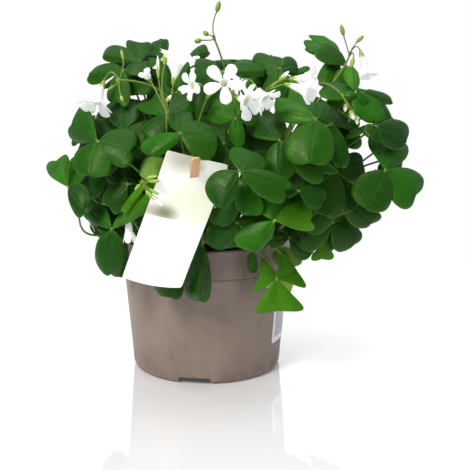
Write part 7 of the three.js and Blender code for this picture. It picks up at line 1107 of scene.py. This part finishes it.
WHITES = [MAT["stalk"], MAT["petal"], MAT["sepal"], MAT["anther"], MAT["bulb"]]
for i, (J, h1, h2, heads) in enumerate(STEMS):
    base = BASES[clumps + i]
    b = Build()
    seed = 0.13 * i + 0.05
    bulb(b, base, i * 0.53 + 3)
    b.m = [4] * len(b.m)
    pts = bezier((base[0], base[1], BASE_Z), h1, h2, J, 34)
    b.tube(pts, np.interp(np.linspace(0, 1, 34), [0, 0.1, 1], [1.05, 0.82, 0.62]), 9, 0, seed, (2.2, 0, 0))
    J = np.array(J, float)
    T = unit(pts[-1] - pts[-3])
    # bracts round the fork
    e1, e2 = frame_of(T)
    b.tube(J + T * np.linspace(-1.0, 0.9, 6)[:, None], [0.62, 0.80, 0.95, 0.95, 0.8, 0.5], 10, 0, seed, (2.8, 0, 0), y=(0.9, 1.0))
    for p in range(4):
        c = p * 1.6 + i
        rad = e1 * math.cos(c) + e2 * math.sin(c)
        tan = -e1 * math.sin(c) + e2 * math.cos(c)
        v = np.linspace(0, 1, 7)
        C = J + rad * np.interp(v, [0, 1], [0.7, 1.5])[:, None] + T * (v * 2.6 - 0.3)[:, None]
        strap(b, C, np.interp(v, [0, 0.4, 1], [0.6, 0.55, 0.06]), np.tile(tan, (7, 1)), np.tile(rad, (7, 1)), 0.15, np.full(7, -0.12), 2, (0.9, 0, 0), seed + p, nw=5)
    for k, h in enumerate(heads):
        B_, M_ = np.array(h[1:4], float), np.array(h[4:7], float)
        axis = unit(M_ - B_)
        ped = bezier(J, h[9:12], h[12:15], B_ + axis * 0.4, 18)
        b.tube(ped, np.interp(np.linspace(0, 1, 18), [0, 0.2, 0.85, 1], [0.50, 0.40, 0.40, 0.58]), 7, 0, seed + k, (2.6 if h[0] == "F" else 2.2, 0, 0), y=(0.75, 1.0))
        if h[0] == "F":
            flower(b, B_, M_, h[7], h[8], seed + 0.21 * k, h[15] if len(h) > 15 else 0.3)
        else:
            bud(b, B_, M_, h[7], float(h[8]), seed + 0.21 * k)
    b.make("flowers_%02d" % (i + 1), WHITES, "inflorescence_%02d" % (i + 1))


# ============================================================ pot
def lathe(build, profile, sides, mat, seed=0.0):
    """A closed profile turned round Z. Both ends lie on the axis."""
    prof = np.asarray(profile, float)
    ph = np.arange(sides) * 2 * math.pi / sides
    P = np.stack([prof[:, 0][:, None] * np.cos(ph), prof[:, 0][:, None] * np.sin(ph), np.repeat(prof[:, 1][:, None], sides, 1)], -1)
    ua = np.zeros(P.shape)
    ua[..., 0] = ph / (2 * math.pi)
    ua[..., 1] = prof[:, 1][:, None] / 100
    ua[..., 2] = seed
    first = build.points(P, ua, (0, 0, 0))
    idx = first + np.arange(len(prof) * sides).reshape(len(prof), sides)
    idx = np.concatenate([idx, idx[:, :1]], 1)
    q = np.stack([idx[:-1, :-1], idx[:-1, 1:], idx[1:, 1:], idx[1:, :-1]], -1).reshape(-1, 4)
    build.faces(q, mat)


def arc(cx, cz, r, a0, a1, n):
    return [(cx + r * math.cos(math.radians(a)), cz + r * math.sin(math.radians(a))) for a in np.linspace(a0, a1, n)]


def cutter(name, verts, faces):
    me = bpy.data.meshes.new(name)
    me.from_pydata([tuple(float(c) * MM for c in v) for v in verts], [], faces)
    me.validate()
    me.update()
    ob = bpy.data.objects.new(name, me)
    scene.collection.objects.link(ob)
    return ob


def subtract(ob, cutters, solver="EXACT"):
    for c in cutters:
        mod = ob.modifiers.new("cut", "BOOLEAN")
        mod.operation = "DIFFERENCE"
        mod.solver = solver
        mod.object = c
    dg = bpy.context.evaluated_depsgraph_get()
    me = bpy.data.meshes.new_from_object(ob.evaluated_get(dg))
    ob.modifiers.clear()
    old = ob.data
    ob.data = me
    bpy.data.meshes.remove(old)
    for c in cutters:
        cm = c.data
        bpy.data.objects.remove(c)
        bpy.data.meshes.remove(cm)


def prism_mesh(origin, ex, ey, ez, outline, d0, d1):
    o, ex, ey, ez = (np.asarray(q, float) for q in (origin, ex, ey, ez))
    n = len(outline)
    V = [o + ex * x + ey * y + ez * d for d in (d0, d1) for x, y in outline]
    A = np.array(outline)
    area = 0.5 * sum(A[i][0] * A[(i + 1) % n][1] - A[(i + 1) % n][0] * A[i][1] for i in range(n))
    F = [tuple(range(n))[::-1], tuple(range(n, 2 * n))] + [(i, (i + 1) % n, n + (i + 1) % n, n + i) for i in range(n)]
    if area * (np.cross(ex, ey) @ ez) * (d1 - d0) < 0:
        F = [f[::-1] for f in F]
    return V, F


k_ = math.sqrt(1 + POT_TAPER ** 2)
cr = POT_FOOT_R + POT_TAPER * POT_CORNER - POT_CORNER * k_
profile = [(0, 0.35)] + [(PAD_R - 1.2, 0.35), (PAD_R - 0.8, 0.0), (PAD_R - 0.2, 0.0)] + arc(PAD_R - 0.2, 0.6, 0.6, -90, 0, 4)
profile += [(PAD_R + 1.0, FLOOR_LOW - 0.4), (PAD_R + 1.6, FLOOR_LOW), (24, FLOOR_LOW), (FOOT_IN_R - 1.4, FLOOR_LOW), (FOOT_IN_R - 0.7, FLOOR_LOW - 0.4)]
profile += [(FOOT_IN_R - 0.1, 0.5), (FOOT_IN_R + 0.5, 0.0)]
profile += arc(cr, POT_CORNER, POT_CORNER, -90, -4.9, 12)
for z_ in np.linspace(7, BAND_Z - 1.6, 26):
    profile.append((wall_r(z_), z_))
profile += [(wall_r(BAND_Z - 0.75), BAND_Z - 0.75), (wall_r(BAND_Z - 0.35) + 0.05, BAND_Z - 0.35), (wall_r(BAND_Z) + 0.45, BAND_Z - 0.1), (BAND_R - 0.25, BAND_Z), (BAND_R, BAND_Z + 0.3)]
for z_ in np.linspace(BAND_Z + 1.2, POT_HEIGHT - 3.0, 7):
    profile.append((BAND_R + (RIM_R - 0.35 - BAND_R) * (z_ - BAND_Z) / (POT_HEIGHT - 2.6 - BAND_Z), z_))
profile += [(RIM_R - 0.25, POT_HEIGHT - 2.3)] + arc(RIM_R - 1.15, POT_HEIGHT - 1.15, 1.15, -10, 190, 12)
profile += [(wall_r(POT_HEIGHT - 2.6) - POT_WALL + 0.2, POT_HEIGHT - 2.0)]
for z_ in np.linspace(POT_HEIGHT - 4, FLOOR_TOP + 3, 16):
    profile.append((wall_r(z_) - POT_WALL, z_))
profile += [(wall_r(FLOOR_TOP + 1) - POT_WALL - 0.5, FLOOR_TOP + 0.9), (wall_r(FLOOR_TOP) - POT_WALL - 2.2, FLOOR_TOP), (30, FLOOR_TOP), (0, FLOOR_TOP)]
b = Build()
lathe(b, profile, 192, 0)
pot = b.make("pot_shell", [MAT["pot"]], "pot")
cuts = []
for deg in NOTCH_AZ:
    a = math.radians(deg)
    out, side = (math.cos(a), math.sin(a), 0), (-math.sin(a), math.cos(a), 0)
    w0, w1, hh = NOTCH["low"] / 2, NOTCH["top"] / 2, FLOOR_LOW - 0.2
    outline = [(-w0 - 0.4, -1), (w0 + 0.4, -1)] + [(w1 - 0.9 + 1.1 * math.cos(q), hh - 1.1 + 1.1 * math.sin(q)) for q in np.linspace(0, math.pi / 2, 5)]
    outline += [(-w1 + 0.9 - 1.1 * math.cos(q), hh - 1.1 + 1.1 * math.sin(q)) for q in np.linspace(math.pi / 2, 0, 5)]
    cuts.append(cutter("cut", *prism_mesh(np.array(out) * 50, side, (0, 0, 1), out, outline, -8.5, 9)))
for i in range(DRAIN["count"]):
    a = 2 * math.pi * (i + 0.5) / DRAIN["count"]
    ring = [(DRAIN["r"] * math.cos(q), DRAIN["r"] * math.sin(q)) for q in np.arange(24) * 2 * math.pi / 24]
    cuts.append(cutter("cut", *prism_mesh((DRAIN["at"] * math.cos(a), DRAIN["at"] * math.sin(a), 0), (1, 0, 0), (0, 1, 0), (0, 0, 1), ring, FLOOR_LOW - 1, FLOOR_TOP + 1)))
subtract(pot, cuts)
for p in pot.data.polygons:
    p.use_smooth = True
pot.data.set_sharp_from_angle(angle=math.radians(38))

# ============================================================ peat
b = Build()
inner = lambda z: wall_r(z) - POT_WALL
rr = np.concatenate([np.linspace(0, inner(SOIL_TOP) - 1.0, 40)])
ph = np.arange(144) * 2 * math.pi / 144
P = np.stack([rr[:, None] * np.cos(ph), rr[:, None] * np.sin(ph), np.zeros((len(rr), len(ph)))], -1)
flat = P.reshape(-1, 3)
h = 0.9 * fnoise(flat, 0.11, 1) + 0.7 * fnoise(flat, 0.35, 2) + 0.35 * fnoise(flat, 0.9, 3)
P[..., 2] = SOIL_TOP - 0.9 + h.reshape(P.shape[:2]) * smooth(0, 2, rr)[:, None]
side = [(inner(SOIL_TOP) - 0.5, SOIL_TOP - 1.6), (inner(70) - 0.4, 70), (inner(40) - 0.4, 40), (inner(FLOOR_TOP + 3.5) - 0.4, FLOOR_TOP + 3.5), (inner(FLOOR_TOP) - 2.8, FLOOR_TOP + 0.35), (0, FLOOR_TOP + 0.35)]
S = np.stack([np.array([r for r, _ in side])[:, None] * np.cos(ph), np.array([r for r, _ in side])[:, None] * np.sin(ph), np.repeat(np.array([z for _, z in side])[:, None], len(ph), 1)], -1)
P = np.concatenate([P, S])
idx = b.grid(P, (0, 0, 0.5), (0, 0, 0), 0, wrap=True, centre=np.tile((0, 0, 45.0), (len(P), 1)))
peat = b.make("peat_fill", [MAT["peat"]], "soil")
# crumbs, bits of bark and fibres lying on it
b = Build()
ico_v = np.array([(0, -1, 1.618), (0, 1, 1.618), (0, -1, -1.618), (0, 1, -1.618), (-1, 1.618, 0), (1, 1.618, 0), (-1, -1.618, 0), (1, -1.618, 0), (-1.618, 0, 1), (1.618, 0, 1), (-1.618, 0, -1), (1.618, 0, -1)], float)
ico_v /= np.linalg.norm(ico_v[0])
ico_f = []
for i in range(12):
    for j in range(i + 1, 12):
        for k in range(j + 1, 12):
            d = [np.linalg.norm(ico_v[p] - ico_v[q]) for p, q in ((i, j), (j, k), (i, k))]
            if max(d) < 1.1:
                c = (ico_v[i] + ico_v[j] + ico_v[k])
                ico_f.append((i, j, k) if np.cross(ico_v[j] - ico_v[i], ico_v[k] - ico_v[i]) @ c > 0 else (i, k, j))
ico_f = np.array(ico_f)


def surface_z(x, y):
    q = [(x, y, 0)]
    return SOIL_TOP - 0.9 + float(0.9 * fnoise(q, 0.11, 1)[0] + 0.7 * fnoise(q, 0.35, 2)[0] + 0.35 * fnoise(q, 0.9, 3)[0])


for i in range(1500):
    r_ = 56.3 * math.sqrt(RNG.random())
    a = RNG.uniform(0, 2 * math.pi)
    size = 0.35 + 1.15 * RNG.random() ** 2.2
    if r_ + size > 56.5:
        r_ = 56.5 - size
    x, y = r_ * math.cos(a), r_ * math.sin(a)
    q = ico_v * (1 + RNG.uniform(-0.28, 0.28, (12, 1)))
    q *= size * RNG.uniform(0.55, 1.25, 3)
    t_ = RNG.uniform(0, 2 * math.pi)
    q = q @ np.array([[math.cos(t_), math.sin(t_), 0], [-math.sin(t_), math.cos(t_), 0], [0, 0, 1]])
    first = b.points(q + (x, y, surface_z(x, y) + size * 0.25), (0, 0, float(RNG.random())), (0, 0, 0))
    b.faces(ico_f + first, 0)
for i in range(110):
    r_ = 52 * math.sqrt(RNG.random())
    a = RNG.uniform(0, 2 * math.pi)
    x, y = r_ * math.cos(a), r_ * math.sin(a)
    d = RNG.uniform(0, 2 * math.pi)
    ln = RNG.uniform(1.5, 5.0)
    bend = RNG.uniform(-0.8, 0.8)
    pts = []
    for t_ in np.linspace(-0.5, 0.5, 6):
        px, py = x + math.cos(d) * ln * t_ - math.sin(d) * bend * (t_ * t_ * 4), y + math.sin(d) * ln * t_ + math.cos(d) * bend * (t_ * t_ * 4)
        pts.append((px, py, surface_z(px, py) + 0.45 + 0.15 * math.sin(t_ * 9 + i)))
    if max(math.hypot(p[0], p[1]) for p in pts) < 56.5:
        b.tube(np.array(pts), 0.16, 5, 0, float(RNG.uniform(0.6, 1.0)), (0, 0, 0))
crumbs = b.make("peat_crumbs", [MAT["peat"]], None, merge=False)

# ============================================================ stick and care tag
s0, s1 = np.array(STICK["soil"]), np.array(STICK["top"])
s_len = np.linalg.norm(s1 - s0)
s_ax = (s1 - s0) / s_len
s_side = np.array(STICK["side"])
s_side = unit(s_side - s_ax * (s_side @ s_ax))
s_face = unit(np.cross(s_ax, s_side))


def stick_outline(w, low, high, n=9):
    pts = [(-w, low + 2), (-w * 0.45, low), (w * 0.45, low), (w, low + 2)]
    pts += [(w * math.cos(q), high - w + w * math.sin(q)) for q in np.linspace(0, math.pi, 2 * n + 1)]
    return pts


b = Build()
# rounded edges: loops pulled in towards both faces
w, low, high, th = STICK["w"] / 2, -STICK["buried"], s_len, STICK["t"] / 2
loops = []
for inset, depth in ((0.9, -th), (0.30, -th + 0.03), (0.10, -th + 0.14), (0.0, -th + 0.38), (0.0, th - 0.38), (0.10, th - 0.14), (0.30, th - 0.03), (0.9, th)):
    o = []
    for x, y in stick_outline(w - inset, low + inset, high - inset):
        o.append(s0 + s_side * x + s_ax * y + s_face * depth)
    loops.append(o)
P = np.array(loops)
n_ = P.shape[1]
flat = np.array([[(x / 10, y / 10, 0.3) for x, y in stick_outline(w - i_, low + i_, high - i_)] for i_ in (0.9, 0.3, 0.1, 0, 0, 0.1, 0.3, 0.9)])
ctr = np.tile(s0 + s_ax * 30, (8, 1))
idx = b.grid(P, flat, (0, 0, 0), 0, wrap=True, centre=P.mean(1))
for row, way in ((idx[0], -s_face), (idx[-1], s_face)):
    f = tuple(int(q) for q in row[:-1])
    A = P[0] if way is not s_face else P[-1]
    nrm = sum(np.cross(A[i], A[(i + 1) % n_]) for i in range(n_))
    if nrm @ way < 0:
        f = f[::-1]
    b.f.append(f)
    b.m.append(0)
stick = b.make("wooden_stick", [MAT["wood"]], "tag_stick")
stick.data.set_sharp_from_angle(angle=math.radians(40))

ex, ey = unit(TAG["across"]), np.array(TAG["up"])
ey = unit(ey - ex * (ex @ ey))
ez = np.cross(ex, ey)
tc = np.array(TAG["centre"])
hw_, hh_ = TAG["w"] / 2, TAG["h"] / 2
# where the stick goes through the card
t_hit = ((tc - s0) @ ez) / (s_ax @ ez)
hit = s0 + s_ax * t_hit - tc
hx, hy = hit @ ex, hit @ ey
nx_, ny_ = 28, 56
xs, ys = np.linspace(-1, 1, nx_ + 1), np.linspace(-1, 1, ny_ + 1)
b = Build()
P = np.zeros((ny_ + 1, nx_ + 1, 3))
ua = np.zeros_like(P)
for i, yy in enumerate(ys):
    for j, xx in enumerate(xs):
        px, py = xx * hw_, yy * hh_
        # rounded corners
        cx, cy = abs(px) - (hw_ - 1.2), abs(py) - (hh_ - 1.2)
        if cx > 0 and cy > 0:
            d = math.hypot(cx, cy)
            if d > 1.2:
                px, py = math.copysign(hw_ - 1.2 + cx * 1.2 / d, px), math.copysign(hh_ - 1.2 + cy * 1.2 / d, py)
        if yy < -0.4:
            py -= 1.6 * (1 - xx * xx) * float(smooth(-0.4, -1.0, yy))      # the lower edge is rounded
        free = smooth(4, 26, math.hypot(px - hx, py - hy))
        lift = free * (-0.9 * (px / hw_) ** 2 + 0.55 * math.sin(py / hh_ * 2.4 + 0.5) + 0.35)
        P[i, j] = tc + ex * px + ey * py + ez * (TAG["t"] / 2 + lift)
        ua[i, j] = (0.5 + px / hw_ / 2, 0.5 + py / hh_ / 2, 0.0)
top = b.grid(P, ua, (0, 0, 0), 0, out=ez)
ub_ = ua.copy()
ub_[..., 2] = 1.0
low_ = b.grid(P - ez * TAG["t"], ub_, (0, 0, 0), 0, out=-ez)
b.strip(top[:, 0], low_[:, 0], 0, -ex)
b.strip(top[:, -1], low_[:, -1], 0, ex)
b.strip(top[0], low_[0], 0, -ey)
b.strip(top[-1], low_[-1], 0, ey)
tag = b.make("care_card", [MAT["card"]], "care_tag")
tag.data.set_sharp_from_angle(angle=math.radians(40))
subtract(tag, [cutter("cut", *prism_mesh(s0, s_side, s_ax, s_face, stick_outline(w + 0.35, low, high + 0.3), -th - 0.3, th + 0.3))])
V = np.zeros(len(tag.data.vertices) * 3, np.float32)
tag.data.vertices.foreach_get("co", V)
V = V.reshape(-1, 3) / MM - tc
px, py, pz = V @ ex, V @ ey, V @ ez
free = smooth(4, 26, np.hypot(px - hx, py - hy))
lift = free * (-0.9 * (px / hw_) ** 2 + 0.55 * np.sin(py / hh_ * 2.4 + 0.5) + 0.35)
ua = np.stack([0.5 + px / hw_ / 2, 0.5 + py / hh_ / 2, (pz < lift).astype(float)], -1)
tag.data.attributes["ua"].data.foreach_set("vector", ua.astype(np.float32).ravel())

# ============================================================ blank sticker
b = Build()
na, nz = 40, 24
P = np.zeros((nz + 1, na + 1, 3))
ua = np.zeros_like(P)
half_w = (LABEL["az1"] - LABEL["az0"]) / 2 * math.pi / 180 * wall_r(33)
half_h = (LABEL["z1"] - LABEL["z0"]) / 2
for i in range(nz + 1):
    for j in range(na + 1):
        px, pz = (2 * j / na - 1) * half_w, (2 * i / nz - 1) * half_h
        cx, cz = abs(px) - (half_w - 1.5), abs(pz) - (half_h - 1.5)
        if cx > 0 and cz > 0:
            d = math.hypot(cx, cz)
            if d > 1.5:
                px, pz = math.copysign(half_w - 1.5 + cx * 1.5 / d, px), math.copysign(half_h - 1.5 + cz * 1.5 / d, pz)
        z_ = (LABEL["z0"] + LABEL["z1"]) / 2 + pz
        a = math.radians((LABEL["az0"] + LABEL["az1"]) / 2) + px / wall_r(33)
        r_ = wall_r(z_) + 0.16 + 0.25 * smooth(0.80, 1.0, -px / half_w) * smooth(0.75, 1.0, -pz / half_h)
        P[i, j] = (r_ * math.cos(a), r_ * math.sin(a), z_)
        ua[i, j] = (j / na, i / nz, 0)
mid_a = math.radians((LABEL["az0"] + LABEL["az1"]) / 2)
outv = np.array((math.cos(mid_a), math.sin(mid_a), 0))
rad = P.copy()
rad[..., 2] = 0
rad /= np.linalg.norm(rad, axis=2, keepdims=True)
top = b.grid(P, ua, (0, 0, 0), 0, out=outv)
low_ = b.grid(P - rad * 0.12, ua, (0, 1, 0), 0, out=-outv)
tanv = np.array((-math.sin(mid_a), math.cos(mid_a), 0))
b.strip(top[:, 0], low_[:, 0], 0, -tanv)
b.strip(top[:, -1], low_[:, -1], 0, tanv)
b.strip(top[0], low_[0], 0, np.array((0, 0, -1.0)))
b.strip(top[-1], low_[-1], 0, np.array((0, 0, 1.0)))
sticker = b.make("blank_label", [MAT["label"]], "sticker")

# ============================================================ floor, light
def floor_material():
    m, nt, sh = material("studio_floor")
    N = Nodes(nt)
    pos = N.coords()
    g = N.noise(pos, 3.0, 2.0, 0.5)
    c = N.ramp(g, [(0.3, (0.90, 0.90, 0.91)), (0.7, (0.92, 0.92, 0.925))])
    nt.links.new(c, sh.inputs["Base Color"])
    nt.links.new(N.mapr(g, 0.3, 0.7, 0.02, 0.04), sh.inputs["Roughness"])
    sh.inputs["IOR"].default_value = 3.4
    sh.inputs["Specular IOR Level"].default_value = 0.5
    glow = nt.nodes.new("ShaderNodeEmission")
    glow.inputs[1].default_value = 1.0
    p = nt.nodes.new("ShaderNodeVectorMath")
    p.operation = "LENGTH"
    nt.links.new(pos, p.inputs[0])
    mix = nt.nodes.new("ShaderNodeMixShader")
    nt.links.new(N.mapr(p.outputs["Value"], 0.20, 0.36, 0.04, 1.0), mix.inputs[0])
    nt.links.new(sh.outputs[0], mix.inputs[1])
    nt.links.new(glow.outputs[0], mix.inputs[2])
    out = next(n for n in nt.nodes if n.type == "OUTPUT_MATERIAL")
    nt.links.new(mix.outputs[0], out.inputs[0])
    return m


def glow_material():
    m = bpy.data.materials.new("studio_white")
    m.use_nodes = True
    nt = m.node_tree
    nt.nodes.clear()
    out = nt.nodes.new("ShaderNodeOutputMaterial")
    em = nt.nodes.new("ShaderNodeEmission")
    em.inputs[1].default_value = 1.0
    nt.links.new(em.outputs[0], out.inputs[0])
    return m


def stage_mesh(name, V, F, mat, seen_only=False):
    me = bpy.data.meshes.new(name)
    me.from_pydata(V, [], F)
    me.materials.append(mat)
    for p in me.polygons:
        p.use_smooth = True
    ob = bpy.data.objects.new(name, me)
    scene.collection.objects.link(ob)
    if seen_only:
        ob.visible_diffuse = ob.visible_glossy = ob.visible_transmission = ob.visible_shadow = False
    return ob


ph = np.arange(64) * 2 * math.pi / 64
V = [(0, 0, 0)] + [(0.5 * math.cos(a), 0.5 * math.sin(a), 0) for a in ph]
floor = stage_mesh("studio_floor", V, [(0, i + 1, (i + 1) % 64 + 1) for i in range(64)], floor_material())
V, F = [], []
prof = [(0.48, -0.0004), (8.0, -0.0004)] + [(8 * math.cos(a), 8 * math.sin(a)) for a in np.linspace(0.1, math.pi / 2 - 0.02, 12)]
for r, z in prof:
    V += [(r * math.cos(a), r * math.sin(a), z) for a in ph]
for i in range(len(prof) - 1):
    F += [(64 * i + k, 64 * i + (k + 1) % 64, 64 * (i + 1) + (k + 1) % 64, 64 * (i + 1) + k) for k in range(64)]
stage_mesh("studio_backdrop", V, F, glow_material(), True)


def area(name, loc, target, size, power, colour=(1, 1, 1), size_y=None):
    d = bpy.data.lights.new(name, "AREA")
    d.energy, d.color, d.shape, d.size = power, colour, "RECTANGLE", size
    d.size_y = size_y or size
    o = bpy.data.objects.new(name, d)
    scene.collection.objects.link(o)
    o.location = loc
    o.rotation_euler = (Vector(target) - Vector(loc)).to_track_quat("-Z", "Y").to_euler()
    return o


world = bpy.data.worlds.new("studio")
scene.world = world
world.use_nodes = True
bg = world.node_tree.nodes["Background"]
bg.inputs[0].default_value = (0.94, 0.96, 1.0, 1.0)
bg.inputs[1].default_value = 0.30
area("key", (-0.75, -1.0, 1.15), (0.0, 0.0, 0.12), 0.55, 25.0, (1.0, 0.985, 0.96))
fill = area("fill", (1.2, -0.9, 0.6), (0.0, 0.0, 0.12), 1.0, 5.2, (0.97, 0.98, 1.0))
fill.visible_glossy = False
area("top", (0.1, 0.1, 1.5), (0.0, 0.0, 0.1), 1.2, 10.0)
back = area("back", (0.3, 1.3, 0.9), (0.0, 0.0, 0.12), 1.0, 6.0)
back.visible_glossy = False

# one wide panel far behind lights nothing but the floor, and shows in it round the pot
panel = area("panel", (0.0, 3.2, 2.0), (0.0, 0.0, 0.6), 9.0, 130.0, (1, 1, 1), 4.6)
only_floor = bpy.data.collections.new("lit_by_panel")
only_floor.objects.link(floor)
panel.light_linking.receiver_collection = only_floor
